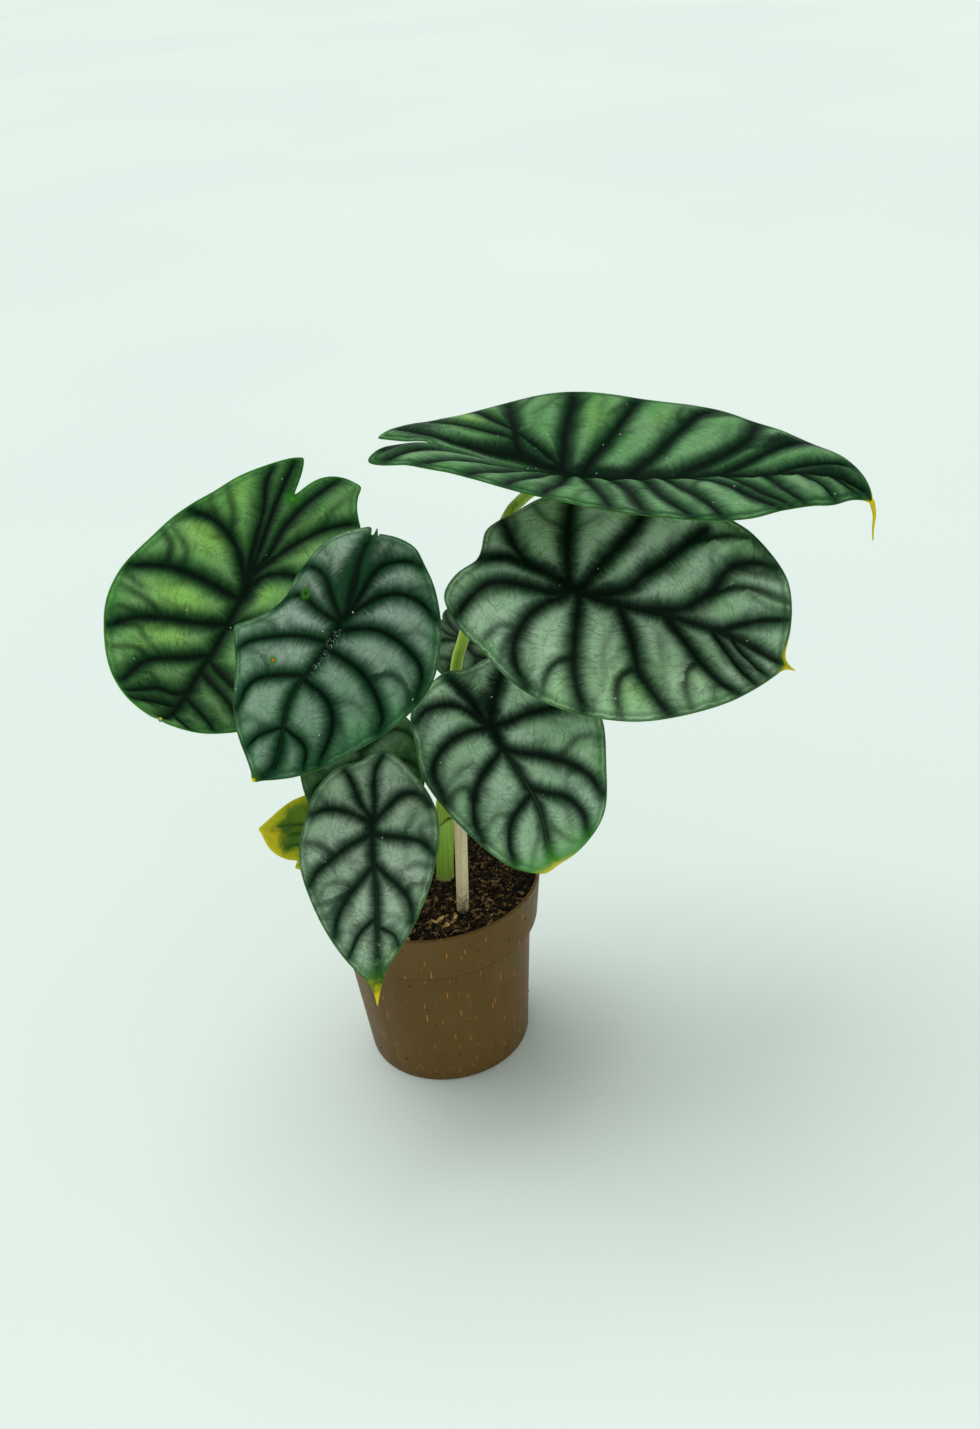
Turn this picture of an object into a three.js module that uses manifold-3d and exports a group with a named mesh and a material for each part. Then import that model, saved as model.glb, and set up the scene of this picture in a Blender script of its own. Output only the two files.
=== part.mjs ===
// A potted alocasia: nine blades on their stalks, growing from potting soil in a tapered
// nursery pot with a collar, with a thin wooden support stake. Millimetres, +Z up.
// The origin is the centre of the pot's underside, on the surface that the pot stands on.
import * as THREE from "three";
import { mergeVertices } from "three/addons/utils/BufferGeometryUtils.js";
import Module from "manifold-3d";

// ---- Driving dimensions ----
const RIM_RADIUS = 60; // outside of the rim: a 12 cm nursery pot
const POT_HEIGHT = 110.9;
const COLLAR_HEIGHT = 29.4; // the wider band under the rim
const COLLAR_FOOT_RADIUS = 56.3;
const BODY_TOP_RADIUS = 52.3; // body just under the collar
const BASE_RADIUS = 45.3;
const WALL = 1.6;
const FLOOR_TOP = 4.4; // inside floor
const RECESS = 2.4; // height of the hollow ring under the base
const PAD_RADIUS = 17; // flat centre of the underside
const DRAIN_RADIUS = 3.2;
const DRAIN_CIRCLE = 27;
const DRAINS = 8;
const ROUND = 40; // facets round the pot

const SOIL_GAP = 0.4;
const SOIL_EDGE = 104.2;
const SOIL_CENTRE = 105.5;
const SOCKET_GAP = 0.4; // round each stalk's foot, which stands in a socket in the soil

const BLADE = 1.2; // blade thickness at the joint
const BLADE_EDGE = 0.8; // and at its margin

const STAKE_RADIUS = 3.2;
const STAKE_FOOT = [13.0, -29.2, 60];
const STAKE_TOP = [22.6, -29.2, 192];

const SHEATH_RADIUS = 5.0;
const SHEATH_BORE = 3.8;
const SHEATH_TOP = 0.165; // share of the tallest stalk that the sheath wraps

const DRIP = { start: 145.4, length: 17, root: 1.5, tip: 0.45 }; // thin tail at the end of the crown blade

// Each blade is a thin curved sheet. "surface" is a grid of points of its middle surface,
// x,y,z after x,y,z, nu rows along the midrib (u) of nv points across it (v), spaced du and dv
// from u0 and v0. The stalk joins at u = v = 0. "outline" is the margin in (u, v), in order
// round the joint. "stalk" is the petiole's centre line from the soil up, and its radii at the
// foot, the middle and the joint.
const LEAVES = [
  {
    name: "crown", // uppermost blade, close to level, with a drip tip
    colour: "#4e8050", rings: 4,
    u0: -116.318, du: 14.269, nu: 21, v0: -88.368, dv: 14.728, nv: 13,
    surface: [-36.3,-62.7,340.4,-32.9,-48.7,346.7,-29.5,-34.7,351.9,-26.2,-20.7,355.9,-23,-6.7,358.8,-19.9,7.4,360.8,-16.8,21.4,360.2,-14,35.3,350.7,-11.3,49.1,347.7,-8.7,63,343.6,-6.1,76.9,338.3,-3.7,90.8,331.9,-1.3,104.8,324.3,-24,-65.3,339.2,-20.1,-51.4,345.5,-16.3,-37.5,350.6,-12.7,-23.6,354.6,-9.2,-9.6,357.5,-6,4.4,358.7,-2.9,18.5,353.3,-0.2,32.3,350.6,2.2,46.2,348.5,4.5,60.2,344.5,6.7,74.2,339.3,8.6,88.2,332.9,10.4,102.3,325.4,-12.4,-68.3,339.9,-7.7,-54.5,345.4,-3.4,-40.6,349.8,0.6,-26.7,353.2,4.3,-12.6,355.4,7.6,1.4,356.1,10.6,15.6,350.7,13.1,29.5,351.1,15.2,43.5,349.1,17,57.6,345.4,18.5,71.8,340.4,19.6,86,334.3,20.4,100.3,327.2,6.3,-72.5,353.9,10.2,-58.5,356.2,13.7,-44.4,357.5,16.8,-30.2,357.7,19.5,-16,356.8,21.8,-1.6,355.7,23.7,12.8,351.4,26.6,27,350.6,29,41.2,349.5,31.1,55.5,347.1,32.8,69.9,343.6,34.1,84.4,339,34.9,99,333.4,22.7,-74.6,357,26.1,-60.7,357.9,29,-46.7,357.8,31.5,-32.6,356.6,33.6,-18.5,354.3,35.2,-4.2,351,36.5,10.1,346.6,40.2,24.2,348.3,43.5,38.4,348.9,46.3,52.7,348.5,48.8,67.1,347,50.8,81.6,344.5,52.4,96.1,340.9,36.2,-76.7,355,39.3,-62.9,355.5,42,-49,354.9,44.4,-35,353.2,46.4,-21,350.5,48.1,-6.9,346.6,49.4,7.3,341.6,53.7,21.2,345.4,57.6,35.1,348.1,61.1,49,349.8,64.3,63.1,350.3,67.1,77.2,349.8,69.5,91.4,348.1,48.4,-79.3,351.6,51.5,-65.5,352.1,54.3,-51.6,351.4,56.8,-37.6,349.6,59,-23.6,346.8,61,-9.6,342.8,62.7,4.5,337.7,66.9,18,343.2,70.9,31.5,347.5,74.7,45.1,350.8,78.1,58.7,353,81.3,72.4,354,84.2,86.1,354,60.8,-82.1,348.3,63.8,-68.3,348.8,66.7,-54.4,348.3,69.3,-40.4,346.6,71.8,-26.4,343.7,74.1,-12.4,339.8,76.2,1.6,334.8,80.2,14.9,341.3,83.9,28.2,346.6,87.5,41.5,350.9,90.9,54.8,354,94.1,68.2,356,97.1,81.6,356.9,73.7,-85.2,345.4,76.8,-71.3,346.1,79.7,-57.3,345.6,82.4,-43.4,344,85,-29.4,341.4,87.5,-15.3,337.6,89.9,-1.3,332.7,93.6,12,339.5,97.1,25.2,345.1,100.5,38.5,349.6,103.8,51.8,353.1,107,65.1,355.4,110,78.5,356.7,86.7,-88.4,342.3,89.7,-74.4,343.2,92.7,-60.4,342.9,95.6,-46.4,341.6,98.3,-32.3,339.2,101,-18.3,335.7,103.6,-4.2,331.2,107,9.2,337.6,110.3,22.6,343,113.6,36,347.4,116.7,49.5,350.6,119.8,62.9,352.8,122.7,76.4,353.9,99.4,-91.6,338.9,102.4,-77.5,340.2,105.4,-63.4,340.5,108.4,-49.4,339.6,111.4,-35.3,337.7,114.4,-21.2,334.7,117.4,-7.1,330.6,120.3,6.5,336.6,123.2,20.2,341.6,126.1,33.8,345.4,129,47.5,348.2,131.9,61.1,349.8,134.8,74.8,350.4,113,-95,334.9,116,-80.9,337,119,-66.7,338,122,-52.5,337.9,125,-38.4,336.7,128.1,-24.2,334.4,131.2,-10.1,330.9,134,3.8,336.5,136.8,17.6,341,139.6,31.4,344.3,142.4,45.1,346.5,145.3,58.9,347.6,148.3,72.7,347.6,126.9,-98.4,330.2,129.9,-84.1,333.3,132.9,-69.9,335.2,135.9,-55.7,336,139,-41.4,335.6,142,-27.2,334,145.1,-13,331.3,147.9,0.9,336.5,150.8,14.7,340.6,153.7,28.6,343.5,156.7,42.4,345.3,159.6,56.3,345.9,162.6,70.2,345.3,140.4,-101.4,324.7,143.6,-87.2,328.9,146.8,-73,331.8,149.9,-58.7,333.5,152.9,-44.5,334,155.9,-30.2,333.2,158.9,-15.9,331.2,162,-2.1,336.1,165.1,11.8,339.7,168.2,25.7,342.1,171.2,39.6,343.2,174.1,53.5,343.1,177,67.5,341.8,155.1,-104.6,319,157.9,-90.2,324.5,160.7,-75.9,328.6,163.6,-61.6,331.3,166.5,-47.4,332.6,169.6,-33.1,332.5,172.7,-18.9,330.9,175.4,-4.8,335.3,178.3,9.2,338.2,181.2,23.3,339.7,184.1,37.3,339.9,187.2,51.3,338.6,190.3,65.2,335.8,168.7,-107.4,312.7,171.6,-93.1,320.1,174.5,-78.8,325.9,177.4,-64.6,330,180.4,-50.3,332.3,183.4,-36,333,186.5,-21.8,332,189.4,-7.6,335.5,192.4,6.5,337.2,195.4,20.6,337.3,198.4,34.7,335.7,201.5,48.8,332.4,204.6,62.9,327.4,177.3,-108.9,295.5,181.9,-95,307.1,186.2,-81.1,316.4,190.2,-67.1,323.4,193.8,-53,328.2,197.2,-38.9,330.7,200.2,-24.7,330.9,203.6,-10.6,333.6,206.7,3.6,334,209.5,17.8,332.1,211.9,32.1,328,214.1,46.5,321.6,215.9,60.9,312.9,167.1,-102.5,258.3,178.2,-90.7,277.7,188,-78.7,294,196.4,-66.3,307.1,203.5,-53.7,317.1,209.2,-40.8,323.9,213.7,-27.6,327.6,218.1,-13.9,331,221.1,-0,331.2,222.9,14.2,328.4,223.3,28.6,322.3,222.3,43.4,313.1,220.1,58.5,300.7,135.3,-88.1,265.7,157,-79.9,279.5,176,-71,291.4,192.2,-61.6,301.3,205.7,-51.6,309.1,216.5,-41,315,224.5,-29.9,318.9,232.1,-17.6,322.4,237,-4.8,323.9,239.1,8.6,323.4,238.5,22.5,320.9,235.1,37.1,316.5,229,52.2,310,122.9,-85.5,298.4,148.9,-78.1,300.1,171.5,-70.1,301.6,190.7,-61.3,302.9,206.6,-51.8,303.9,219.2,-41.6,304.6,228.4,-30.7,305.1,237.1,-18.7,305.6,242.4,-6,305.8,244.4,7.4,305.7,243,21.6,305.4,238.3,36.4,304.8,230.2,52,304,123.9,-85.7,284.3,149.9,-78.3,286,172.5,-70.3,287.5,191.7,-61.5,288.8,207.6,-52,289.8,220.2,-41.8,290.5,229.4,-30.9,291,238.1,-18.9,291.5,243.4,-6.2,291.7,245.4,7.2,291.6,244,21.3,291.3,239.3,36.2,290.7,231.3,51.7,289.9],
    outline: [-71,-0.8,-78.6,-10.8,-89.7,-18.1,-93.8,-27.3,-94.7,-31.5,-93.6,-35.8,-91.4,-36.4,-82.8,-37.7,-72.9,-47.5,-62,-53.9,-40,-57.6,-26.4,-59.2,-2.7,-62.1,20.3,-63.6,42.3,-61.6,63.9,-56.7,84.5,-48,106.4,-34.4,121.2,-21.7,140,-3.5,145.4,0,142.6,1.7,130.4,12.3,114,28.3,95.7,41.7,75.8,52.2,54.7,59.3,29.7,63,7.7,63.2,-16.9,60.6,-40,56.6,-61,49,-78,39,-93,30.5,-99.6,16,-100.2,10.5,-99.5,7.2,-91,5.5,-76,1.9,-70.8,0],
    stalk: { path: [7.5,1.5,101.8,8,1.8,110,9.6,2,125,11.4,2,143,18,3,188.7,26,5,232.2,31.1,7,247.3,43.9,11,280.3,58.3,20,304.4,65.7,26,310.7,76.2,19,320.2,89.4,-0.8,327.6,91.7,-1.5,329.8], radii: [3.4,3.1,2.7] },
  },
  {
    name: "right", // broad blade on the right, tilted to the front
    colour: "#6f9a78", rings: 4,
    u0: -72.239, du: 15.265, nu: 15, v0: -84.031, dv: 16.806, nv: 11,
    surface: [-3.4,-25.2,229.4,-0.8,-27.1,245.9,2.3,-27.5,262.5,5.8,-26.4,278.9,9.8,-23.7,295,14.4,-18.2,309.9,19.7,-2.7,312.3,24.5,13.4,311.6,29.1,29.4,309.3,33.3,45.2,305.4,37.1,60.7,300.1,6.3,-39.3,228.8,10.1,-38.9,245.2,14.2,-37.1,261.3,18.7,-34,277.2,23.5,-29.4,292.7,28.7,-22.5,306.9,34,-7.2,311,38.9,8.8,312.5,43.5,25,312.5,47.8,41.1,311.1,51.7,57.2,308.3,17,-53,229,21.8,-50.3,244.9,26.8,-46.3,260.4,32,-41.1,275.5,37.5,-34.7,290.1,43.1,-26.4,303.5,48.3,-11.6,309.1,53.3,4.1,312.8,58,20,315.2,62.5,36.2,316.3,66.6,52.5,316.1,28.8,-66.1,229.9,34.3,-61,245,40,-54.9,259.6,45.7,-47.7,273.6,51.5,-39.5,287.1,57.4,-29.9,299.5,62.7,-15.7,306.8,67.9,-0.8,312.5,72.8,14.6,317.1,77.4,30.4,320.6,81.8,46.4,323,41.8,-78.3,231.5,47.8,-71.1,245.4,53.8,-62.9,258.8,59.8,-53.8,271.6,65.8,-43.9,283.8,71.7,-33,295.1,77.2,-19.7,303.8,82.5,-5.7,311.5,87.6,8.8,318.2,92.6,23.7,324,97.3,39.1,328.9,56.2,-89.3,233.2,62.3,-80,245.8,68.3,-70,257.9,74.3,-59.2,269.3,80.1,-47.8,280.1,85.9,-35.7,290.3,91.6,-23.5,300.3,97.2,-10.7,309.7,102.7,2.7,318.3,107.9,16.6,326.1,113,30.9,333.2,71.4,-98.4,234.5,77.4,-87.6,246,83.2,-76.2,256.7,89,-64,266.9,94.6,-51.3,276.3,100.1,-38.2,285.3,106,-27.1,296.4,111.9,-15.7,307.2,117.6,-3.5,317.3,123.2,9.2,326.7,128.6,22.6,335.4,87.3,-106.6,236.1,93,-94.5,246.2,98.6,-81.7,255.6,103.9,-68.4,264.3,109.1,-54.5,272.3,114.2,-40.5,280,120.4,-30.7,292.2,126.5,-20.7,304.2,132.6,-10,315.6,138.5,1.5,326.4,144.2,13.6,336.5,104.1,-113.8,237.6,109.4,-100.4,246.3,114.4,-86.5,254.2,119.2,-72.1,261.4,123.7,-57.2,267.9,128.3,-42.5,274.3,134.8,-34,287.3,141.3,-25.6,300.3,147.7,-16.5,312.8,154,-6.5,324.8,160.1,4.2,336.3,122.1,-119.6,238.4,126.7,-105.1,245.7,131,-90.2,252.2,134.9,-74.9,257.9,138.4,-59.3,262.9,142.1,-43.8,268.1,149.1,-36.9,281.6,156.1,-30.3,295.4,163.1,-22.8,308.8,169.9,-14.5,321.7,176.5,-5.4,334.2,141.5,-123.8,238.2,145,-108.4,244.1,148.1,-92.7,249.2,150.9,-76.7,253.6,153.1,-60.5,257.1,155.7,-44.5,261.2,163.3,-39.2,275,171.1,-34.4,289.2,178.7,-28.7,303,186.2,-22.2,316.6,193.5,-14.8,329.8,162.1,-126,236.4,164.3,-110,241.1,165.9,-93.7,245,167.1,-77.3,248.1,167.7,-60.6,250.4,168.9,-44.4,253.6,177.4,-40.6,267.3,186,-37.7,281.4,194.6,-33.9,295.4,203,-29.2,309.1,211.2,-23.6,322.7,183.9,-125.9,232.7,184.3,-109.5,236.3,184.1,-92.9,239.1,183.3,-76.2,241.3,182,-59.5,242.6,181.5,-43.2,245,191,-40.9,258.3,200.8,-39.9,271.9,210.5,-37.9,285.5,220.1,-35.1,299,229.5,-31.2,312.5,206.4,-122.9,226.4,204.6,-106.4,229.3,202.3,-89.9,231.5,199.3,-73.4,232.9,195.7,-57,233.7,193.3,-41,235.6,203.9,-40.1,248,215.1,-40.7,260.5,226.2,-40.5,273.2,237.1,-39.3,285.9,247.8,-37.2,298.7,228.8,-116.6,217.4,224.7,-100.5,219.9,220,-84.5,221.7,214.6,-68.6,222.9,208.5,-52.9,223.4,203.9,-37.4,225.3,215.9,-37.7,236.3,228.5,-39.8,247.2,241,-41.1,258.3,253.4,-41.4,269.7,265.6,-40.9,281.3],
    outline: [-45.2,-1.1,-51.4,-7.3,-55.9,-19.5,-52.5,-24.5,-48.3,-27.4,-37.9,-35.5,-25.9,-42.4,-5.7,-53.8,13.1,-58.9,30,-60.8,52.8,-58.8,66.6,-52.8,82.1,-42,96.7,-24.9,110.8,-6.6,120.5,-1,113.5,2,108.4,11.3,100,27.8,87.1,41.8,72.5,50.1,56.1,55.3,41.4,57.4,21.5,55.2,1.8,52.7,-16.3,52.1,-29.2,44.4,-35.6,37.2,-44.9,22.5,-43.5,12.8,-42.7,5.9,-43.6,1.9],
    stalk: { path: [10,24,101.8,15.6,24.2,124.3,22.2,23.7,147,29.5,22,169.5,37.3,19.2,191.5,45.3,15,212.6,53.4,9.2,232.4,61.3,1.5,250.4,68.9,-8,266.4,75.8,-19.7,279.8,81.9,-33.8,290.3], radii: [3.4,2.9,2.4] },
  },
  {
    name: "low_right", // blade low on the right, above the soil
    colour: "#6f9672", rings: 4,
    u0: -52.132, du: 11.938, nu: 15, v0: -63.775, dv: 12.755, nv: 11,
    surface: [-37.6,-27.2,242.5,-26.1,-22.1,244.9,-14.7,-16.8,246.9,-3.3,-11.3,248.6,8,-5.6,250,19.3,0.1,251.5,30.7,3.6,255.9,42.2,7,260.4,53.6,10.7,264.6,65.1,14.6,268.5,76.6,18.8,272,-32.3,-35.8,235.6,-20.9,-30.7,238,-9.5,-25.4,240.1,1.9,-19.9,241.9,13.1,-14.1,243.3,24.4,-8.4,244.8,35.9,-4.9,249.2,47.3,-1.6,253.7,58.8,2,257.9,70.3,5.9,261.8,81.9,10.1,265.3,-27.1,-44.2,228.5,-15.7,-39.1,230.9,-4.3,-33.8,233,7,-28.2,234.8,18.3,-22.3,236.2,29.6,-16.6,237.8,41,-13.2,242.2,52.5,-9.9,246.7,64,-6.4,250.8,75.5,-2.5,254.7,87.1,1.6,258.3,-21.9,-52.3,221,-10.5,-47.2,223.5,0.9,-41.8,225.6,12.2,-36.2,227.4,23.4,-30.3,228.9,34.7,-24.6,230.5,46.2,-21.2,234.9,57.7,-18,239.3,69.2,-14.5,243.5,80.7,-10.7,247.4,92.3,-6.6,251,-16.7,-60.1,213.3,-5.3,-55,215.7,6,-49.6,217.9,17.3,-44,219.7,28.5,-38.1,221.3,39.7,-32.2,222.9,51.2,-29,227.2,62.8,-25.8,231.7,74.3,-22.4,235.9,85.9,-18.6,239.7,97.4,-14.6,243.3,-11.5,-67.8,205,-0.1,-62.6,207.5,11.2,-57.2,209.7,22.4,-51.5,211.6,33.6,-45.5,213.2,44.7,-39.6,215,56.3,-36.4,219.2,67.9,-33.3,223.6,79.5,-30,227.7,91.1,-26.3,231.6,102.6,-22.3,235.2,-6.3,-74.8,195.8,5.1,-69.6,198.3,16.3,-64.1,200.6,27.5,-58.3,202.7,38.6,-52.2,204.4,49.7,-46.2,206.3,61.3,-43.1,210.5,73,-40.2,214.7,84.6,-37,218.7,96.3,-33.4,222.5,107.9,-29.4,226,-1.2,-80.7,185.4,10.1,-75.5,188.1,21.3,-69.9,190.5,32.4,-64,192.7,43.4,-57.8,194.7,54.4,-51.7,196.8,66.1,-48.8,200.8,77.9,-46,204.8,89.6,-42.9,208.6,101.3,-39.4,212.3,113,-35.5,215.8,3.5,-85,174,14.8,-79.7,176.7,25.9,-74.1,179.3,36.9,-68.1,181.8,47.8,-61.8,184.1,58.7,-55.6,186.4,70.5,-52.8,190.1,82.4,-50.2,193.8,94.3,-47.2,197.4,106.1,-43.8,200.9,117.8,-40,204.3,7.7,-87.2,161.4,18.9,-81.9,164.3,30,-76.2,167.1,40.9,-70.2,169.9,51.6,-63.8,172.6,62.4,-57.6,175.3,74.4,-54.9,178.6,86.4,-52.3,181.9,98.4,-49.4,185.2,110.3,-46.1,188.4,122.1,-42.4,191.6,11,-86.7,148.2,22.2,-81.4,151.3,33.2,-75.7,154.4,44,-69.7,157.5,54.6,-63.3,160.6,65.2,-57.1,163.7,77.4,-54.4,166.6,89.5,-51.9,169.4,101.6,-49,172.3,113.6,-45.7,175.2,125.4,-42,178.2,13,-82.9,135,24.1,-77.7,138.3,35.1,-72.1,141.7,45.8,-66.2,145.2,56.4,-60,148.8,67,-53.9,152.4,79.2,-51.1,154.7,91.4,-48.5,157,103.6,-45.4,159.4,115.6,-42.1,162,127.5,-38.3,164.7,13.3,-75.7,122.9,24.4,-70.6,126.3,35.4,-65.2,130,46.1,-59.6,134,56.7,-53.7,138.1,67.3,-47.9,142.1,79.5,-44.8,143.9,91.8,-41.8,145.6,103.9,-38.5,147.6,116,-35,149.8,127.9,-31.1,152.2,11.7,-65.4,113.2,22.9,-60.4,116.8,33.9,-55.3,120.8,44.7,-50,125,55.3,-44.6,129.6,65.9,-39.3,134.1,78.1,-35.7,135.4,90.3,-32.2,136.6,102.4,-28.5,138.1,114.4,-24.6,139.9,126.3,-20.5,142.1,8.1,-52.5,107.4,19.4,-47.9,111.1,30.5,-43.1,115.2,41.4,-38.4,119.7,52.2,-33.6,124.6,63,-28.8,129.3,75,-24.5,130.3,87,-20.3,131.1,99,-16,132.3,110.8,-11.7,134,122.6,-7.3,136],
    outline: [-36.4,-3.5,-37.2,-8.4,-34,-12,-33.5,-18.8,-28.8,-27.8,-16.2,-36.5,-4.3,-40.5,7.2,-44.5,21,-42.6,36.4,-39.2,57.6,-30.1,71.6,-20.3,81.8,-11.8,97.1,-3.2,90.5,6.9,82,12.5,76.4,18.6,66,28.6,52.6,35.2,31.9,45.2,19.4,49.2,5.5,47,-9.8,41.7,-21.8,33.5,-29.6,22.3,-31.8,6.7,-31.5,4,-33.5,1.7],
    stalk: { path: [8.5,13.8,101.8,11.2,13.4,119.3,14.3,12.3,134.9,17.8,10.3,148.7,21.5,7.3,161,25.3,3.3,172.2,29,-1.7,182.4,32.7,-7.9,192,36,-15.3,201.1,39,-24.1,210.1,41.5,-34.2,219.2], radii: [2.9,2.5,2.1] },
  },
  {
    name: "front_left", // blade at the front left, lobes rolled back
    colour: "#5f8a6e", rings: 4,
    u0: -63.001, du: 11.856, nu: 15, v0: -68.292, dv: 13.658, nv: 11,
    surface: [-33.3,14,332.9,-24.5,4.2,335.7,-15.2,-5.3,337.7,-5.5,-14.5,338.8,4.6,-23.5,339.1,15.1,-31.6,337.8,25.8,-35.6,330.7,36,-38.3,322.4,45.8,-40.3,313.4,55.3,-41.5,304,64.4,-42,294,-39.8,6.7,328.4,-31,-3.1,330.9,-21.7,-12.7,332.5,-12,-22,333.3,-2,-31,333.4,8.5,-39.2,332,19.2,-43.1,324.9,29.5,-45.8,316.7,39.5,-47.7,308,49.2,-49,298.8,58.6,-49.5,289.1,-46.4,-0.3,323.7,-37.5,-10.3,325.7,-28.3,-19.9,327,-18.6,-29.3,327.5,-8.6,-38.3,327.4,1.8,-46.6,325.8,12.6,-50.4,318.8,23,-53,310.8,33.2,-55,302.3,43.2,-56.3,293.3,52.7,-56.9,283.8,-52.9,-7.2,318.6,-44.1,-17.2,320.2,-34.8,-26.9,321.2,-25.2,-36.3,321.4,-15.3,-45.4,321,-4.9,-53.7,319.3,6,-57.5,312.4,16.6,-60.1,304.6,26.9,-62,296.2,37.1,-63.3,287.5,46.9,-64,278.3,-59.5,-13.9,313.3,-50.6,-23.9,314.5,-41.3,-33.7,315,-31.7,-43.1,315,-21.8,-52.2,314.4,-11.5,-60.5,312.6,-0.6,-64.3,305.8,10.1,-66.8,298,20.7,-68.8,289.9,31,-70.2,281.4,41,-70.9,272.5,-66.1,-20.4,307.6,-57.1,-30.4,308.4,-47.8,-40.2,308.6,-38.2,-49.6,308.3,-28.4,-58.7,307.5,-18.1,-67.1,305.5,-7.1,-70.8,298.8,3.7,-73.3,291.2,14.4,-75.3,283.3,24.9,-76.8,275,35.2,-77.6,266.3,-72.4,-26.5,301.2,-63.5,-36.6,301.7,-54.2,-46.4,301.8,-44.7,-55.9,301.3,-34.9,-65,300.3,-24.6,-73.4,298.2,-13.6,-77,291.5,-2.7,-79.5,284.1,8.1,-81.5,276.2,18.7,-82.9,268.1,29.1,-83.7,259.6,-78.6,-32.4,294.3,-69.8,-42.5,294.7,-60.6,-52.3,294.6,-51.1,-61.9,293.9,-41.4,-71.1,292.8,-31.1,-79.4,290.6,-20,-83,284,-9.1,-85.5,276.6,1.8,-87.4,268.9,12.5,-88.7,260.9,23,-89.4,252.5,-84.8,-38,287.2,-76,-48.2,287.4,-66.9,-58.1,287.2,-57.5,-67.6,286.4,-47.8,-76.9,285.1,-37.6,-85.3,282.8,-26.5,-88.8,276.3,-15.4,-91.2,269,-4.5,-93,261.4,6.3,-94.2,253.5,17,-94.9,245.3,-91,-43.3,279.9,-82.3,-53.6,280,-73.2,-63.6,279.5,-63.9,-73.2,278.6,-54.2,-82.4,277.2,-44,-90.8,274.8,-32.8,-94.3,268.4,-21.7,-96.6,261.2,-10.7,-98.4,253.6,0.2,-99.5,245.8,11,-100.1,237.7,-97.1,-48.5,272.4,-88.5,-58.8,272.3,-79.5,-68.8,271.7,-70.2,-78.5,270.6,-60.5,-87.7,269.1,-50.4,-96.2,266.6,-39.1,-99.6,260.2,-27.9,-101.9,253.1,-16.8,-103.5,245.7,-5.8,-104.6,238,5,-105.1,230,-103.2,-53.4,264.7,-94.6,-63.8,264.4,-85.7,-73.8,263.6,-76.4,-83.5,262.4,-66.8,-92.8,260.8,-56.7,-101.2,258.2,-45.4,-104.6,251.8,-34.1,-106.8,244.8,-22.9,-108.4,237.5,-11.9,-109.4,230,-0.9,-109.8,222.1,-109.2,-58.1,256.7,-100.7,-68.6,256.3,-91.8,-78.6,255.4,-82.6,-88.3,254,-73,-97.6,252.2,-62.9,-106,249.6,-51.6,-109.4,243.3,-40.2,-111.6,236.4,-29,-113.1,229.2,-17.8,-114,221.7,-6.8,-114.4,214,-115.2,-62.6,248.6,-106.7,-73.1,248,-97.9,-83.2,246.9,-88.7,-92.9,245.4,-79.2,-102.2,243.5,-69.1,-110.6,240.8,-57.7,-113.9,234.6,-46.3,-116,227.7,-35,-117.5,220.7,-23.7,-118.4,213.3,-12.6,-118.7,205.8,-121.1,-66.9,240.3,-112.7,-77.3,239.5,-103.9,-87.5,238.3,-94.7,-97.2,236.7,-85.3,-106.5,234.6,-75.2,-114.9,231.8,-63.8,-118.2,225.7,-52.3,-120.3,218.9,-40.9,-121.7,212,-29.5,-122.5,204.7,-18.3,-122.7,197.3],
    outline: [-44.6,-3.3,-46.6,-9.6,-39.9,-8.7,-46.2,-13.1,-44.6,-18,-37,-30,-26.2,-35.1,-11.2,-37.1,-2.4,-35.5,13.8,-42.2,20.2,-53.6,28.2,-52.8,33,-47.5,49.7,-35.7,58.2,-31.8,70.7,-16.8,75.6,-9.1,82.9,-1.3,78.3,7.4,67.9,21.3,51.7,32.6,43.2,38.1,25.7,46.5,11.7,50.5,0.8,49.4,-16.8,43,-29.3,34.4,-39.6,23.1,-46.2,14.4,-47.1,11.5,-46.7,7.2],
    stalk: { path: [-8.5,-3,101.8,-11.9,-2,129.9,-14.5,-1.6,157,-16.4,-2.2,182.8,-17.7,-4.3,207,-18.5,-8.1,229.3,-19,-14.1,249.4,-19.3,-22.7,267,-19.4,-34.2,281.8,-19.6,-49.1,293.5,-19.9,-67.7,301.8], radii: [3.3,2.9,2.3] },
  },
  {
    name: "back_left", // large blade behind on the left
    colour: "#5c9150", rings: 4,
    u0: -97.726, du: 17.127, nu: 15, v0: -75.790, dv: 15.158, nv: 11,
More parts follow.
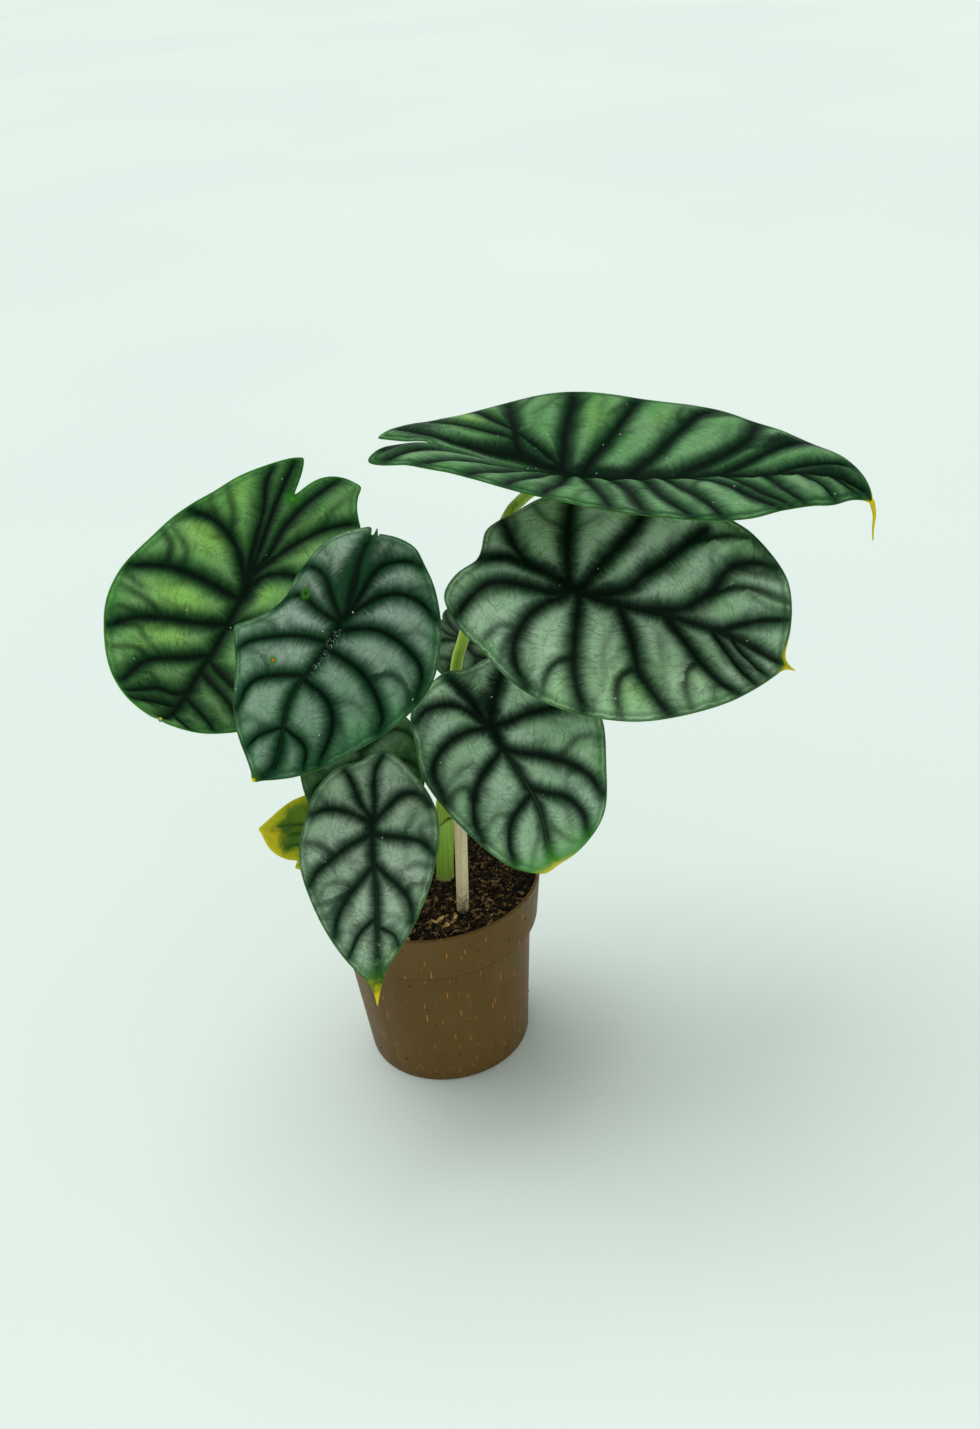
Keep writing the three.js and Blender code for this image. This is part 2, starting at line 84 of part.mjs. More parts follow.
    surface: [-97,106,363.7,-83,101.3,359.1,-69.2,97.2,353.7,-55.7,93.5,347.5,-42.4,90.3,340.4,-29.3,87.5,332.9,-15.7,83.8,326.7,-2.3,80.5,319.9,10.8,77.7,312.4,23.6,75.4,304.1,35.9,73.7,295,-103.6,91,358.1,-89.8,86.5,353.1,-76.1,82.6,347.2,-62.7,79,340.7,-49.4,76,333.5,-36.4,73.3,325.8,-22.8,69.6,319.6,-9.3,66.1,313,3.9,63.2,305.7,16.8,60.7,297.7,29.4,58.7,289.1,-110.5,76.1,352.2,-96.7,71.9,346.6,-83.2,68.2,340.4,-69.8,64.9,333.6,-56.6,62,326.1,-43.6,59.4,318.4,-30,55.6,312.3,-16.5,52,305.8,-3.2,48.9,298.7,9.8,46.2,291,22.6,44,282.8,-117.4,61.4,345.8,-103.8,57.5,339.7,-90.3,54,333.2,-77.1,50.9,326.1,-64,48.2,318.5,-51,45.7,310.6,-37.4,41.8,304.5,-23.9,38.1,298.2,-10.5,34.8,291.3,2.7,31.9,284,15.7,29.4,276.1,-124.4,46.9,339,-111,43.3,332.5,-97.6,40.1,325.5,-84.4,37.2,318.2,-71.4,34.7,310.4,-58.4,32.2,302.5,-44.9,28.3,296.5,-31.3,24.5,290.2,-17.9,21,283.6,-4.6,17.9,276.5,8.6,15.1,269,-131.6,32.6,331.8,-118.3,29.4,324.9,-105.1,26.4,317.6,-91.9,23.8,310,-79,21.4,302,-66,19.1,294,-52.5,15.1,288,-38.9,11.1,281.9,-25.4,7.5,275.5,-12,4.1,268.7,1.3,1,261.6,-138.9,18.8,324,-125.7,15.9,316.7,-112.6,13.1,309.2,-99.6,10.7,301.4,-86.6,8.4,293.3,-73.7,6.2,285.3,-60.2,2.2,279.3,-46.6,-1.9,273.3,-33,-5.7,267,-19.6,-9.2,260.5,-6.2,-12.6,253.6,-146.2,5.6,316.2,-133,2.6,308.8,-119.9,-0.1,301.2,-106.9,-2.6,293.3,-94.1,-4.8,285.1,-81.3,-7.1,277,-67.7,-11,271,-54,-15,265.1,-40.5,-18.8,258.9,-27,-22.3,252.4,-13.6,-25.6,245.6,-152.9,-8.4,309.8,-139.7,-11.3,302.3,-126.7,-14,294.6,-113.8,-16.6,286.6,-101.1,-18.9,278.3,-88.4,-21.3,270,-74.7,-25.1,264.1,-61,-29,258.3,-47.3,-32.6,252.1,-33.8,-36.1,245.7,-20.4,-39.4,238.9,-158.6,-23.1,305.4,-145.5,-26,297.9,-132.6,-28.9,290,-119.8,-31.6,281.9,-107.2,-34.1,273.4,-94.6,-36.7,265,-80.8,-40.3,259.2,-67,-44,253.5,-53.4,-47.5,247.4,-39.8,-50.9,241,-26.4,-54.1,234.2,-163,-38.3,303.8,-150,-41.4,296.2,-137.2,-44.4,288.3,-124.5,-47.4,280,-112.1,-50.3,271.5,-99.6,-53.2,262.9,-85.8,-56.5,257.2,-71.9,-59.9,251.5,-58.1,-63.1,245.5,-44.5,-66.4,239.1,-31,-69.6,232.4,-165.6,-53.6,305.6,-152.7,-56.8,298,-140,-60.1,290,-127.4,-63.4,281.7,-115.1,-66.8,273.1,-102.8,-70.2,264.6,-88.8,-73.1,258.8,-74.9,-76.1,253.1,-61,-79.1,247.1,-47.4,-82.1,240.7,-33.9,-85.2,234,-166,-67.7,311.1,-153.2,-71.1,303.4,-140.5,-74.8,295.5,-128,-78.6,287.3,-115.8,-82.5,278.9,-103.5,-86.4,270.5,-89.5,-89,264.6,-75.5,-91.4,258.7,-61.7,-94.1,252.6,-48,-96.9,246.1,-34.5,-99.9,239.4,-164,-79,320,-151.1,-82.8,312.5,-138.4,-86.9,304.8,-125.9,-91.1,296.9,-113.6,-95.7,288.8,-101.3,-100.2,280.8,-87.4,-102.3,274.5,-73.5,-104.3,268.4,-59.7,-106.6,262,-46,-109.2,255.4,-32.5,-112.1,248.5,-159.6,-86.1,331.3,-146.6,-90.1,324.1,-133.8,-94.5,316.8,-121.2,-99.2,309.4,-108.7,-104.2,302,-96.2,-109.2,294.5,-82.4,-111,287.9,-68.7,-112.7,281.2,-55,-114.8,274.4,-41.5,-117.2,267.6,-28,-119.9,260.6],
    outline: [-55.1,-0.4,-63.8,-1.1,-79.1,-5,-76.4,-10,-61.5,-22.1,-47.1,-31.6,-28.4,-41.3,-8.5,-49.3,14.8,-55.8,39.9,-55.6,62.3,-46.3,85.1,-33.7,95.1,-25.9,115,-8.8,125.1,1,118,1.6,116.3,5.6,100.1,18.1,87.4,27.6,73.5,38.1,52.8,47.8,33.5,51.5,7.7,51.4,-14,48.4,-37.5,43.6,-58.6,33,-70.8,28.6,-77.7,24.3,-78.2,18.9,-76.6,12.9,-68.9,4.2],
    stalk: { path: [-8.5,10,101.8,-13.2,12.8,127.7,-18.9,16.1,151.4,-25.3,19.6,173.2,-32.2,22.7,193.2,-39.3,25.1,211.7,-46.6,26.3,228.7,-53.7,26,244.5,-60.4,23.7,259.2,-66.6,19,273.1,-72,11.4,286.2], radii: [3.3,2.9,2.4] },
  },
  {
    name: "front", // small blade hanging over the rim at the front
    colour: "#6f9480", rings: 4,
    u0: -49.223, du: 10.834, nu: 15, v0: -49.908, dv: 9.982, nv: 11,
    surface: [-66.1,-47.6,239.2,-56.3,-48.5,239.3,-46.5,-49.1,239.3,-36.7,-49.5,239,-26.9,-49.8,238.6,-17.1,-50,238,-7.3,-50.8,238.2,2.5,-51.6,238.3,12.4,-52.2,238.2,22.2,-52.6,237.9,32,-52.8,237.3,-66.7,-55.5,232,-56.9,-56.4,232.2,-47.1,-57,232.1,-37.2,-57.4,231.8,-27.4,-57.7,231.4,-17.6,-57.9,230.8,-7.8,-58.7,231,2,-59.5,231.1,11.8,-60.1,231,21.6,-60.5,230.7,31.4,-60.7,230.2,-67.2,-63.2,224.6,-57.4,-64,224.7,-47.6,-64.7,224.7,-37.8,-65.1,224.4,-28,-65.3,223.9,-18.1,-65.5,223.4,-8.4,-66.4,223.5,1.4,-67.2,223.6,11.3,-67.8,223.6,21.1,-68.2,223.3,30.9,-68.4,222.8,-67.7,-70.7,217,-57.9,-71.5,217.1,-48.1,-72.1,217,-38.3,-72.5,216.7,-28.5,-72.7,216.2,-18.7,-72.9,215.7,-8.9,-73.8,215.9,0.9,-74.6,216,10.7,-75.2,215.9,20.5,-75.6,215.6,30.4,-75.8,215.1,-68.3,-77.9,209.1,-58.5,-78.7,209.2,-48.7,-79.3,209.1,-38.8,-79.7,208.8,-29,-79.9,208.3,-19.2,-80.1,207.8,-9.4,-80.9,208,0.4,-81.8,208.1,10.2,-82.4,208,20,-82.8,207.7,29.8,-83.1,207.3,-68.8,-84.9,201,-59,-85.7,201.1,-49.2,-86.3,201,-39.4,-86.7,200.7,-29.5,-86.8,200.2,-19.7,-87,199.7,-9.9,-87.9,199.9,-0.1,-88.7,200,9.7,-89.4,199.9,19.5,-89.8,199.6,29.3,-90,199.2,-69.3,-91.7,192.8,-59.5,-92.5,192.9,-49.7,-93.1,192.8,-39.9,-93.5,192.5,-30.1,-93.6,192,-20.2,-93.8,191.5,-10.4,-94.7,191.6,-0.7,-95.5,191.7,9.2,-96.2,191.7,19,-96.6,191.4,28.8,-96.8,191,-69.8,-98.4,184.5,-60,-99.2,184.6,-50.2,-99.8,184.5,-40.4,-100.2,184.2,-30.6,-100.3,183.7,-20.7,-100.5,183.2,-11,-101.4,183.3,-1.2,-102.2,183.4,8.7,-102.9,183.4,18.5,-103.3,183.1,28.3,-103.6,182.7,-70.3,-105,176.2,-60.5,-105.8,176.2,-50.7,-106.4,176.1,-40.9,-106.8,175.8,-31.1,-106.9,175.3,-21.2,-107.1,174.9,-11.5,-108,175,-1.7,-108.9,175.1,8.1,-109.5,175,18,-110,174.8,27.8,-110.2,174.3,-70.8,-111.6,167.8,-61,-112.4,167.8,-51.2,-113,167.7,-41.4,-113.3,167.4,-31.6,-113.5,166.9,-21.7,-113.6,166.4,-12,-114.5,166.6,-2.2,-115.4,166.7,7.6,-116.1,166.6,17.5,-116.5,166.4,27.3,-116.8,165.9,-71.3,-118.1,159.3,-61.5,-118.9,159.4,-51.7,-119.5,159.2,-41.9,-119.9,158.9,-32.1,-120,158.5,-22.2,-120.1,158,-12.5,-121,158.1,-2.7,-121.9,158.2,7.1,-122.6,158.1,17,-123.1,157.9,26.8,-123.3,157.5,-71.8,-124.6,150.9,-62,-125.4,150.9,-52.2,-126,150.8,-42.4,-126.3,150.5,-32.6,-126.5,150,-22.7,-126.6,149.5,-13,-127.5,149.7,-3.2,-128.4,149.8,6.6,-129.1,149.7,16.5,-129.6,149.5,26.3,-129.8,149.1,-72.3,-131.1,142.5,-62.5,-131.9,142.5,-52.7,-132.5,142.3,-42.9,-132.8,142,-33.1,-133,141.6,-23.2,-133.1,141.1,-13.5,-134,141.2,-3.7,-134.9,141.3,6.1,-135.6,141.3,16,-136.1,141,25.8,-136.3,140.6,-72.8,-137.6,134,-63,-138.4,134.1,-53.2,-139,133.9,-43.4,-139.4,133.6,-33.6,-139.5,133.1,-23.8,-139.6,132.6,-14,-140.5,132.8,-4.2,-141.4,132.9,5.6,-142.1,132.8,15.5,-142.6,132.6,25.3,-142.8,132.2,-73.3,-144.2,125.6,-63.5,-145,125.7,-53.7,-145.6,125.5,-43.9,-145.9,125.2,-34.1,-146.1,124.7,-24.3,-146.2,124.2,-14.5,-147.1,124.4,-4.7,-148,124.5,5.1,-148.7,124.4,14.9,-149.2,124.2,24.8,-149.4,123.8],
    outline: [-31.7,-2.4,-29.6,-5,-29.8,-8.2,-28.7,-12.5,-24.8,-19.2,-16.3,-26.3,-4.6,-31,9.4,-34.6,22.3,-34.3,33.9,-30.3,46.3,-25.4,62.8,-15.5,71.2,-7.8,81,-1,85.4,-0.6,81.8,0.6,76.3,1.7,67,5.3,58.6,12.3,44.7,21,29.2,27.6,18.5,30.4,3.6,32.5,-7,30.7,-17.8,24.9,-26.5,18.2,-34.7,10.2,-35.7,7.7,-35.5,4.3],
    stalk: { path: [-12.5,-13,101.8,-13.6,-24.6,111.7,-14.7,-35.3,121.2,-15.6,-45.2,130.5,-16.4,-54,139.7,-17.1,-61.8,148.9,-17.8,-68.4,158.4,-18.3,-73.8,168.2,-18.8,-77.9,178.7,-19.1,-80.7,189.9,-19.4,-82.1,201.9], radii: [2.7,2.3,1.9] },
  },
  {
    name: "old", // old blade at the lower left
    colour: "#8c9a1e", rings: 3,
    u0: -26.829, du: 8.019, nu: 11, v0: -30.873, dv: 7.718, nv: 9,
    surface: [-30.8,-22.5,201.7,-27.3,-28.1,197.7,-23.6,-33.4,193.5,-20,-38.6,189,-16.4,-43.5,184.4,-12.8,-48.3,179.5,-9.2,-52.8,174.4,-5.6,-57.1,169.1,-2.1,-61.2,163.6,-37.9,-25.2,199.1,-34.3,-30.7,195.1,-30.7,-36.1,190.9,-27.1,-41.3,186.4,-23.5,-46.2,181.7,-19.9,-51,176.8,-16.3,-55.5,171.7,-12.7,-59.8,166.5,-9.1,-63.9,161,-44.9,-27.7,196.4,-41.4,-33.3,192.4,-37.8,-38.7,188.1,-34.2,-43.8,183.7,-30.6,-48.8,179,-27,-53.5,174.1,-23.4,-58.1,169,-19.7,-62.4,163.7,-16.1,-66.4,158.2,-51.9,-30.1,193.5,-48.4,-35.7,189.5,-44.9,-41.1,185.2,-41.3,-46.2,180.8,-37.7,-51.2,176.1,-34.1,-55.9,171.2,-30.4,-60.5,166.1,-26.8,-64.8,160.8,-23.2,-68.8,155.4,-58.9,-32.4,190.5,-55.4,-37.9,186.5,-51.9,-43.3,182.2,-48.3,-48.5,177.7,-44.7,-53.5,173.1,-41.1,-58.2,168.2,-37.5,-62.7,163.1,-33.8,-67,157.8,-30.2,-71.1,152.4,-65.9,-34.4,187.3,-62.5,-40,183.3,-58.9,-45.4,179,-55.4,-50.6,174.5,-51.8,-55.5,169.8,-48.2,-60.3,164.9,-44.5,-64.8,159.9,-40.8,-69.1,154.6,-37.1,-73.1,149.2,-72.8,-36.2,183.9,-69.4,-41.8,179.9,-65.9,-47.2,175.6,-62.4,-52.4,171.1,-58.8,-57.4,166.4,-55.2,-62.1,161.5,-51.5,-66.6,156.5,-47.8,-70.9,151.2,-44.1,-74.9,145.8,-79.7,-37.8,180.3,-76.3,-43.4,176.3,-72.9,-48.8,172,-69.3,-54,167.5,-65.8,-58.9,162.8,-62.1,-63.7,157.9,-58.4,-68.2,152.8,-54.7,-72.5,147.6,-50.9,-76.5,142.2,-86.5,-39.1,176.5,-83.2,-44.7,172.4,-79.7,-50.1,168.1,-76.2,-55.3,163.6,-72.7,-60.3,158.9,-69,-65,154,-65.3,-69.5,149,-61.5,-73.8,143.7,-57.7,-77.8,138.4,-93.2,-40.1,172.5,-89.9,-45.7,168.3,-86.5,-51.1,164,-83,-56.3,159.5,-79.5,-61.3,154.8,-75.8,-66,149.9,-72.1,-70.5,144.8,-68.3,-74.8,139.7,-64.4,-78.8,134.3,-99.8,-40.7,168.2,-96.5,-46.3,164,-93.2,-51.8,159.6,-89.7,-56.9,155.1,-86.2,-61.9,150.4,-82.5,-66.7,145.5,-78.7,-71.2,140.5,-74.9,-75.4,135.3,-71,-79.4,130],
    outline: [-17.2,-1.3,-20.9,-9.4,-16.1,-18.6,-7.1,-24.8,7.1,-29.7,25,-28.6,30.7,-25.3,32.7,-18.1,30.6,-10.6,26.3,-0.1,20.8,7.4,13.4,13.3,6,16,-1.3,17,-9,16,-16.2,11.6,-18.8,5.3,-15.4,0.2],
    stalk: { path: [-19,-3.5,101.8,-21.2,-7.9,112.9,-23,-12.5,122.4,-24.5,-17.3,130.6,-26,-22.3,137.8,-27.4,-27.3,144.2,-29.1,-32.3,150.1,-31,-37.3,155.7,-33.4,-42,161.4,-36.4,-46.6,167.4,-40,-50.8,173.9], radii: [2.1,1.8,1.5] },
  },
  {
    name: "inner", // plain blade between the front ones
    colour: "#4a7a44", rings: 3,
    u0: -33.106, du: 10.159, nu: 11, v0: -45.032, dv: 11.258, nv: 9,
    surface: [-69.8,-16,238.7,-58.5,-15.8,238.9,-47.3,-15.5,239,-36,-15,238.9,-24.8,-14.4,238.7,-13.5,-14.2,238.9,-2.3,-13.9,239,9,-13.5,238.9,20.2,-12.9,238.7,-69.5,-22.9,231.3,-58.3,-22.8,231.5,-47,-22.4,231.5,-35.8,-21.9,231.4,-24.5,-21.3,231.2,-13.3,-21.1,231.4,-2,-20.8,231.5,9.2,-20.4,231.5,20.5,-19.8,231.3,-69.3,-29.6,223.6,-58,-29.4,223.8,-46.8,-29.1,223.9,-35.5,-28.6,223.7,-24.3,-27.9,223.5,-13.1,-27.8,223.7,-1.8,-27.5,223.9,9.5,-27.1,223.8,20.7,-26.4,223.6,-69.1,-36,215.7,-57.8,-35.9,215.9,-46.6,-35.5,216,-35.3,-35,215.9,-24.1,-34.4,215.7,-12.8,-34.2,215.9,-1.6,-34,216,9.7,-33.5,215.9,20.9,-32.9,215.7,-68.9,-42.2,207.7,-57.6,-42.1,207.9,-46.3,-41.7,207.9,-35.1,-41.2,207.8,-23.9,-40.6,207.6,-12.6,-40.4,207.8,-1.4,-40.2,207.9,9.9,-39.7,207.9,21.1,-39.1,207.7,-68.6,-48.1,199.4,-57.4,-48,199.6,-46.1,-47.7,199.7,-34.9,-47.1,199.6,-23.7,-46.5,199.4,-12.4,-46.4,199.6,-1.1,-46.1,199.7,10.1,-45.7,199.6,21.3,-45,199.4,-68.4,-53.8,191,-57.2,-53.7,191.2,-45.9,-53.4,191.3,-34.7,-52.8,191.2,-23.5,-52.2,191,-12.2,-52.1,191.2,-0.9,-51.8,191.3,10.3,-51.4,191.2,21.5,-50.7,191,-68.3,-59.3,182.4,-57,-59.2,182.6,-45.8,-58.8,182.7,-34.5,-58.3,182.6,-23.3,-57.6,182.4,-12,-57.5,182.6,-0.8,-57.3,182.7,10.5,-56.8,182.6,21.7,-56.1,182.4,-68.1,-64.4,173.7,-56.8,-64.3,173.9,-45.6,-64,173.9,-34.3,-63.4,173.8,-23.1,-62.8,173.7,-11.8,-62.7,173.8,-0.6,-62.4,173.9,10.7,-62,173.9,21.9,-61.3,173.7,-67.9,-69.3,164.8,-56.7,-69.2,165,-45.4,-68.9,165,-34.2,-68.3,164.9,-22.9,-67.7,164.8,-11.7,-67.6,164.9,-0.4,-67.3,165,10.8,-66.9,165,22.1,-66.2,164.8,-67.7,-74,155.8,-56.5,-73.9,155.9,-45.2,-73.5,155.9,-34,-73,155.9,-22.8,-72.3,155.7,-11.5,-72.2,155.9,-0.2,-72,155.9,11,-71.5,155.9,22.2,-70.8,155.8],
    outline: [-18.1,-0.7,-22.3,-8.3,-22.4,-9.9,-20.2,-17.5,-11.8,-26.1,0.5,-30.3,15.1,-30.1,29.2,-25.3,42,-15.7,52,-3.7,56,0,44.8,12.7,33.6,22.6,19.9,29.1,5.4,30.8,-8.6,27.9,-18.6,19.9,-22.4,9.9,-20,2.6,-17,0],
    stalk: { path: [-2.2,5.5,101.8,-1.8,4.4,118.7,-2.9,2.4,133.6,-5.2,-0.4,146.7,-8.2,-4,158.4,-11.6,-8.2,168.8,-15.2,-12.9,178.3,-18.6,-18,187.2,-21.4,-23.4,195.7,-23.3,-29.1,204.1,-24.1,-34.8,212.7], radii: [2.3,2.0,1.7] },
  },
  {
    name: "shaded", // inner blade behind the tallest stalk
    colour: "#33523c", rings: 3,
    u0: -35.371, du: 10.601, nu: 11, v0: -39.022, dv: 9.756, nv: 9,
    surface: [-20.8,76,228.1,-12.9,81.6,227.8,-5,87.4,227.3,2.9,93.1,226.7,10.7,98.9,226.1,18.8,104.3,226.7,26.9,109.7,227.3,35,115.1,227.8,43,120.6,228.1,-15,67.7,224.5,-7.1,73.4,224.2,0.8,79.2,223.7,8.6,84.9,223.1,16.5,90.7,222.5,24.6,96.1,223.1,32.7,101.5,223.7,40.7,106.9,224.2,48.8,112.4,224.5,-9.3,59.6,220.5,-1.4,65.3,220.2,6.4,71,219.8,14.3,76.8,219.1,22.1,82.6,218.6,30.2,88,219.1,38.3,93.4,219.8,46.4,98.8,220.2,54.5,104.3,220.5,-3.7,51.6,216.3,4.2,57.3,216,12,63.1,215.5,19.9,68.9,214.9,27.7,74.7,214.4,35.8,80,214.9,43.9,85.4,215.5,52,90.8,216,60.1,96.3,216.3,1.8,43.7,211.7,9.7,49.4,211.4,17.6,55.2,211,25.4,61,210.4,33.2,66.8,209.8,41.3,72.2,210.4,49.5,77.5,211,57.6,82.9,211.4,65.6,88.4,211.7,7.2,35.9,206.9,15.1,41.6,206.6,23,47.4,206.1,30.8,53.3,205.5,38.6,59.1,205,46.7,64.4,205.5,54.9,69.7,206.1,63,75.1,206.6,71.1,80.6,206.9,12.6,28.3,201.7,20.5,34,201.4,28.3,39.8,201,36.1,45.6,200.4,43.9,51.5,199.9,52.1,56.8,200.4,60.2,62.1,201,68.4,67.5,201.4,76.4,73,201.7,17.9,20.8,196.2,25.8,26.5,196,33.6,32.3,195.5,41.3,38.2,195,49.1,44,194.4,57.3,49.3,195,65.5,54.6,195.5,73.6,60,196,81.7,65.5,196.2,23,13.4,190.5,30.9,19.1,190.2,38.7,24.9,189.8,46.5,30.8,189.2,54.3,36.7,188.7,62.4,42,189.2,70.6,47.3,189.8,78.8,52.6,190.2,86.8,58.1,190.5,28.1,6.2,184.5,35.9,11.9,184.2,43.8,17.8,183.8,51.5,23.7,183.2,59.3,29.5,182.7,67.5,34.8,183.2,75.7,40.1,183.8,83.8,45.4,184.2,91.9,50.9,184.5,33,-0.9,178.2,40.9,4.9,177.9,48.7,10.7,177.5,56.4,16.6,177,64.2,22.5,176.5,72.4,27.8,177,80.6,33.1,177.5,88.7,38.4,177.9,96.8,43.8,178.2],
    outline: [-19.7,-0.6,-24.4,-8.3,-20.3,-16.7,-9.4,-23.4,6.8,-25.9,24.3,-23.4,39.2,-16.2,52,-5,58,0,44.5,12.4,30.2,21.2,14.4,25.3,-3.2,24.8,-17.3,19.2,-24.4,8.3,-21.8,2.2,-18.6,0],
    stalk: { path: [0,16.5,101.8,4.1,21.6,120.1,8.1,28,135.7,11.9,35.3,149,15.5,43.1,160.4,18.7,50.9,170.3,21.7,58.1,179.1,24.2,64.4,187.2,26.4,69.2,195.1,28,72,203,29.2,72.5,211.6], radii: [2.3,2.0,1.7] },
  },
];

// ---- Helpers ----
const wasm = await Module();
wasm.setup();

const material = (colour, roughness, metalness = 0) =>
  new THREE.MeshStandardMaterial({ color: colour, roughness, metalness });

function solid(geometry) {
  const g = geometry.clone();
  for (const name of Object.keys(g.attributes))
    if (name !== "position") g.deleteAttribute(name);
  const merged = mergeVertices(g, 1e-4);
  return new wasm.Manifold(
    new wasm.Mesh({
      numProp: 3,
      vertProperties: new Float32Array(merged.attributes.position.array),
      triVerts: new Uint32Array(merged.index.array),
    }),
  );
}

function geometryOf(manifold) {
  const m = manifold.getMesh();
  const g = new THREE.BufferGeometry();
  const p = new Float32Array(m.numVert * 3);
  for (let i = 0; i < m.numVert; i++)
    for (let k = 0; k < 3; k++)
      p[3 * i + k] = m.vertProperties[m.numProp * i + k];
  g.setAttribute("position", new THREE.BufferAttribute(p, 3));
  g.setIndex(new THREE.BufferAttribute(new Uint32Array(m.triVerts), 1));
  g.computeVertexNormals();
  return g;
}

function lathe(profile, segments) {
  const g = new THREE.LatheGeometry(
    profile.map(([r, z]) => new THREE.Vector2(r, z)),
    segments,
  );
  g.rotateX(Math.PI / 2); // the lathe's Y axis becomes Z
  return g;
}

// Cubic weights that pass through the grid's points.
const weights = (f) => [
  -0.5 * f + f * f - 0.5 * f ** 3,
  1 - 2.5 * f * f + 1.5 * f ** 3,
  0.5 * f + 2 * f * f - 1.5 * f ** 3,
  -0.5 * f * f + 0.5 * f ** 3,
];

function bladePoint(leaf, u, v) {
  const a = (u - leaf.u0) / leaf.du;
  const b = (v - leaf.v0) / leaf.dv;
  const i = Math.min(Math.max(Math.floor(a), 1), leaf.nu - 3);
  const j = Math.min(Math.max(Math.floor(b), 1), leaf.nv - 3);
  const wa = weights(a - i);
  const wb = weights(b - j);
  const out = new THREE.Vector3();
  for (let m = 0; m < 4; m++)
    for (let n = 0; n < 4; n++) {
      const at = 3 * ((i + m - 1) * leaf.nv + (j + n - 1));
      const w = wa[m] * wb[n];
      out.x += w * leaf.surface[at];
      out.y += w * leaf.surface[at + 1];
      out.z += w * leaf.surface[at + 2];
    }
  return out;
}

function bladeFrame(leaf, u, v) {
  const e = 0.5;
  const along = bladePoint(leaf, u + e, v).sub(bladePoint(leaf, u - e, v)).normalize();
  const across = bladePoint(leaf, u, v + e).sub(bladePoint(leaf, u, v - e)).normalize();
  const normal = new THREE.Vector3().crossVectors(along, across).normalize();
  return { along, normal };
}

// A blade: rings of points from the joint out to the margin, on its upper and lower faces,
// joined round the margin.
function bladeGeometry(leaf) {
  const n = leaf.outline.length / 2;
  const positions = [];
  const faces = [];
  const put = (u, v, side, thick) => {
    const p = bladePoint(leaf, u, v).addScaledVector(bladeFrame(leaf, u, v).normal, (side * thick) / 2);
    positions.push(p.x, p.y, p.z);
    return positions.length / 3 - 1;
  };
  const sheet = (side) => {
    const rings = [[put(0, 0, side, BLADE)]];
    for (let k = 1; k <= leaf.rings; k++) {
      const s = k / leaf.rings;
      const thick = BLADE + (BLADE_EDGE - BLADE) * s;
      const ring = [];
      for (let i = 0; i < n; i++)
        ring.push(put(s * leaf.outline[2 * i], s * leaf.outline[2 * i + 1], side, thick));
      rings.push(ring);
    }
    const face = (a, b, c) => faces.push(...(side > 0 ? [a, b, c] : [a, c, b]));
    for (let i = 0; i < n; i++) face(rings[0][0], rings[1][i], rings[1][(i + 1) % n]);
    for (let k = 1; k < leaf.rings; k++)
      for (let i = 0; i < n; i++) {
        const j = (i + 1) % n;
        face(rings[k][i], rings[k + 1][i], rings[k + 1][j]);
        face(rings[k][i], rings[k + 1][j], rings[k][j]);
      }
    return rings[leaf.rings];
  };
  const top = sheet(1);
  const bottom = sheet(-1);
  for (let i = 0; i < n; i++) {
    const j = (i + 1) % n;
    faces.push(top[i], bottom[i], bottom[j], top[i], bottom[j], top[j]);
  }
  const g = new THREE.BufferGeometry();
  g.setAttribute("position", new THREE.Float32BufferAttribute(positions, 3));
  g.setIndex(faces);
  g.computeVertexNormals();
  return g;
}

const points = (flat) => {
  const out = [];
  for (let i = 0; i < flat.length; i += 3)
    out.push(new THREE.Vector3(flat[i], flat[i + 1], flat[i + 2]));
  return out;
};

// A round rod along a curve: an extruded circle, then each ring is set to its own radius.
function rod(curve, radiusAt, steps, sides, bore = 0) {
  const unit = 1;
  const shape = new THREE.Shape();
  for (let i = 0; i < sides; i++) {
    const t = (2 * Math.PI * i) / sides;
    if (i) shape.lineTo(unit * Math.cos(t), unit * Math.sin(t));
    else shape.moveTo(unit, 0);
  }
  shape.closePath();
  if (bore) {
    const hole = new THREE.Path();
    for (let i = 0; i < sides; i++) {
      const t = (-2 * Math.PI * i) / sides;
      if (i) hole.lineTo(bore * Math.cos(t), bore * Math.sin(t));
      else hole.moveTo(bore, 0);
    }
    hole.closePath();
    shape.holes.push(hole);
  }
  const g = new THREE.ExtrudeGeometry(shape, { steps, extrudePath: curve, bevelEnabled: false });
  const centres = [];
  for (let i = 0; i <= steps; i++) centres.push(curve.getPointAt(i / steps));
  const p = g.attributes.position;
  const v = new THREE.Vector3();
  for (let i = 0; i < p.count; i++) {
    v.fromBufferAttribute(p, i);
    let best = 0;
    let near = Infinity;
    centres.forEach((c, k) => {
      const d = c.distanceToSquared(v);
      if (d < near) [best, near] = [k, d];
    });
    const r = radiusAt(best / steps);
    v.sub(centres[best]).multiplyScalar(r).add(centres[best]);
    p.setXYZ(i, v.x, v.y, v.z);
  }
  g.computeVertexNormals();
  return g;
}

const taper = ([a, b, c]) => (t) => (t < 0.5 ? a + (b - a) * 2 * t : b + (c - b) * (2 * t - 1));

const part = new THREE.Group();
const add = (name, geometry, mat) => {
  const mesh = new THREE.Mesh(geometry, mat);
  mesh.name = name;
  part.add(mesh);
};

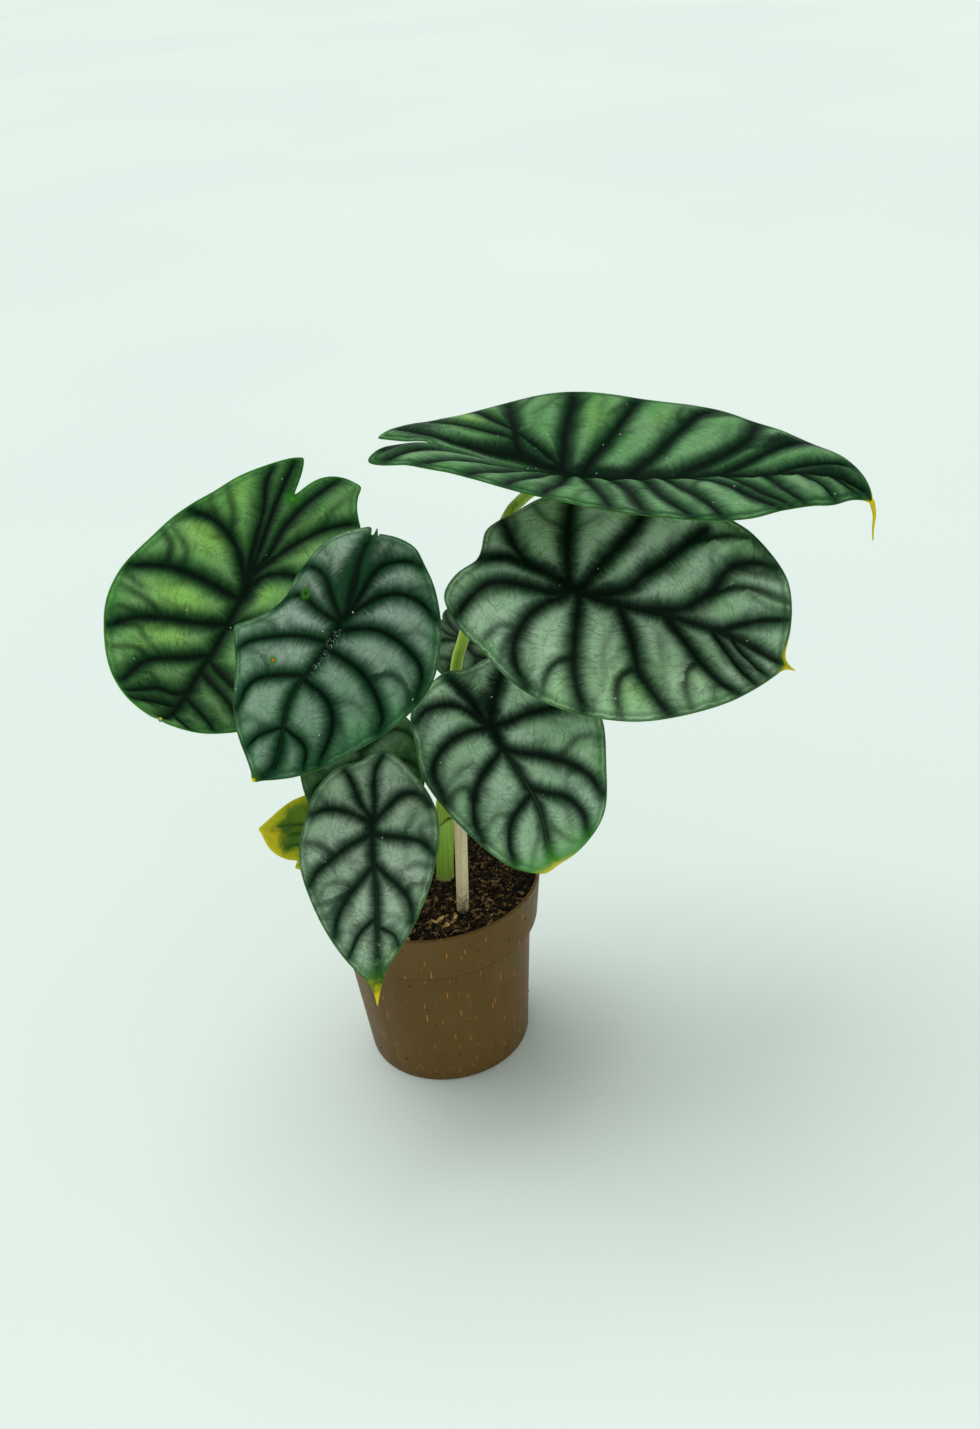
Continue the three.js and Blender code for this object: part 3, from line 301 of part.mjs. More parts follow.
// ---- Pot ----
const collarFoot = POT_HEIGHT - COLLAR_HEIGHT;
const potProfile = [
  [0, 0],
  [PAD_RADIUS, 0],
  [PAD_RADIUS + 1.5, RECESS],
  [36, RECESS],
  [37.5, 0],
  [BASE_RADIUS - 1.0, 0],
  [BASE_RADIUS, 1.0],
  [BODY_TOP_RADIUS, collarFoot],
  [COLLAR_FOOT_RADIUS - 0.8, collarFoot],
  [COLLAR_FOOT_RADIUS, collarFoot + 0.9],
  [RIM_RADIUS - 0.25, POT_HEIGHT - 1.6],
  [RIM_RADIUS, POT_HEIGHT - 0.7],
  [RIM_RADIUS - 0.5, POT_HEIGHT],
  [RIM_RADIUS - 1.5, POT_HEIGHT],
  [RIM_RADIUS - 2.0, POT_HEIGHT - 0.8],
  [COLLAR_FOOT_RADIUS - WALL + 0.3, collarFoot + 2.4],
  [BODY_TOP_RADIUS - WALL, collarFoot - 1.4],
  [BASE_RADIUS - WALL + 0.4, FLOOR_TOP + 1.0],
  [BASE_RADIUS - WALL - 0.6, FLOOR_TOP],
  [0, FLOOR_TOP],
];
let pot = solid(lathe(potProfile, ROUND));
for (let i = 0; i < DRAINS; i++) {
  const drain = new THREE.CylinderGeometry(DRAIN_RADIUS, DRAIN_RADIUS, 12, 14);
  drain.rotateX(Math.PI / 2);
  const t = (2 * Math.PI * (i + 0.5)) / DRAINS;
  drain.translate(DRAIN_CIRCLE * Math.cos(t), DRAIN_CIRCLE * Math.sin(t), 3);
  pot = pot.subtract(solid(drain));
}
add("pot", geometryOf(pot), material("#5c4a37", 0.55));

// ---- Stake ----
const along = new THREE.Vector3(...STAKE_TOP).sub(new THREE.Vector3(...STAKE_FOOT));
function stakeGeometry(radius, point, extra = 0) {
  const length = along.length();
  const g = new THREE.LatheGeometry(
    [
      [0, -extra],
      [point ? 1.0 : radius, -extra],
      [radius, point ? 16 : -extra + 0.01],
      [radius, length - 0.6],
      [radius - 0.5, length],
      [0, length],
    ].map(([r, y]) => new THREE.Vector2(r, y)),
    12,
  );
  g.applyQuaternion(
    new THREE.Quaternion().setFromUnitVectors(new THREE.Vector3(0, 1, 0), along.clone().normalize()),
  );
  g.translate(...STAKE_FOOT);
  return g;
}
add("stake", stakeGeometry(STAKE_RADIUS, true), material("#c9b48c", 0.75));

// ---- Stalks ----
const stalks = LEAVES.map((leaf) => {
  const curve = new THREE.CatmullRomCurve3(points(leaf.stalk.path), false, "centripetal");
  curve.arcLengthDivisions = 400;
  return { leaf, curve, radius: taper(leaf.stalk.radii) };
});

// ---- Soil: fills the pot, with a socket for the stake, the sheath and each stalk ----
const soilProfile = [
  [0, FLOOR_TOP + SOIL_GAP],
  [BASE_RADIUS - WALL - 0.6 - SOIL_GAP, FLOOR_TOP + SOIL_GAP],
  [BASE_RADIUS - WALL + 0.4 - SOIL_GAP, FLOOR_TOP + 1.0 + SOIL_GAP],
  [BODY_TOP_RADIUS - WALL - SOIL_GAP, collarFoot - 1.0],
  [COLLAR_FOOT_RADIUS - WALL + 0.3 - SOIL_GAP, collarFoot + 3.0],
  [57.1, SOIL_EDGE],
  [44, SOIL_EDGE + 0.6],
  [0, SOIL_CENTRE],
];
let soil = solid(lathe(soilProfile, ROUND));
soil = soil.subtract(solid(stakeGeometry(STAKE_RADIUS + SOCKET_GAP, false, 0.6)));
for (const { leaf, curve, radius } of stalks) {
  const r = (leaf.name === "crown" ? SHEATH_RADIUS : radius(0)) + SOCKET_GAP;
  const foot = curve.getPointAt(0);
  const lean = curve.getPointAt(9 / curve.getLength()).sub(foot).normalize();
  const socket = new THREE.CylinderGeometry(r + 0.5, r, 10, 12);
  socket.translate(0, 5 - SOCKET_GAP, 0);
  socket.applyQuaternion(new THREE.Quaternion().setFromUnitVectors(new THREE.Vector3(0, 1, 0), lean));
  socket.translate(foot.x, foot.y, foot.z);
  soil = soil.subtract(solid(socket));
}
add("potting_soil", geometryOf(soil), material("#2a2018", 0.95));

// ---- Stalks, sheath and blades ----
for (const { leaf, curve, radius } of stalks) {
  const steps = leaf.name === "crown" ? 20 : Math.round(Math.max(8, curve.getLength() / 14));
  add("petiole_" + leaf.name, rod(curve, radius, steps, 8), material(leaf.name === "old" ? "#8f9c2c" : "#7ea326", 0.45));
  if (leaf.name === "crown") {
    const wrap = [];
    for (let i = 0; i <= 12; i++) wrap.push(curve.getPointAt((SHEATH_TOP * i) / 12));
    const sleeve = new THREE.CatmullRomCurve3(wrap, false, "centripetal");
    const flare = (t) => SHEATH_RADIUS * (t < 0.12 ? 1.0 : 1.0 - 0.05 * t);
    add("petiole_sheath", rod(sleeve, flare, 6, 12, SHEATH_BORE / SHEATH_RADIUS), material("#86a548", 0.5));
  }
}
for (const leaf of LEAVES) {
  let g = bladeGeometry(leaf);
  if (leaf.name === "crown") {
    // The drip tip turns from the end of the midrib to hang straight down.
    const { along } = bladeFrame(leaf, DRIP.start, 0);
    const down = new THREE.Vector3(0, 0, -1);
    const tail = [];
    const at = bladePoint(leaf, DRIP.start - 3, 0);
    const steps = 10;
    tail.push(at.clone());
    for (let i = 0; i < steps; i++) {
      const d = (DRIP.length + 3) / steps;
      const way = along.clone().lerp(down, Math.min(i * 0.28, 1)).normalize();
      at.addScaledVector(way, d);
      tail.push(at.clone());
    }
    const thread = rod(new THREE.CatmullRomCurve3(tail), (s) => DRIP.root + (DRIP.tip - DRIP.root) * s, 8, 6);
    g = geometryOf(solid(g).add(solid(thread)));
  }
  add("leaf_" + leaf.name, g, material(leaf.colour, 0.4));
}

export default part;
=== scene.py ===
"""Looks for a potted alocasia: nine quilted blades on their petioles, in potting soil in a
brown nursery pot, with a wooden stake. Lengths in the tables are millimetres, in the CAD's frame:
the origin is the centre of the pot's underside, +Z is up, and -Y is towards the camera."""

import bpy
import numpy as np
from mathutils import Matrix, Vector
from mathutils.geometry import delaunay_2d_cdt


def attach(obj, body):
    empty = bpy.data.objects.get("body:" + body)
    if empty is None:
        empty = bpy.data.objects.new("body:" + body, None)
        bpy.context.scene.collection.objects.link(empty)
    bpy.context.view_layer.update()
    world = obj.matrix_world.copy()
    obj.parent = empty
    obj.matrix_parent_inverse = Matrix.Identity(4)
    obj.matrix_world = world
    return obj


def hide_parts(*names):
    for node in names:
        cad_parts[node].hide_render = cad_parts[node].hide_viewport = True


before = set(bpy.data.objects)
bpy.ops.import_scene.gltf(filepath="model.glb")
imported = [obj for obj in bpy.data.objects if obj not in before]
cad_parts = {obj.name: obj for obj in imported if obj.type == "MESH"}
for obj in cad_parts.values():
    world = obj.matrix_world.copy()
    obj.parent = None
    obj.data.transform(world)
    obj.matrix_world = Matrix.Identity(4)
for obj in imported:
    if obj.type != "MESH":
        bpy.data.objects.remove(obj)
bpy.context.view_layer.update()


CAMERA = {
    "at": [40.915, -665.641, 597.615],
    "right": [0.995015, -0.050528, -0.085973],
    "up": [0.099722, 0.504166, 0.85783],
    "forward": [0, 0.862128, -0.506691],
}

RIM_RADIUS, POT_HEIGHT, COLLAR_HEIGHT = 60.0, 110.9, 29.4
COLLAR_FOOT_RADIUS, BODY_TOP_RADIUS, BASE_RADIUS = 56.3, 52.3, 45.3
STAKE_RADIUS, STAKE_FOOT, STAKE_TOP = 3.2, [13.0, -29.2, 60], [22.6, -29.2, 192]
SHEATH_TOP = 0.165
DRIP_START = 145.4

# Blades. surface: a grid of points of the middle surface, as in the CAD; outline: the margin in (u, v);
# midrib, veins and subs: lines in (u, v) on the blade; stalk: the petiole's centre line and its radii.
LEAVES = {
    "crown": {
        "u0": -116.318, "du": 14.2688, "nu": 21, "v0": -88.368, "dv": 14.7280, "nv": 13, "Lf": 145.4,
        "surface": [-36.34, -62.68, 340.38, -32.87, -48.71, 346.7, -29.48, -34.72, 351.88, -26.19, -20.71, 355.91, -22.98, -6.69, 358.81, -19.85, 7.35, 360.82, -16.81, 21.42, 360.23, -14.02, 35.26, 350.7, -11.31, 49.13, 347.7, -8.69, 63.01, 343.57, -6.15, 76.91, 338.29, -3.7, 90.83, 331.86, -1.34, 104.76, 324.3, -24.01, -65.3, 339.21, -20.06, -51.43, 345.48, -16.28, -37.53, 350.61, -12.67, -23.59, 354.61, -9.24, -9.61, 357.47, -5.99, 4.41, 358.68, -2.9, 18.46, 353.29, -0.25, 32.33, 350.61, 2.23, 46.25, 348.47, 4.54, 60.2, 344.53, 6.67, 74.18, 339.3, 8.63, 88.21, 332.94, 10.42, 102.27, 325.44, -12.39, -68.27, 339.87, -7.73, -54.47, 345.39, -3.41, -40.6, 349.82, 0.59, -26.66, 353.15, 4.27, -12.65, 355.39, 7.61, 1.43, 356.14, 10.63, 15.58, 350.72, 13.08, 29.53, 351.12, 15.2, 43.55, 349.15, 16.99, 57.64, 345.35, 18.46, 71.79, 340.39, 19.6, 86.02, 334.34, 20.41, 100.32, 327.19, 6.33, -72.49, 353.9, 10.23, -58.49, 356.23, 13.73, -44.4, 357.49, 16.82, -30.23, 357.69, 19.51, -15.97, 356.82, 21.79, -1.62, 355.65, 23.66, 12.81, 351.38, 26.55, 26.96, 350.58, 29.05, 41.18, 349.47, 31.13, 55.5, 347.06, 32.81, 69.9, 343.59, 34.08, 84.39, 339.04, 34.94, 98.96, 333.43, 22.73, -74.57, 356.95, 26.06, -60.68, 357.89, 28.98, -46.7, 357.76, 31.48, -32.64, 356.57, 33.56, -18.48, 354.31, 35.23, -4.24, 350.99, 36.48, 10.09, 346.61, 40.18, 24.21, 348.31, 43.46, 38.42, 348.94, 46.32, 52.71, 348.52, 48.77, 67.1, 347.03, 50.8, 81.58, 344.47, 52.41, 96.14, 340.86, 36.18, -76.73, 355.04, 39.28, -62.91, 355.52, 42.03, -49.01, 354.92, 44.41, -35.04, 353.23, 46.44, -20.99, 350.45, 48.11, -6.86, 346.59, 49.42, 7.34, 341.65, 53.67, 21.16, 345.44, 57.56, 35.07, 348.15, 61.09, 49.05, 349.77, 64.26, 63.1, 350.3, 67.07, 77.23, 349.75, 69.53, 91.44, 348.12, 48.43, -79.28, 351.6, 51.49, -65.46, 352.06, 54.27, -51.58, 351.4, 56.78, -37.64, 349.64, 59.02, -23.65, 346.76, 60.99, -9.59, 342.77, 62.68, 4.52, 337.67, 66.95, 17.97, 343.16, 70.94, 31.49, 347.55, 74.66, 45.06, 350.82, 78.11, 58.69, 352.98, 81.29, 72.38, 354.03, 84.2, 86.12, 353.97, 60.77, -82.12, 348.28, 63.81, -68.26, 348.82, 66.66, -54.36, 348.25, 69.33, -40.42, 346.56, 71.81, -26.44, 343.75, 74.11, -12.42, 339.82, 76.21, 1.64, 334.78, 80.16, 14.88, 341.26, 83.92, 28.15, 346.62, 87.49, 41.46, 350.87, 90.88, 54.82, 353.99, 94.07, 68.21, 356, 97.09, 81.64, 356.9, 73.71, -85.19, 345.45, 76.75, -71.28, 346.07, 79.65, -57.33, 345.6, 82.42, -43.36, 344.03, 85.04, -29.36, 341.36, 87.53, -15.32, 337.6, 89.89, -1.26, 332.74, 93.58, 11.95, 339.47, 97.13, 25.2, 345.1, 100.55, 38.47, 349.63, 103.82, 51.78, 353.07, 106.97, 65.11, 355.42, 109.97, 78.48, 356.67, 86.69, -88.38, 342.34, 89.74, -74.4, 343.17, 92.69, -60.39, 342.92, 95.56, -46.37, 341.6, 98.34, -32.33, 339.2, 101.02, -18.26, 335.72, 103.62, -4.18, 331.16, 107.03, 9.2, 337.64, 110.34, 22.6, 343.05, 113.57, 36.02, 347.37, 116.71, 49.46, 350.62, 119.76, 62.92, 352.79, 122.71, 76.4, 353.88, 99.43, -91.62, 338.86, 102.42, -77.53, 340.2, 105.42, -63.45, 340.45, 108.41, -49.36, 339.62, 111.41, -35.28, 337.71, 114.41, -21.2, 334.71, 117.42, -7.12, 330.62, 120.3, 6.54, 336.64, 123.19, 20.19, 341.57, 126.08, 33.84, 345.41, 128.98, 47.49, 348.17, 131.87, 61.15, 349.84, 134.77, 74.8, 350.43, 113.04, -95.04, 334.91, 115.99, -80.86, 337.03, 118.96, -66.68, 338.04, 121.98, -52.51, 337.93, 125.03, -38.35, 336.71, 128.12, -24.2, 334.39, 131.24, -10.05, 330.95, 133.99, 3.76, 336.51, 136.77, 17.56, 340.95, 139.59, 31.36, 344.29, 142.45, 45.15, 346.51, 145.34, 58.93, 347.62, 148.26, 72.7, 347.63, 126.93, -98.38, 330.21, 129.91, -84.14, 333.29, 132.92, -69.91, 335.22, 135.93, -55.67, 335.98, 138.96, -41.44, 335.58, 142, -27.22, 334.03, 145.06, -12.99, 331.31, 147.94, 0.87, 336.54, 150.84, 14.73, 340.61, 153.75, 28.59, 343.52, 156.67, 42.45, 345.26, 159.61, 56.3, 345.85, 162.56, 70.15, 345.28, 140.44, -101.42, 324.67, 143.64, -87.2, 328.88, 146.78, -72.97, 331.83, 149.88, -58.72, 333.54, 152.93, -44.47, 334, 155.93, -30.2, 333.2, 158.88, -15.93, 331.15, 162.03, -2.05, 336.05, 165.12, 11.83, 339.7, 168.18, 25.73, 342.1, 171.18, 39.63, 343.24, 174.13, 53.55, 343.14, 177.04, 67.47, 341.78, 155.14, -104.57, 318.95, 157.88, -90.25, 324.48, 160.69, -75.94, 328.6, 163.58, -61.65, 331.3, 166.54, -47.37, 332.59, 169.58, -33.11, 332.47, 172.69, -18.86, 330.93, 175.44, -4.81, 335.29, 178.26, 9.24, 338.22, 181.16, 23.26, 339.75, 184.13, 37.27, 339.86, 187.17, 51.27, 338.56, 190.3, 65.25, 335.85, 168.74, -107.42, 312.67, 171.6, -93.13, 320.14, 174.49, -78.84, 325.91, 177.43, -64.57, 329.97, 180.4, -50.3, 332.34, 183.42, -36.04, 333.01, 186.47, -21.79, 331.98, 189.4, -7.65, 335.46, 192.36, 6.49, 337.23, 195.36, 20.62, 337.31, 198.4, 34.74, 335.69, 201.48, 48.85, 332.37, 204.6, 62.95, 327.35, 177.31, -108.86, 295.54, 181.91, -95, 307.11, 186.2, -81.08, 316.41, 190.17, -67.09, 323.44, 193.84, -53.03, 328.21, 197.2, -38.91, 330.7, 200.25, -24.72, 330.93, 203.63, -10.61, 333.6, 206.7, 3.56, 334.01, 209.46, 17.8, 332.14, 211.91, 32.1, 328.01, 214.05, 46.48, 321.61, 215.88, 60.91, 312.94, 167.09, -102.53, 258.3, 178.19, -90.75, 277.73, 187.95, -78.68, 294.01, 196.38, -66.33, 307.13, 203.48, -53.69, 317.1, 209.24, -40.78, 323.92, 213.67, -27.57, 327.58, 218.07, -13.95, 330.99, 221.15, -0.03, 331.25, 222.88, 14.16, 328.35, 223.28, 28.64, 322.3, 222.35, 43.41, 313.1, 220.08, 58.46, 300.74, 135.32, -88.12, 265.7, 157.03, -79.86, 279.54, 176, -71.03, 291.4, 192.22, -61.61, 301.26, 205.71, -51.61, 309.14, 216.45, -41.03, 315.03, 224.45, -29.87, 318.94, 232.07, -17.64, 322.42, 236.95, -4.84, 323.92, 239.09, 8.55, 323.43, 238.48, 22.53, 320.95, 235.14, 37.08, 316.48, 229.05, 52.22, 310.02, 122.91, -85.48, 298.35, 148.87, -78.13, 300.11, 171.47, -70.07, 301.62, 190.73, -61.3, 302.88, 206.63, -51.81, 303.88, 219.18, -41.61, 304.63, 228.38, -30.7, 305.13, 237.07, -18.71, 305.57, 242.41, -6, 305.76, 244.4, 7.43, 305.7, 243.03, 21.56, 305.38, 238.31, 36.41, 304.81, 230.24, 51.97, 303.99, 123.92, -85.69, 284.27, 149.88, -78.34, 286.03, 172.49, -70.28, 287.53, 191.74, -61.51, 288.79, 207.65, -52.03, 289.79, 220.2, -41.83, 290.54, 229.4, -30.92, 291.04, 238.09, -18.92, 291.48, 243.43, -6.21, 291.67, 245.41, 7.21, 291.61, 244.05, 21.34, 291.29, 239.33, 36.19, 290.72, 231.26, 51.75, 289.9],
        "outline": [-71, -0.8, -74.5, -4.5, -78.6, -10.8, -81.5, -13.2, -85.6, -15.7, -89.7, -18.1, -92.2, -22.1, -93.8, -27.3, -94.7, -31.5, -94.6, -33.8, -93.6, -35.8, -91.4, -36.4, -87.5, -36.2, -82.8, -37.7, -77.9, -41.8, -72.9, -47.5, -68.1, -51.8, -62, -53.9, -55, -55.3, -48, -56.4, -40, -57.6, -35.7, -57.5, -31, -58.4, -26.4, -59.2, -21.7, -59.9, -16.9, -60.6, -12.2, -61.1, -7.4, -61.6, -2.7, -62.1, 1.4, -62.6, 4.5, -62.9, 7.7, -63.2, 10.8, -63.5, 14, -63.6, 17.1, -63.6, 20.3, -63.6, 23.4, -63.5, 26.6, -63.3, 29.7, -63, 32.9, -62.7, 36, -62.4, 39.2, -62, 42.3, -61.6, 45.4, -61.1, 48.5, -60.6, 51.7, -60, 54.7, -59.3, 57.8, -58.5, 60.9, -57.7, 63.9, -56.7, 66.9, -55.7, 69.9, -54.6, 72.9, -53.4, 75.8, -52.2, 78.7, -50.8, 81.6, -49.5, 84.5, -48, 87.3, -46.5, 90.2, -45, 92.9, -43.4, 95.7, -41.7, 98.4, -40, 101.1, -38.2, 103.8, -36.3, 106.4, -34.4, 109, -32.4, 111.5, -30.4, 114, -28.3, 116.4, -26.2, 118.8, -23.9, 121.2, -21.7, 123.5, -19.4, 125.8, -17, 128.1, -14.7, 130.4, -12.3, 132.7, -10, 135, -7.7, 137.5, -5.6, 140, -3.5, 142.6, -1.7, 145.4, 0, 142.6, 1.7, 140, 3.5, 137.5, 5.6, 135, 7.7, 132.7, 10, 130.4, 12.3, 128.1, 14.7, 125.8, 17, 123.5, 19.4, 121.2, 21.7, 118.8, 23.9, 116.4, 26.2, 114, 28.3, 111.5, 30.4, 109, 32.4, 106.4, 34.4, 103.8, 36.3, 101.1, 38.2, 98.4, 40, 95.7, 41.7, 92.9, 43.4, 90.2, 45, 87.3, 46.5, 84.5, 48, 81.6, 49.5, 78.7, 50.8, 75.8, 52.2, 72.9, 53.4, 69.9, 54.6, 66.9, 55.7, 63.9, 56.7, 60.9, 57.7, 57.8, 58.5, 54.7, 59.3, 51.7, 60, 48.5, 60.6, 45.4, 61.1, 42.3, 61.6, 39.2, 62, 36, 62.4, 32.9, 62.7, 29.7, 63, 26.6, 63.3, 23.4, 63.5, 20.3, 63.6, 17.1, 63.6, 14, 63.6, 10.8, 63.5, 7.7, 63.2, 4.5, 62.9, 1.4, 62.6, -2.7, 62.1, -7.4, 61.6, -12.2, 61.1, -16.9, 60.6, -21.7, 59.9, -26.4, 59.2, -31, 58.4, -35.7, 57.5, -40, 56.6, -48, 54.5, -55, 52, -61, 49, -66.5, 45.6, -72, 42, -78, 39, -84, 36.5, -89, 34, -93, 30.5, -96, 26.5, -98.2, 21.5, -99.6, 16, -100.2, 10.5, -99.5, 7.2, -96, 6, -91, 5.5, -86, 4.8, -81, 3.6, -76, 1.9, -70.8, 0],
        "midrib": [-20.6, -12.6, 0, 0, 16.7, -0.1, 42.7, 0, 68.3, 0, 82.2, -0.1, 98.2, 0, 111.9, 0, 125.9, 0, 135.1, 0.1, 145.8, 0.7],
        "veins": [([-3, 1.5, -15, 5, -27.7, 9.5, -34, 25, -37.7, 35, -41.8, 50], 3.4, 3), ([-5.5, 2, -7.7, 20, -8.2, 33, -7.7, 50, -8.5, 57], 3.9, 3.2), ([3.3, 2, 8.2, 13.3, 13.2, 23.3, 17.3, 33.3, 21.5, 45, 24.8, 56], 3.4, 2.8), ([26.5, 2, 32.3, 9.2, 39, 16.7, 44, 25, 51, 36.7, 56.5, 46.7, 63, 53.5], 3.6, 2.8), ([50.7, 2, 64, 10, 74, 18.3, 81.5, 28.3, 84.8, 40, 86, 47], 3.8, 3.6), ([70.7, 2, 84, 11.7, 92.3, 18.3, 102, 25, 109, 30], 2.8, 2.4), ([95.7, 1.5, 107, 6.5, 118, 9.5, 126, 11], 2.2, 1.3), ([-27, 10, -34, 19, -45, 23, -56, 26, -66, 28.5], 2, 1.4), ([-8, 2.5, -26, 7, -45, 7.2, -60, 8, -74, 11, -83, 16], 3.6, 2.2), ([-34, 25, -46, 34, -55, 44, -58, 50], 1.6, 1.6), ([-3, -3, -3, -18, -4, -38, -8, -54], 2.6, 2), ([3, -3, 8, -18, 13, -36, 19, -52], 2.6, 2), ([16, -2, 22, -16, 30, -38, 37, -57], 2.8, 2), ([30, -2, 37, -20, 44, -38, 54, -51], 2.8, 2), ([43, -3, 48, -15, 55, -28, 67, -46], 2.4, 1.8), ([55, -1.5, 66, -13, 79, -24, 94, -38.5], 2.6, 1.8), ([71, -1.5, 82, -16, 90, -27, 99, -35], 2.3, 1.6), ([89.5, -1, 97, -20, 105, -30], 2.1, 1.5), ([105.5, -0.5, 111, -8, 120, -17], 1.8, 1.2), ([119, -1, 128, -4.5, 135, -5], 1.3, 0.9), ([-5, -3, -25, -13, -45, -25, -60, -38, -66, -44], 2.6, 2), ([-12, -2.5, -36, -7, -60, -15, -78, -28], 3, 2.2), ([-5, -5, -14, -22, -22, -40, -26, -52], 2.2, 1.8), ([-8, -5, -26, -22, -38, -40, -44, -50], 2.2, 1.8), ([-40, -9, -62, -7, -80, -14, -88, -22], 2.2, 1.6)],
        "subs": [([7.5, 12, 8, 30, 8.3, 52], 0.25), ([41, 23, 43, 38, 47.5, 52], 0.35), ([81, 20.5, 91, 22, 103, 35], 0.6), ([-16, 54, -20, 47, -24, 42], 0.4), ([0, 56, -4, 50, -7, 44], 0.5), ([22, 56, 17, 50, 13, 44], 0.5), ([51, 36, 47, 45, 49, 53], 0.6), ([56, 47, 62, 46, 72, 49], 0.6), ([75, 19, 78, 26, 77, 36], 0.3), ([-30, 56, -33, 48, -37, 42], 0.5), ([15, -42, 9, -48, 7, -54], 0.5), ([36, -30, 30, -38, 31, -50], 0.5), ([60, -12, 57, -24, 62, -36], 0.6), ([80, -14, 78, -24, 84, -34], 0.5), ([-6, -46, -14, -50, -18, -55], 0.4), ([22, -18, 18, -30, 22, -44], 0.5)],
        "stalk": {"path": [7.5, 1.5, 101.8, 8, 1.8, 110, 9.6, 2, 125, 11.4, 2, 143, 18, 3, 188.7, 26, 5, 232.2, 31.1, 7, 247.3, 43.9, 11, 280.3, 58.3, 20, 304.4, 65.7, 26, 310.7, 76.2, 19, 320.2, 89.4, -0.8, 327.6, 91.7, -1.5, 329.8], "radii": [3.4, 3.1, 2.7]},
    },
    "right": {
        "u0": -72.239, "du": 15.2645, "nu": 15, "v0": -84.031, "dv": 16.8063, "nv": 11, "Lf": 119.9,
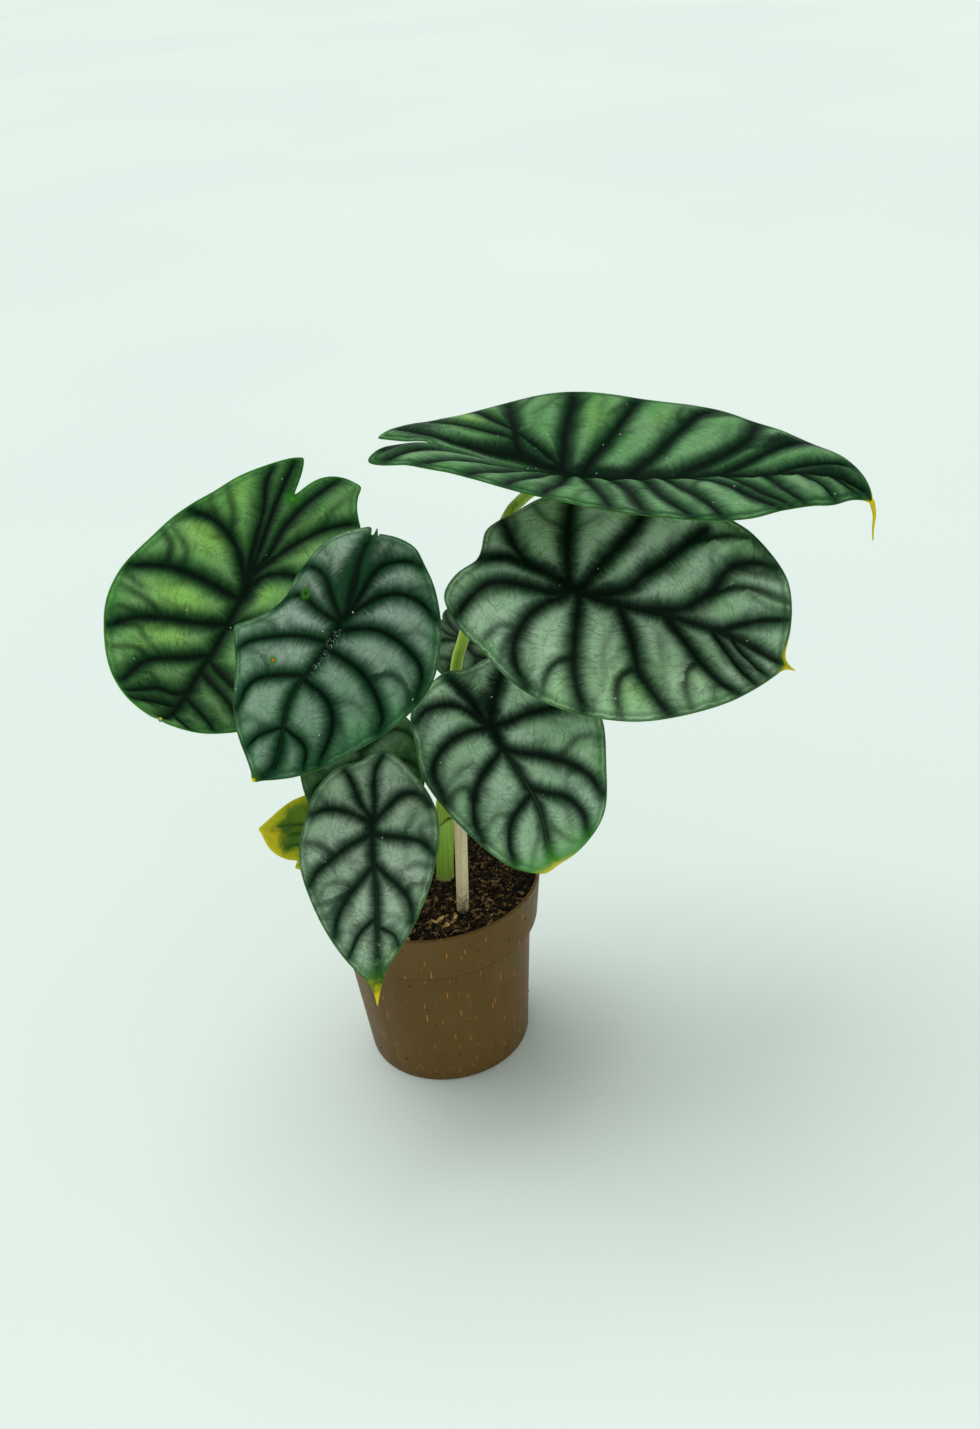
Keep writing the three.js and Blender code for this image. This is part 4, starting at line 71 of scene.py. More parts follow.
        "surface": [-3.36, -25.21, 229.44, -0.78, -27.15, 245.94, 2.29, -27.54, 262.47, 5.81, -26.39, 278.86, 9.76, -23.7, 294.97, 14.37, -18.2, 309.92, 19.67, -2.66, 312.26, 24.55, 13.4, 311.57, 29.1, 29.42, 309.29, 33.29, 45.23, 305.44, 37.08, 60.71, 300.07, 6.29, -39.29, 228.79, 10.09, -38.92, 245.16, 14.25, -37.14, 261.35, 18.74, -33.96, 277.23, 23.52, -29.39, 292.67, 28.71, -22.48, 306.92, 33.97, -7.2, 310.96, 38.87, 8.8, 312.46, 43.49, 24.96, 312.52, 47.79, 41.15, 311.13, 51.74, 57.24, 308.32, 16.97, -52.97, 228.99, 21.77, -50.26, 244.87, 26.8, -46.3, 260.4, 32.04, -41.09, 275.5, 37.45, -34.67, 290.05, 43.05, -26.38, 303.45, 48.34, -11.57, 309.13, 53.31, 4.06, 312.78, 58.04, 20.01, 315.16, 62.49, 36.18, 316.25, 66.64, 52.47, 316.06, 28.79, -66.05, 229.93, 34.33, -61.02, 244.98, 39.99, -54.9, 259.57, 45.73, -47.72, 273.63, 51.54, -39.51, 287.09, 57.38, -29.88, 299.52, 62.75, -15.74, 306.76, 67.86, -0.79, 312.47, 72.76, 14.6, 317.1, 77.42, 30.36, 320.62, 81.82, 46.4, 323.01, 41.84, -78.34, 231.49, 47.82, -71.06, 245.4, 53.82, -62.86, 258.78, 59.82, -53.79, 271.6, 65.78, -43.88, 283.79, 71.67, -32.98, 295.13, 77.18, -19.72, 303.83, 82.5, -5.73, 311.47, 87.64, 8.78, 318.22, 92.57, 23.75, 324.05, 97.28, 39.12, 328.94, 56.18, -89.3, 233.2, 62.28, -80.01, 245.81, 68.31, -69.97, 257.86, 74.27, -59.21, 269.31, 80.13, -47.75, 280.12, 85.89, -35.7, 290.31, 91.61, -23.47, 300.31, 97.21, -10.67, 309.66, 102.65, 2.69, 318.28, 107.93, 16.58, 326.13, 113.02, 30.95, 333.19, 71.38, -98.42, 234.54, 77.36, -87.64, 245.96, 83.24, -76.17, 256.75, 88.98, -64.04, 266.87, 94.58, -51.31, 276.29, 100.08, -38.22, 285.28, 106.02, -27.14, 296.43, 111.89, -15.65, 307.2, 117.63, -3.51, 317.3, 123.22, 9.24, 326.7, 128.65, 22.57, 335.38, 87.25, -106.63, 236.13, 92.99, -94.49, 246.23, 98.56, -81.73, 255.64, 103.94, -68.39, 264.33, 109.11, -54.51, 272.27, 114.22, -40.53, 280.02, 120.39, -30.72, 292.15, 126.55, -20.7, 304.16, 132.59, -9.96, 315.59, 138.49, 1.48, 326.39, 144.24, 13.57, 336.54, 104.09, -113.76, 237.57, 109.38, -100.39, 246.26, 114.43, -86.48, 254.23, 119.22, -72.08, 261.44, 123.74, -57.22, 267.87, 128.26, -42.45, 274.35, 134.76, -34.03, 287.29, 141.28, -25.65, 300.31, 147.7, -16.47, 312.84, 153.98, -6.52, 324.84, 160.11, 4.16, 336.28, 122.12, -119.57, 238.41, 126.7, -105.13, 245.69, 130.96, -90.23, 252.2, 134.87, -74.93, 257.94, 138.44, -59.27, 262.89, 142.13, -43.84, 268.14, 149.09, -36.91, 281.65, 156.13, -30.28, 295.39, 163.06, -22.81, 308.76, 169.85, -14.51, 321.7, 176.48, -5.41, 334.18, 141.48, -123.77, 238.2, 145.01, -108.43, 244.1, 148.15, -92.74, 249.23, 150.86, -76.73, 253.58, 153.15, -60.46, 257.13, 155.73, -44.54, 261.25, 163.33, -39.16, 275.04, 171.08, -34.39, 289.17, 178.72, -28.73, 303.03, 186.2, -22.19, 316.59, 193.52, -14.8, 329.79, 162.14, -126.02, 236.45, 164.28, -110, 241.09, 165.93, -93.73, 244.98, 167.08, -77.25, 248.1, 167.74, -60.62, 250.44, 168.92, -44.39, 253.57, 177.35, -40.58, 267.31, 186.04, -37.69, 281.41, 194.61, -33.89, 295.36, 203.01, -29.18, 309.14, 211.24, -23.58, 322.69, 183.91, -125.89, 232.67, 184.28, -109.47, 236.27, 184.09, -92.91, 239.15, 183.34, -76.25, 241.27, 182.03, -59.55, 242.65, 181.51, -43.24, 245.03, 190.98, -40.95, 258.32, 200.83, -39.91, 271.9, 210.55, -37.94, 285.48, 220.1, -35.05, 299.01, 229.46, -31.25, 312.45, 206.37, -122.92, 226.42, 204.64, -106.44, 229.29, 202.28, -89.93, 231.46, 199.31, -73.44, 232.91, 195.73, -57.04, 233.66, 193.27, -40.95, 235.58, 203.94, -40.06, 247.98, 215.13, -40.73, 260.51, 226.19, -40.48, 273.17, 237.1, -39.3, 285.92, 247.81, -37.22, 298.72, 228.84, -116.61, 217.37, 224.74, -100.48, 219.88, 219.97, -84.46, 221.73, 214.56, -68.58, 222.92, 208.51, -52.91, 223.44, 203.92, -37.4, 225.26, 215.9, -37.7, 236.27, 228.52, -39.85, 247.16, 241.05, -41.09, 258.31, 253.43, -41.43, 269.69, 265.64, -40.88, 281.25],
        "outline": [-45.2, -1.1, -47.8, -3, -50, -5.1, -51.4, -7.3, -53.1, -10.3, -54.5, -13, -55.4, -16.3, -55.9, -19.5, -52.5, -24.5, -48.3, -27.4, -46.4, -29.3, -44.1, -31.8, -42.2, -33.3, -37.9, -35.5, -33.8, -37.1, -30, -39.4, -25.9, -42.4, -22, -45.3, -17.2, -48.1, -11.7, -51.2, -5.7, -53.8, 0.8, -56.1, 7, -57.6, 13.1, -58.9, 19, -59.9, 24, -60.8, 30, -60.8, 34.2, -60.8, 39.1, -61, 43.6, -60.7, 47.9, -59.9, 52.8, -58.8, 57.6, -56.9, 62.4, -54.8, 66.6, -52.8, 70.8, -50.3, 74.4, -47.9, 78.1, -45.2, 82.1, -42, 85.5, -38.1, 89.1, -34.3, 93.2, -29.4, 96.7, -24.9, 100.6, -19.8, 105, -13.5, 110.8, -6.6, 114.1, -3.3, 116.8, -2.3, 120.5, -1, 117.8, -0.3, 115.5, 0.5, 113.5, 2, 112.1, 3.8, 110.9, 6, 110, 8.2, 108.4, 11.3, 107.3, 14, 105.5, 17.5, 103.9, 21.1, 102.1, 24.5, 100, 27.8, 98, 31, 95.9, 34.1, 93.5, 36.9, 91.1, 39, 87.1, 41.8, 82.5, 44.7, 77.4, 47.6, 72.5, 50.1, 70.8, 51, 66.6, 51.7, 63, 52.3, 56.1, 55.3, 48.8, 56.9, 41.4, 57.4, 34.2, 57, 27.5, 56.1, 21.5, 55.2, 16, 54.3, 11, 53.5, 6.3, 53, 1.8, 52.7, -2.6, 52.6, -7.1, 52.6, -11.7, 52.5, -16.3, 52.1, -20.9, 51.3, -25.4, 49.8, -29.2, 44.4, -32.2, 39.8, -35.6, 37.2, -38.9, 33.8, -41.9, 29.5, -44.1, 25.9, -44.9, 22.5, -44.7, 18.5, -43.5, 12.8, -43, 9.3, -42.7, 5.9, -43.6, 1.9, -43.6, 1.9],
        "midrib": [13.8, -1.2, 26, -1.3, 38, 0, 50.1, 0.8, 62.5, 1.3, 75.3, 1.4, 85.9, 1.6, 95.9, 0.3, 109.2, -1.1, 114.1, -0.1, 120.5, -1],
        "veins": [([1, 1.5, -2, 12, -5.3, 26, -7.2, 41, -8, 49], 3.5, 2.6), ([6.5, 2, 12.9, 14.6, 18.3, 26, 23.3, 36, 26, 46], 3.5, 2.8), ([16, 1.5, 26.9, 6.7, 34.7, 17.4, 42.9, 27.4, 49, 36.5], 3.7, 2.6), ([41, 1, 54, 5.5, 61, 12, 66, 19, 67.8, 27, 71, 33, 79, 37.5, 87, 39], 3.6, 1.8), ([72, 1.8, 77, 3.4, 85, 9, 93, 14.5, 101, 18.6], 2, 1.4), ([-2, 2, -13, 5, -22, 8.5, -30, 17, -35, 26, -38.5, 32], 3, 2), ([-2, 2, -17, 6, -30, 7.5, -42, 3], 3.8, 2.4), ([0, -3.5, -12, -4.5, -24, -4.8, -35, -8, -42, -16, -46, -24], 3.2, 2), ([1, -4, -7, -10, -13.5, -19, -16, -29, -15.5, -37, -12, -44, -8, -48.5], 3.1, 1.8), ([6.5, -2, 8.5, -12, 10.5, -26, 12.5, -36, 16, -46, 20, -54], 3, 2), ([25.5, -1, 32.5, -12, 37, -22, 41, -33.5, 47, -42, 54, -51], 3.2, 1.9), ([49, 0, 54.5, -6, 60.5, -13, 67.5, -23, 75, -31, 82.5, -36.5], 3.1, 1.8), ([71, 1.5, 78.5, -7, 84, -17, 89, -24], 2.2, 1.5), ([82, 1, 90, -8, 95.5, -15.5, 100, -19], 2, 1.3)],
        "subs": [([-25, 43, -16, 33.5, -7, 32], 0.55), ([-5, 27, -0.5, 33.5, 5, 38.5], 0.45), ([49, 37.5, 55.4, 40.3, 65.4, 45.3, 75.4, 47, 82, 44.5], 1), ([64, 16, 74, 23, 84, 26.3, 98, 27], 1), ([-30, -33, -25, -26, -18, -25], 0.6), ([10.5, -33.5, 5, -37.5, 2, -44, 2, -52], 0.95), ([38, -34, 33.8, -40, 34.5, -49, 36.5, -55], 0.95), ([64.5, -24.5, 61, -32, 62, -42, 64, -48], 0.8), ([-13, -24, -20, -32, -21, -40], 0.5), ([26, -14, 24, -28, 27, -42, 26, -52], 0.3), ([47, -12, 50, -26, 53, -38], 0.3), ([77, -33, 73, -38, 74, -44], 0.5), ([67, 22, 62, 28, 60, 36], 0.35), ([71, 33, 80, 33, 90, 35], 0.5), ([80, 24, 90, 21, 99, 23], 0.4), ([84, -16, 92, -18, 97, -24], 0.4), ([-31, 19, -30, 28, -34, 36], 0.4)],
        "stalk": {"path": [10, 24, 101.8, 15.6, 24.2, 124.3, 22.2, 23.7, 147, 29.5, 22, 169.5, 37.3, 19.2, 191.5, 45.3, 15, 212.6, 53.4, 9.2, 232.4, 61.3, 1.5, 250.4, 68.9, -8, 266.4, 75.8, -19.7, 279.8, 81.9, -33.8, 290.3], "radii": [3.4, 2.9, 2.4]},
    },
    "low_right": {
        "u0": -52.132, "du": 11.9378, "nu": 15, "v0": -63.775, "dv": 12.7549, "nv": 11, "Lf": 95.4,
        "surface": [-37.59, -27.19, 242.48, -26.13, -22.13, 244.86, -14.7, -16.84, 246.91, -3.33, -11.32, 248.61, 7.98, -5.58, 249.98, 19.3, 0.07, 251.46, 30.73, 3.58, 255.86, 42.16, 6.99, 260.38, 53.63, 10.67, 264.59, 65.12, 14.61, 268.47, 76.63, 18.79, 272.04, -32.35, -35.82, 235.65, -20.9, -30.74, 238.05, -9.49, -25.42, 240.12, 1.86, -19.87, 241.85, 13.14, -14.08, 243.26, 24.44, -8.39, 244.79, 35.89, -4.94, 249.18, 47.34, -1.59, 253.68, 58.83, 2.03, 257.88, 70.34, 5.92, 261.77, 81.85, 10.08, 265.34, -27.12, -44.19, 228.49, -15.68, -39.1, 230.91, -4.29, -33.76, 233.01, 7.03, -28.17, 234.78, 18.29, -22.34, 236.23, 29.55, -16.6, 237.8, 41.03, -13.21, 242.17, 52.51, -9.93, 246.66, 64.02, -6.36, 250.85, 75.54, -2.51, 254.74, 87.07, 1.61, 258.32, -21.92, -52.3, 221.03, -10.49, -47.19, 223.46, 0.88, -41.83, 225.59, 12.18, -36.2, 227.4, 23.41, -30.33, 228.89, 34.65, -24.56, 230.5, 46.15, -21.23, 234.86, 57.66, -18, 239.32, 69.18, -14.49, 243.5, 80.72, -10.69, 247.39, 92.26, -6.61, 250.98, -16.75, -60.14, 213.26, -5.33, -55.02, 215.71, 6.03, -49.62, 217.86, 17.31, -43.97, 219.71, 28.5, -38.05, 221.25, 39.72, -32.25, 222.91, 51.25, -28.97, 227.24, 62.78, -25.82, 231.68, 74.32, -22.36, 235.85, 85.88, -18.6, 239.73, 97.43, -14.56, 243.32, -11.54, -67.75, 204.98, -0.14, -62.6, 207.47, 11.19, -57.16, 209.68, 22.43, -51.45, 211.59, 33.58, -45.46, 213.22, 44.75, -39.59, 214.96, 56.32, -36.41, 219.23, 67.9, -33.35, 223.61, 79.49, -29.97, 227.73, 91.08, -26.28, 231.58, 102.65, -22.29, 235.16, -6.31, -74.76, 195.77, 5.06, -69.57, 198.32, 16.33, -64.07, 200.62, 27.5, -58.27, 202.66, 38.56, -52.17, 204.43, 49.66, -46.19, 206.32, 61.31, -43.14, 210.46, 72.98, -40.22, 214.71, 84.64, -36.96, 218.72, 96.28, -33.36, 222.5, 107.89, -29.44, 226.03, -1.23, -80.69, 185.45, 10.1, -75.45, 188.09, 21.31, -69.88, 190.52, 32.4, -63.98, 192.73, 43.35, -57.76, 194.73, 54.35, -51.67, 196.81, 66.11, -48.76, 200.77, 77.88, -45.99, 204.8, 89.64, -42.86, 208.65, 101.35, -39.37, 212.3, 113, -35.52, 215.76, 3.53, -85.02, 173.95, 14.81, -79.74, 176.71, 25.95, -74.11, 179.32, 36.94, -68.12, 181.77, 47.77, -61.79, 184.06, 58.66, -55.62, 186.42, 70.54, -52.83, 190.1, 82.45, -50.21, 193.83, 94.31, -47.2, 197.44, 106.1, -43.8, 200.92, 117.82, -40.03, 204.26, 7.7, -87.2, 161.4, 18.93, -81.9, 164.31, 30, -76.23, 167.14, 40.9, -70.19, 169.89, 51.61, -63.8, 172.56, 62.38, -57.57, 175.27, 74.39, -54.88, 178.58, 86.43, -52.35, 181.92, 98.4, -49.42, 185.21, 110.29, -46.1, 188.44, 122.07, -42.38, 191.62, 10.97, -86.65, 148.18, 22.16, -81.36, 151.26, 33.16, -75.71, 154.36, 43.97, -69.69, 157.47, 54.57, -63.32, 160.6, 65.25, -57.11, 163.72, 77.37, -54.43, 166.58, 89.54, -51.91, 169.43, 101.62, -48.99, 172.32, 113.58, -45.68, 175.25, 125.42, -41.98, 178.21, 12.95, -82.91, 134.99, 24.11, -77.68, 138.26, 35.08, -72.11, 141.66, 45.82, -66.21, 145.17, 56.35, -59.99, 148.8, 66.96, -53.92, 152.38, 79.16, -51.11, 154.73, 91.43, -48.46, 157.01, 103.58, -45.44, 159.45, 115.61, -42.06, 162.02, 127.49, -38.32, 164.73, 13.29, -75.74, 122.87, 24.44, -70.63, 126.34, 35.4, -65.24, 130.04, 46.14, -59.59, 133.96, 56.65, -53.67, 138.09, 67.26, -47.88, 142.13, 79.48, -44.78, 143.94, 91.77, -41.82, 145.65, 103.94, -38.55, 147.6, 115.99, -34.98, 149.8, 127.89, -31.11, 152.24, 11.69, -65.35, 113.18, 22.88, -60.42, 116.82, 33.88, -55.32, 120.77, 44.68, -50.05, 125.04, 55.27, -44.61, 129.62, 65.95, -39.25, 134.06, 78.1, -35.68, 135.39, 90.31, -32.19, 136.57, 102.42, -28.5, 138.09, 114.42, -24.6, 139.95, 126.3, -20.5, 142.14, 8.11, -52.53, 107.38, 19.37, -47.85, 111.13, 30.47, -43.12, 115.25, 41.42, -38.36, 119.74, 52.19, -33.55, 124.6, 63.02, -28.77, 129.29, 74.99, -24.54, 130.3, 87.01, -20.33, 131.13, 98.96, -16.05, 132.35, 110.83, -11.69, 133.97, 122.62, -7.26, 135.98],
        "outline": [-36.4, -3.5, -37.2, -8.4, -34, -12, -34.1, -15.5, -33.5, -18.8, -32.4, -22, -30.7, -25, -28.8, -27.8, -26.5, -30.4, -24.1, -32.9, -21.4, -35.2, -16.2, -36.5, -13, -37.3, -9.9, -37.8, -4.3, -40.5, 1, -43.6, 7.2, -44.5, 13.8, -43.9, 21, -42.6, 28.1, -41.1, 36.4, -39.2, 43.3, -36, 50.3, -32.6, 57.6, -30.1, 64.2, -26.8, 71.6, -20.3, 81.8, -11.8, 97.1, -3.2, 93.2, 0.1, 90.5, 6.9, 82, 12.5, 76.4, 18.6, 71.8, 23.9, 66, 28.6, 60.5, 32.5, 52.6, 35.2, 45.3, 38, 38.5, 41.4, 31.9, 45.2, 24.6, 49.4, 19.4, 49.2, 14.5, 48.7, 9.8, 48, 5.5, 47, 1.3, 45.9, -2.6, 44.6, -6.3, 43.2, -9.8, 41.7, -13.2, 40, -16.3, 38.1, -19.2, 35.9, -21.8, 33.5, -24.2, 30.9, -26.3, 28.2, -28.1, 25.3, -29.6, 22.3, -30.7, 19.2, -31.3, 16, -31.8, 11.5, -31.8, 6.7, -31.5, 4, -31.5, 4, -33.5, 1.7],
        "midrib": [5.4, -1.3, 14.9, -1.1, 23.4, -0.3, 32.8, 0.4, 41.1, 0.8, 49.1, 0.4, 58.2, -1, 67.9, -2.6, 80.1, -2.8, 93.2, 0.1],
        "veins": [([0, 0, 1.8, 8, 3.5, 18.3, 5.6, 26, 8, 34, 11, 42], 2.8, 2.2), ([11.3, -1, 18.8, 6.5, 24.6, 14.5, 32, 22.3, 38.3, 27.3, 44.3, 30.3, 50, 31.3], 2.8, 1.8), ([34.5, 0.5, 39, 4.5, 42.2, 8.5, 46.6, 14.1, 52.8, 17.8, 60, 19.5, 66, 19], 2.5, 1.5), ([-3, 0.5, -12.5, 9, -18, 15], 3.6, 3.2), ([-4, -2, -15, -2, -24, -4, -31, -5.5], 3.4, 2.4), ([-3.5, -2.8, -13, -6.8, -19, -12.5, -21.7, -20, -21.7, -26.5, -19.2, -33], 2.5, 1.7), ([0, -1.6, -3, -10, -3.4, -19, -1.2, -28.3, 3.2, -35.5, 8.5, -39, 14, -39.5], 2.5, 1.6), ([11.5, -2, 16.2, -12, 20, -20, 25.5, -26, 31.5, -30, 37.5, -32.3, 43, -32.5], 2.6, 1.5), ([38, 0.5, 41, -8, 44.3, -14.5, 49.5, -19, 56.5, -21.8, 63.5, -22.4], 2.3, 1.4)],
        "subs": [([28, 23, 25.2, 32, 26.5, 38.5, 30, 43], 0.6), ([26, -26, 20, -28, 19.5, -34.5, 23.5, -39.5], 0.7), ([12, -20, 12.5, -28, 15, -35], 0.45), ([45, 10, 52, 12.5, 60, 12], 0.4), ([37, 26, 38, 20, 45, 16], 0.4), ([-21, -22, -14, -30, -10, -34], 0.4), ([43, -14, 38, -20, 40, -27], 0.5), ([58, 3, 66, 6, 74, 12], 0.4), ([54, -3, 62, -8, 70, -14], 0.4), ([4.5, 22, 12, 32, 18, 40], 0.35), ([33, -2, 36, -10, 36, -18], 0.3)],
        "stalk": {"path": [8.5, 13.8, 101.8, 11.2, 13.4, 119.3, 14.3, 12.3, 134.9, 17.8, 10.3, 148.7, 21.5, 7.3, 161, 25.3, 3.3, 172.2, 29, -1.7, 182.4, 32.7, -7.9, 192, 36, -15.3, 201.1, 39, -24.1, 210.1, 41.5, -34.2, 219.2], "radii": [2.9, 2.5, 2.1]},
    },
    "front_left": {
        "u0": -63.001, "du": 11.8559, "nu": 15, "v0": -68.292, "dv": 13.6584, "nv": 11, "Lf": 84.2,
        "surface": [-33.3, 13.96, 332.86, -24.47, 4.22, 335.7, -15.18, -5.3, 337.69, -5.47, -14.55, 338.83, 4.59, -23.46, 339.09, 15.13, -31.63, 337.81, 25.75, -35.58, 330.69, 35.97, -38.28, 322.36, 45.84, -40.25, 313.44, 55.33, -41.49, 303.98, 64.37, -41.99, 294.03, -39.84, 6.73, 328.43, -31, -3.12, 330.86, -21.72, -12.72, 332.49, -12.05, -22.03, 333.34, -2.03, -31.01, 333.38, 8.45, -39.22, 331.96, 19.15, -43.12, 324.91, 29.49, -45.77, 316.73, 39.54, -47.73, 308, 49.25, -48.98, 298.77, 58.57, -49.52, 289.09, -46.39, -0.34, 323.7, -37.53, -10.26, 325.7, -28.26, -19.92, 326.98, -18.62, -29.29, 327.54, -8.65, -38.32, 327.36, 1.79, -46.57, 325.8, 12.56, -50.41, 318.83, 23.02, -53.04, 310.8, 33.24, -54.99, 302.26, 43.16, -56.27, 293.26, 52.74, -56.87, 283.84, -52.95, -7.22, 318.65, -44.06, -17.2, 320.24, -34.79, -26.91, 321.17, -25.18, -36.31, 321.43, -15.25, -45.38, 321.03, -4.86, -53.67, 319.34, 5.98, -57.46, 312.45, 16.57, -60.06, 304.56, 26.94, -62.01, 296.22, 37.06, -63.33, 287.45, 46.89, -64.01, 278.3, -59.5, -13.93, 313.29, -50.58, -23.93, 314.47, -41.31, -33.66, 315.05, -31.72, -43.09, 315.03, -21.83, -52.2, 314.4, -11.49, -60.51, 312.57, -0.57, -64.25, 305.77, 10.13, -66.83, 298.03, 20.65, -68.8, 289.88, 30.96, -70.17, 281.35, 41.03, -70.94, 272.46, -66.05, -20.43, 307.63, -57.1, -30.44, 308.4, -47.82, -40.18, 308.63, -38.24, -49.62, 308.33, -28.39, -58.75, 307.49, -18.08, -67.08, 305.52, -7.09, -70.78, 298.8, 3.72, -73.34, 291.21, 14.38, -75.34, 283.26, 24.87, -76.78, 274.96, 35.17, -77.65, 266.34, -72.39, -26.55, 301.21, -63.47, -36.61, 301.74, -54.24, -46.39, 301.76, -44.71, -55.88, 301.27, -34.9, -65.03, 300.27, -24.63, -73.38, 298.19, -13.59, -77.04, 291.54, -2.69, -79.54, 284.06, 8.08, -81.5, 276.24, 18.69, -82.89, 268.08, 29.12, -83.73, 259.63, -78.62, -32.37, 294.34, -69.77, -42.5, 294.71, -60.61, -52.35, 294.57, -51.13, -61.88, 293.94, -41.38, -71.07, 292.81, -31.14, -79.44, 290.63, -20.04, -83.05, 284.04, -9.07, -85.48, 276.65, 1.78, -87.36, 268.92, 12.49, -88.67, 260.88, 23.03, -89.41, 252.55, -84.81, -37.97, 287.25, -76.04, -48.17, 287.45, -66.94, -58.07, 287.16, -57.52, -67.65, 286.38, -47.81, -76.88, 285.12, -37.61, -85.26, 282.84, -26.46, -88.81, 276.3, -15.41, -91.18, 269.01, -4.47, -92.99, 261.38, 6.33, -94.21, 253.46, 16.97, -94.86, 245.25, -90.97, -43.35, 279.93, -82.27, -53.61, 279.96, -73.22, -63.56, 279.52, -63.86, -73.18, 278.6, -54.2, -82.44, 277.2, -44.03, -90.83, 274.83, -32.82, -94.34, 268.36, -21.7, -96.64, 261.15, -10.68, -98.38, 253.63, 0.22, -99.52, 245.83, 10.96, -100.09, 237.75, -97.09, -48.51, 272.4, -88.45, -58.82, 272.27, -79.46, -68.82, 271.67, -70.15, -78.47, 270.61, -60.53, -87.75, 269.08, -50.39, -96.15, 266.61, -39.13, -99.61, 260.2, -27.94, -101.86, 253.09, -16.83, -103.53, 245.68, -5.85, -104.6, 237.99, 5, -105.08, 230.04, -103.16, -53.44, 264.67, -94.59, -63.8, 264.37, -85.66, -73.84, 263.61, -76.39, -83.52, 262.41, -66.81, -92.82, 260.76, -56.69, -101.22, 258.18, -45.39, -104.64, 251.84, -34.12, -106.83, 244.83, -22.94, -108.44, 237.52, -11.86, -109.44, 229.95, -0.92, -109.85, 222.13, -109.19, -58.15, 256.73, -100.67, -68.55, 256.27, -91.79, -78.62, 255.36, -82.57, -88.32, 254.02, -73.03, -97.64, 252.24, -62.93, -106.04, 249.57, -51.58, -109.41, 243.29, -40.24, -111.56, 236.37, -28.98, -113.1, 229.18, -17.82, -114.04, 221.73, -6.78, -114.38, 214.04, -115.16, -62.62, 248.61, -106.7, -73.06, 247.98, -97.87, -83.16, 246.92, -88.68, -92.88, 245.44, -79.18, -102.2, 243.53, -69.1, -110.61, 240.77, -57.7, -113.94, 234.56, -46.3, -116.04, 227.74, -34.96, -117.53, 220.65, -23.71, -118.41, 213.32, -12.58, -118.68, 205.77, -121.08, -66.87, 240.3, -112.66, -77.34, 239.51, -103.88, -87.46, 238.3, -94.74, -97.19, 236.68, -85.26, -106.52, 234.65, -75.2, -114.92, 231.79, -63.75, -118.22, 225.65, -52.28, -120.27, 218.93, -40.87, -121.71, 211.95, -29.54, -122.53, 204.75, -18.31, -122.74, 197.33],
        "outline": [-44.6, -3.3, -44.1, -6.5, -42.6, -6.3, -46.6, -9.6, -39.9, -8.7, -39.9, -8.7, -46.2, -13.1, -44.6, -18, -43.3, -21.6, -39.7, -27, -37, -30, -34, -32.7, -30.1, -34, -26.2, -35.1, -22.4, -35.7, -18.6, -36, -16.1, -36.5, -13.7, -36.8, -11.2, -37.1, -7.9, -36.3, -4.7, -35.4, -2.4, -35.5, -0.1, -35.4, 2.2, -35.4, 7.7, -38.1, 13.8, -42.2, 17.7, -48.2, 20.2, -53.6, 23.5, -55.8, 28.2, -52.8, 33, -47.5, 35.9, -45.3, 38.6, -42.9, 41.1, -40.4, 49.7, -35.7, 58.2, -31.8, 65.7, -25.3, 70.7, -16.8, 75.6, -9.1, 80.6, -1.5, 82.9, -1.3, 80.5, 2.5, 78.3, 7.4, 73.7, 14.6, 67.9, 21.3, 60.6, 27.3, 51.7, 32.6, 47.5, 35.5, 43.2, 38.1, 40.2, 40, 37.1, 41.7, 34, 43.2, 29.9, 45, 25.7, 46.5, 19, 49.3, 11.7, 50.5, 3.9, 50.2, 0.8, 49.4, -2.3, 48.6, -5.2, 47.8, -8.2, 46.7, -11.2, 45.5, -14, 44.2, -16.8, 43, -19.4, 41.6, -22, 40.1, -24.5, 38.3, -27, 36.4, -29.3, 34.4, -31.3, 32.7, -33.3, 30.9, -35.3, 28.9, -37.6, 26.2, -39.6, 23.1, -41.8, 20, -43.2, 16.4, -46.2, 14.4, -47.1, 11.5, -46.7, 7.2, -46.4, 2.3],
        "midrib": [10.4, 0.4, 19.3, -0.4, 29.4, -1.6, 36.7, -3.4, 44.1, -3.4, 51.7, -1.4, 58.6, 1.5, 65.7, 3.7, 72.8, 4.5, 78.2, 2.6, 81.8, -0.6],
        "veins": [([5, 1.5, 0, 9, -3.6, 16, -4.4, 24.3, -3, 33, 0.5, 41, 6, 45, 11, 46], 2.7, 1.6), ([-1.5, 1, -11, 6, -17, 9.5, -22.5, 15, -25, 22, -25.2, 28.5, -23.2, 34.5], 2.6, 1.7), ([-5, 2, -14, 2, -24, 2, -30, 3.5, -35.5, 8, -39.5, 14, -40, 18.5], 2.8, 1.5), ([15, 1.5, 15.4, 11.2, 17, 19.5, 21, 27.3, 26, 33.8, 31.5, 38, 37, 38.7], 2.8, 1.6), ([32.2, -1.5, 33.8, 8, 37, 14.2, 43, 18.8, 50, 20.8, 56, 21.2], 2.6, 1.4), ([55.2, 0.5, 57, 9.5, 60, 14, 65, 15.8], 1.6, 1.1), ([-3.5, 1, -17, -4, -30, -8.5, -39, -10], 3.6, 2.4), ([-1.6, -2.8, -8.5, -12, -13.8, -18, -17.5, -26, -17.5, -33.5, -14.5, -37], 2.6, 1.8), ([1.7, -1.7, 0.6, -13, -2.4, -24, -2, -30, 2.5, -35.5, 6, -37.8], 2.4, 1.6), ([12.4, -1, 14.2, -11.7, 17, -21.5, 22, -33, 27.5, -41.7, 32, -45], 2.6, 1.7), ([30.4, -2, 34, -12.5, 37.4, -20, 42, -26.2, 48, -28.8, 54.5, -28.3], 2.7, 1.7), ([55.4, -0.3, 60.2, -5.7, 64.7, -9.6, 70.5, -12], 1.8, 1.2)],
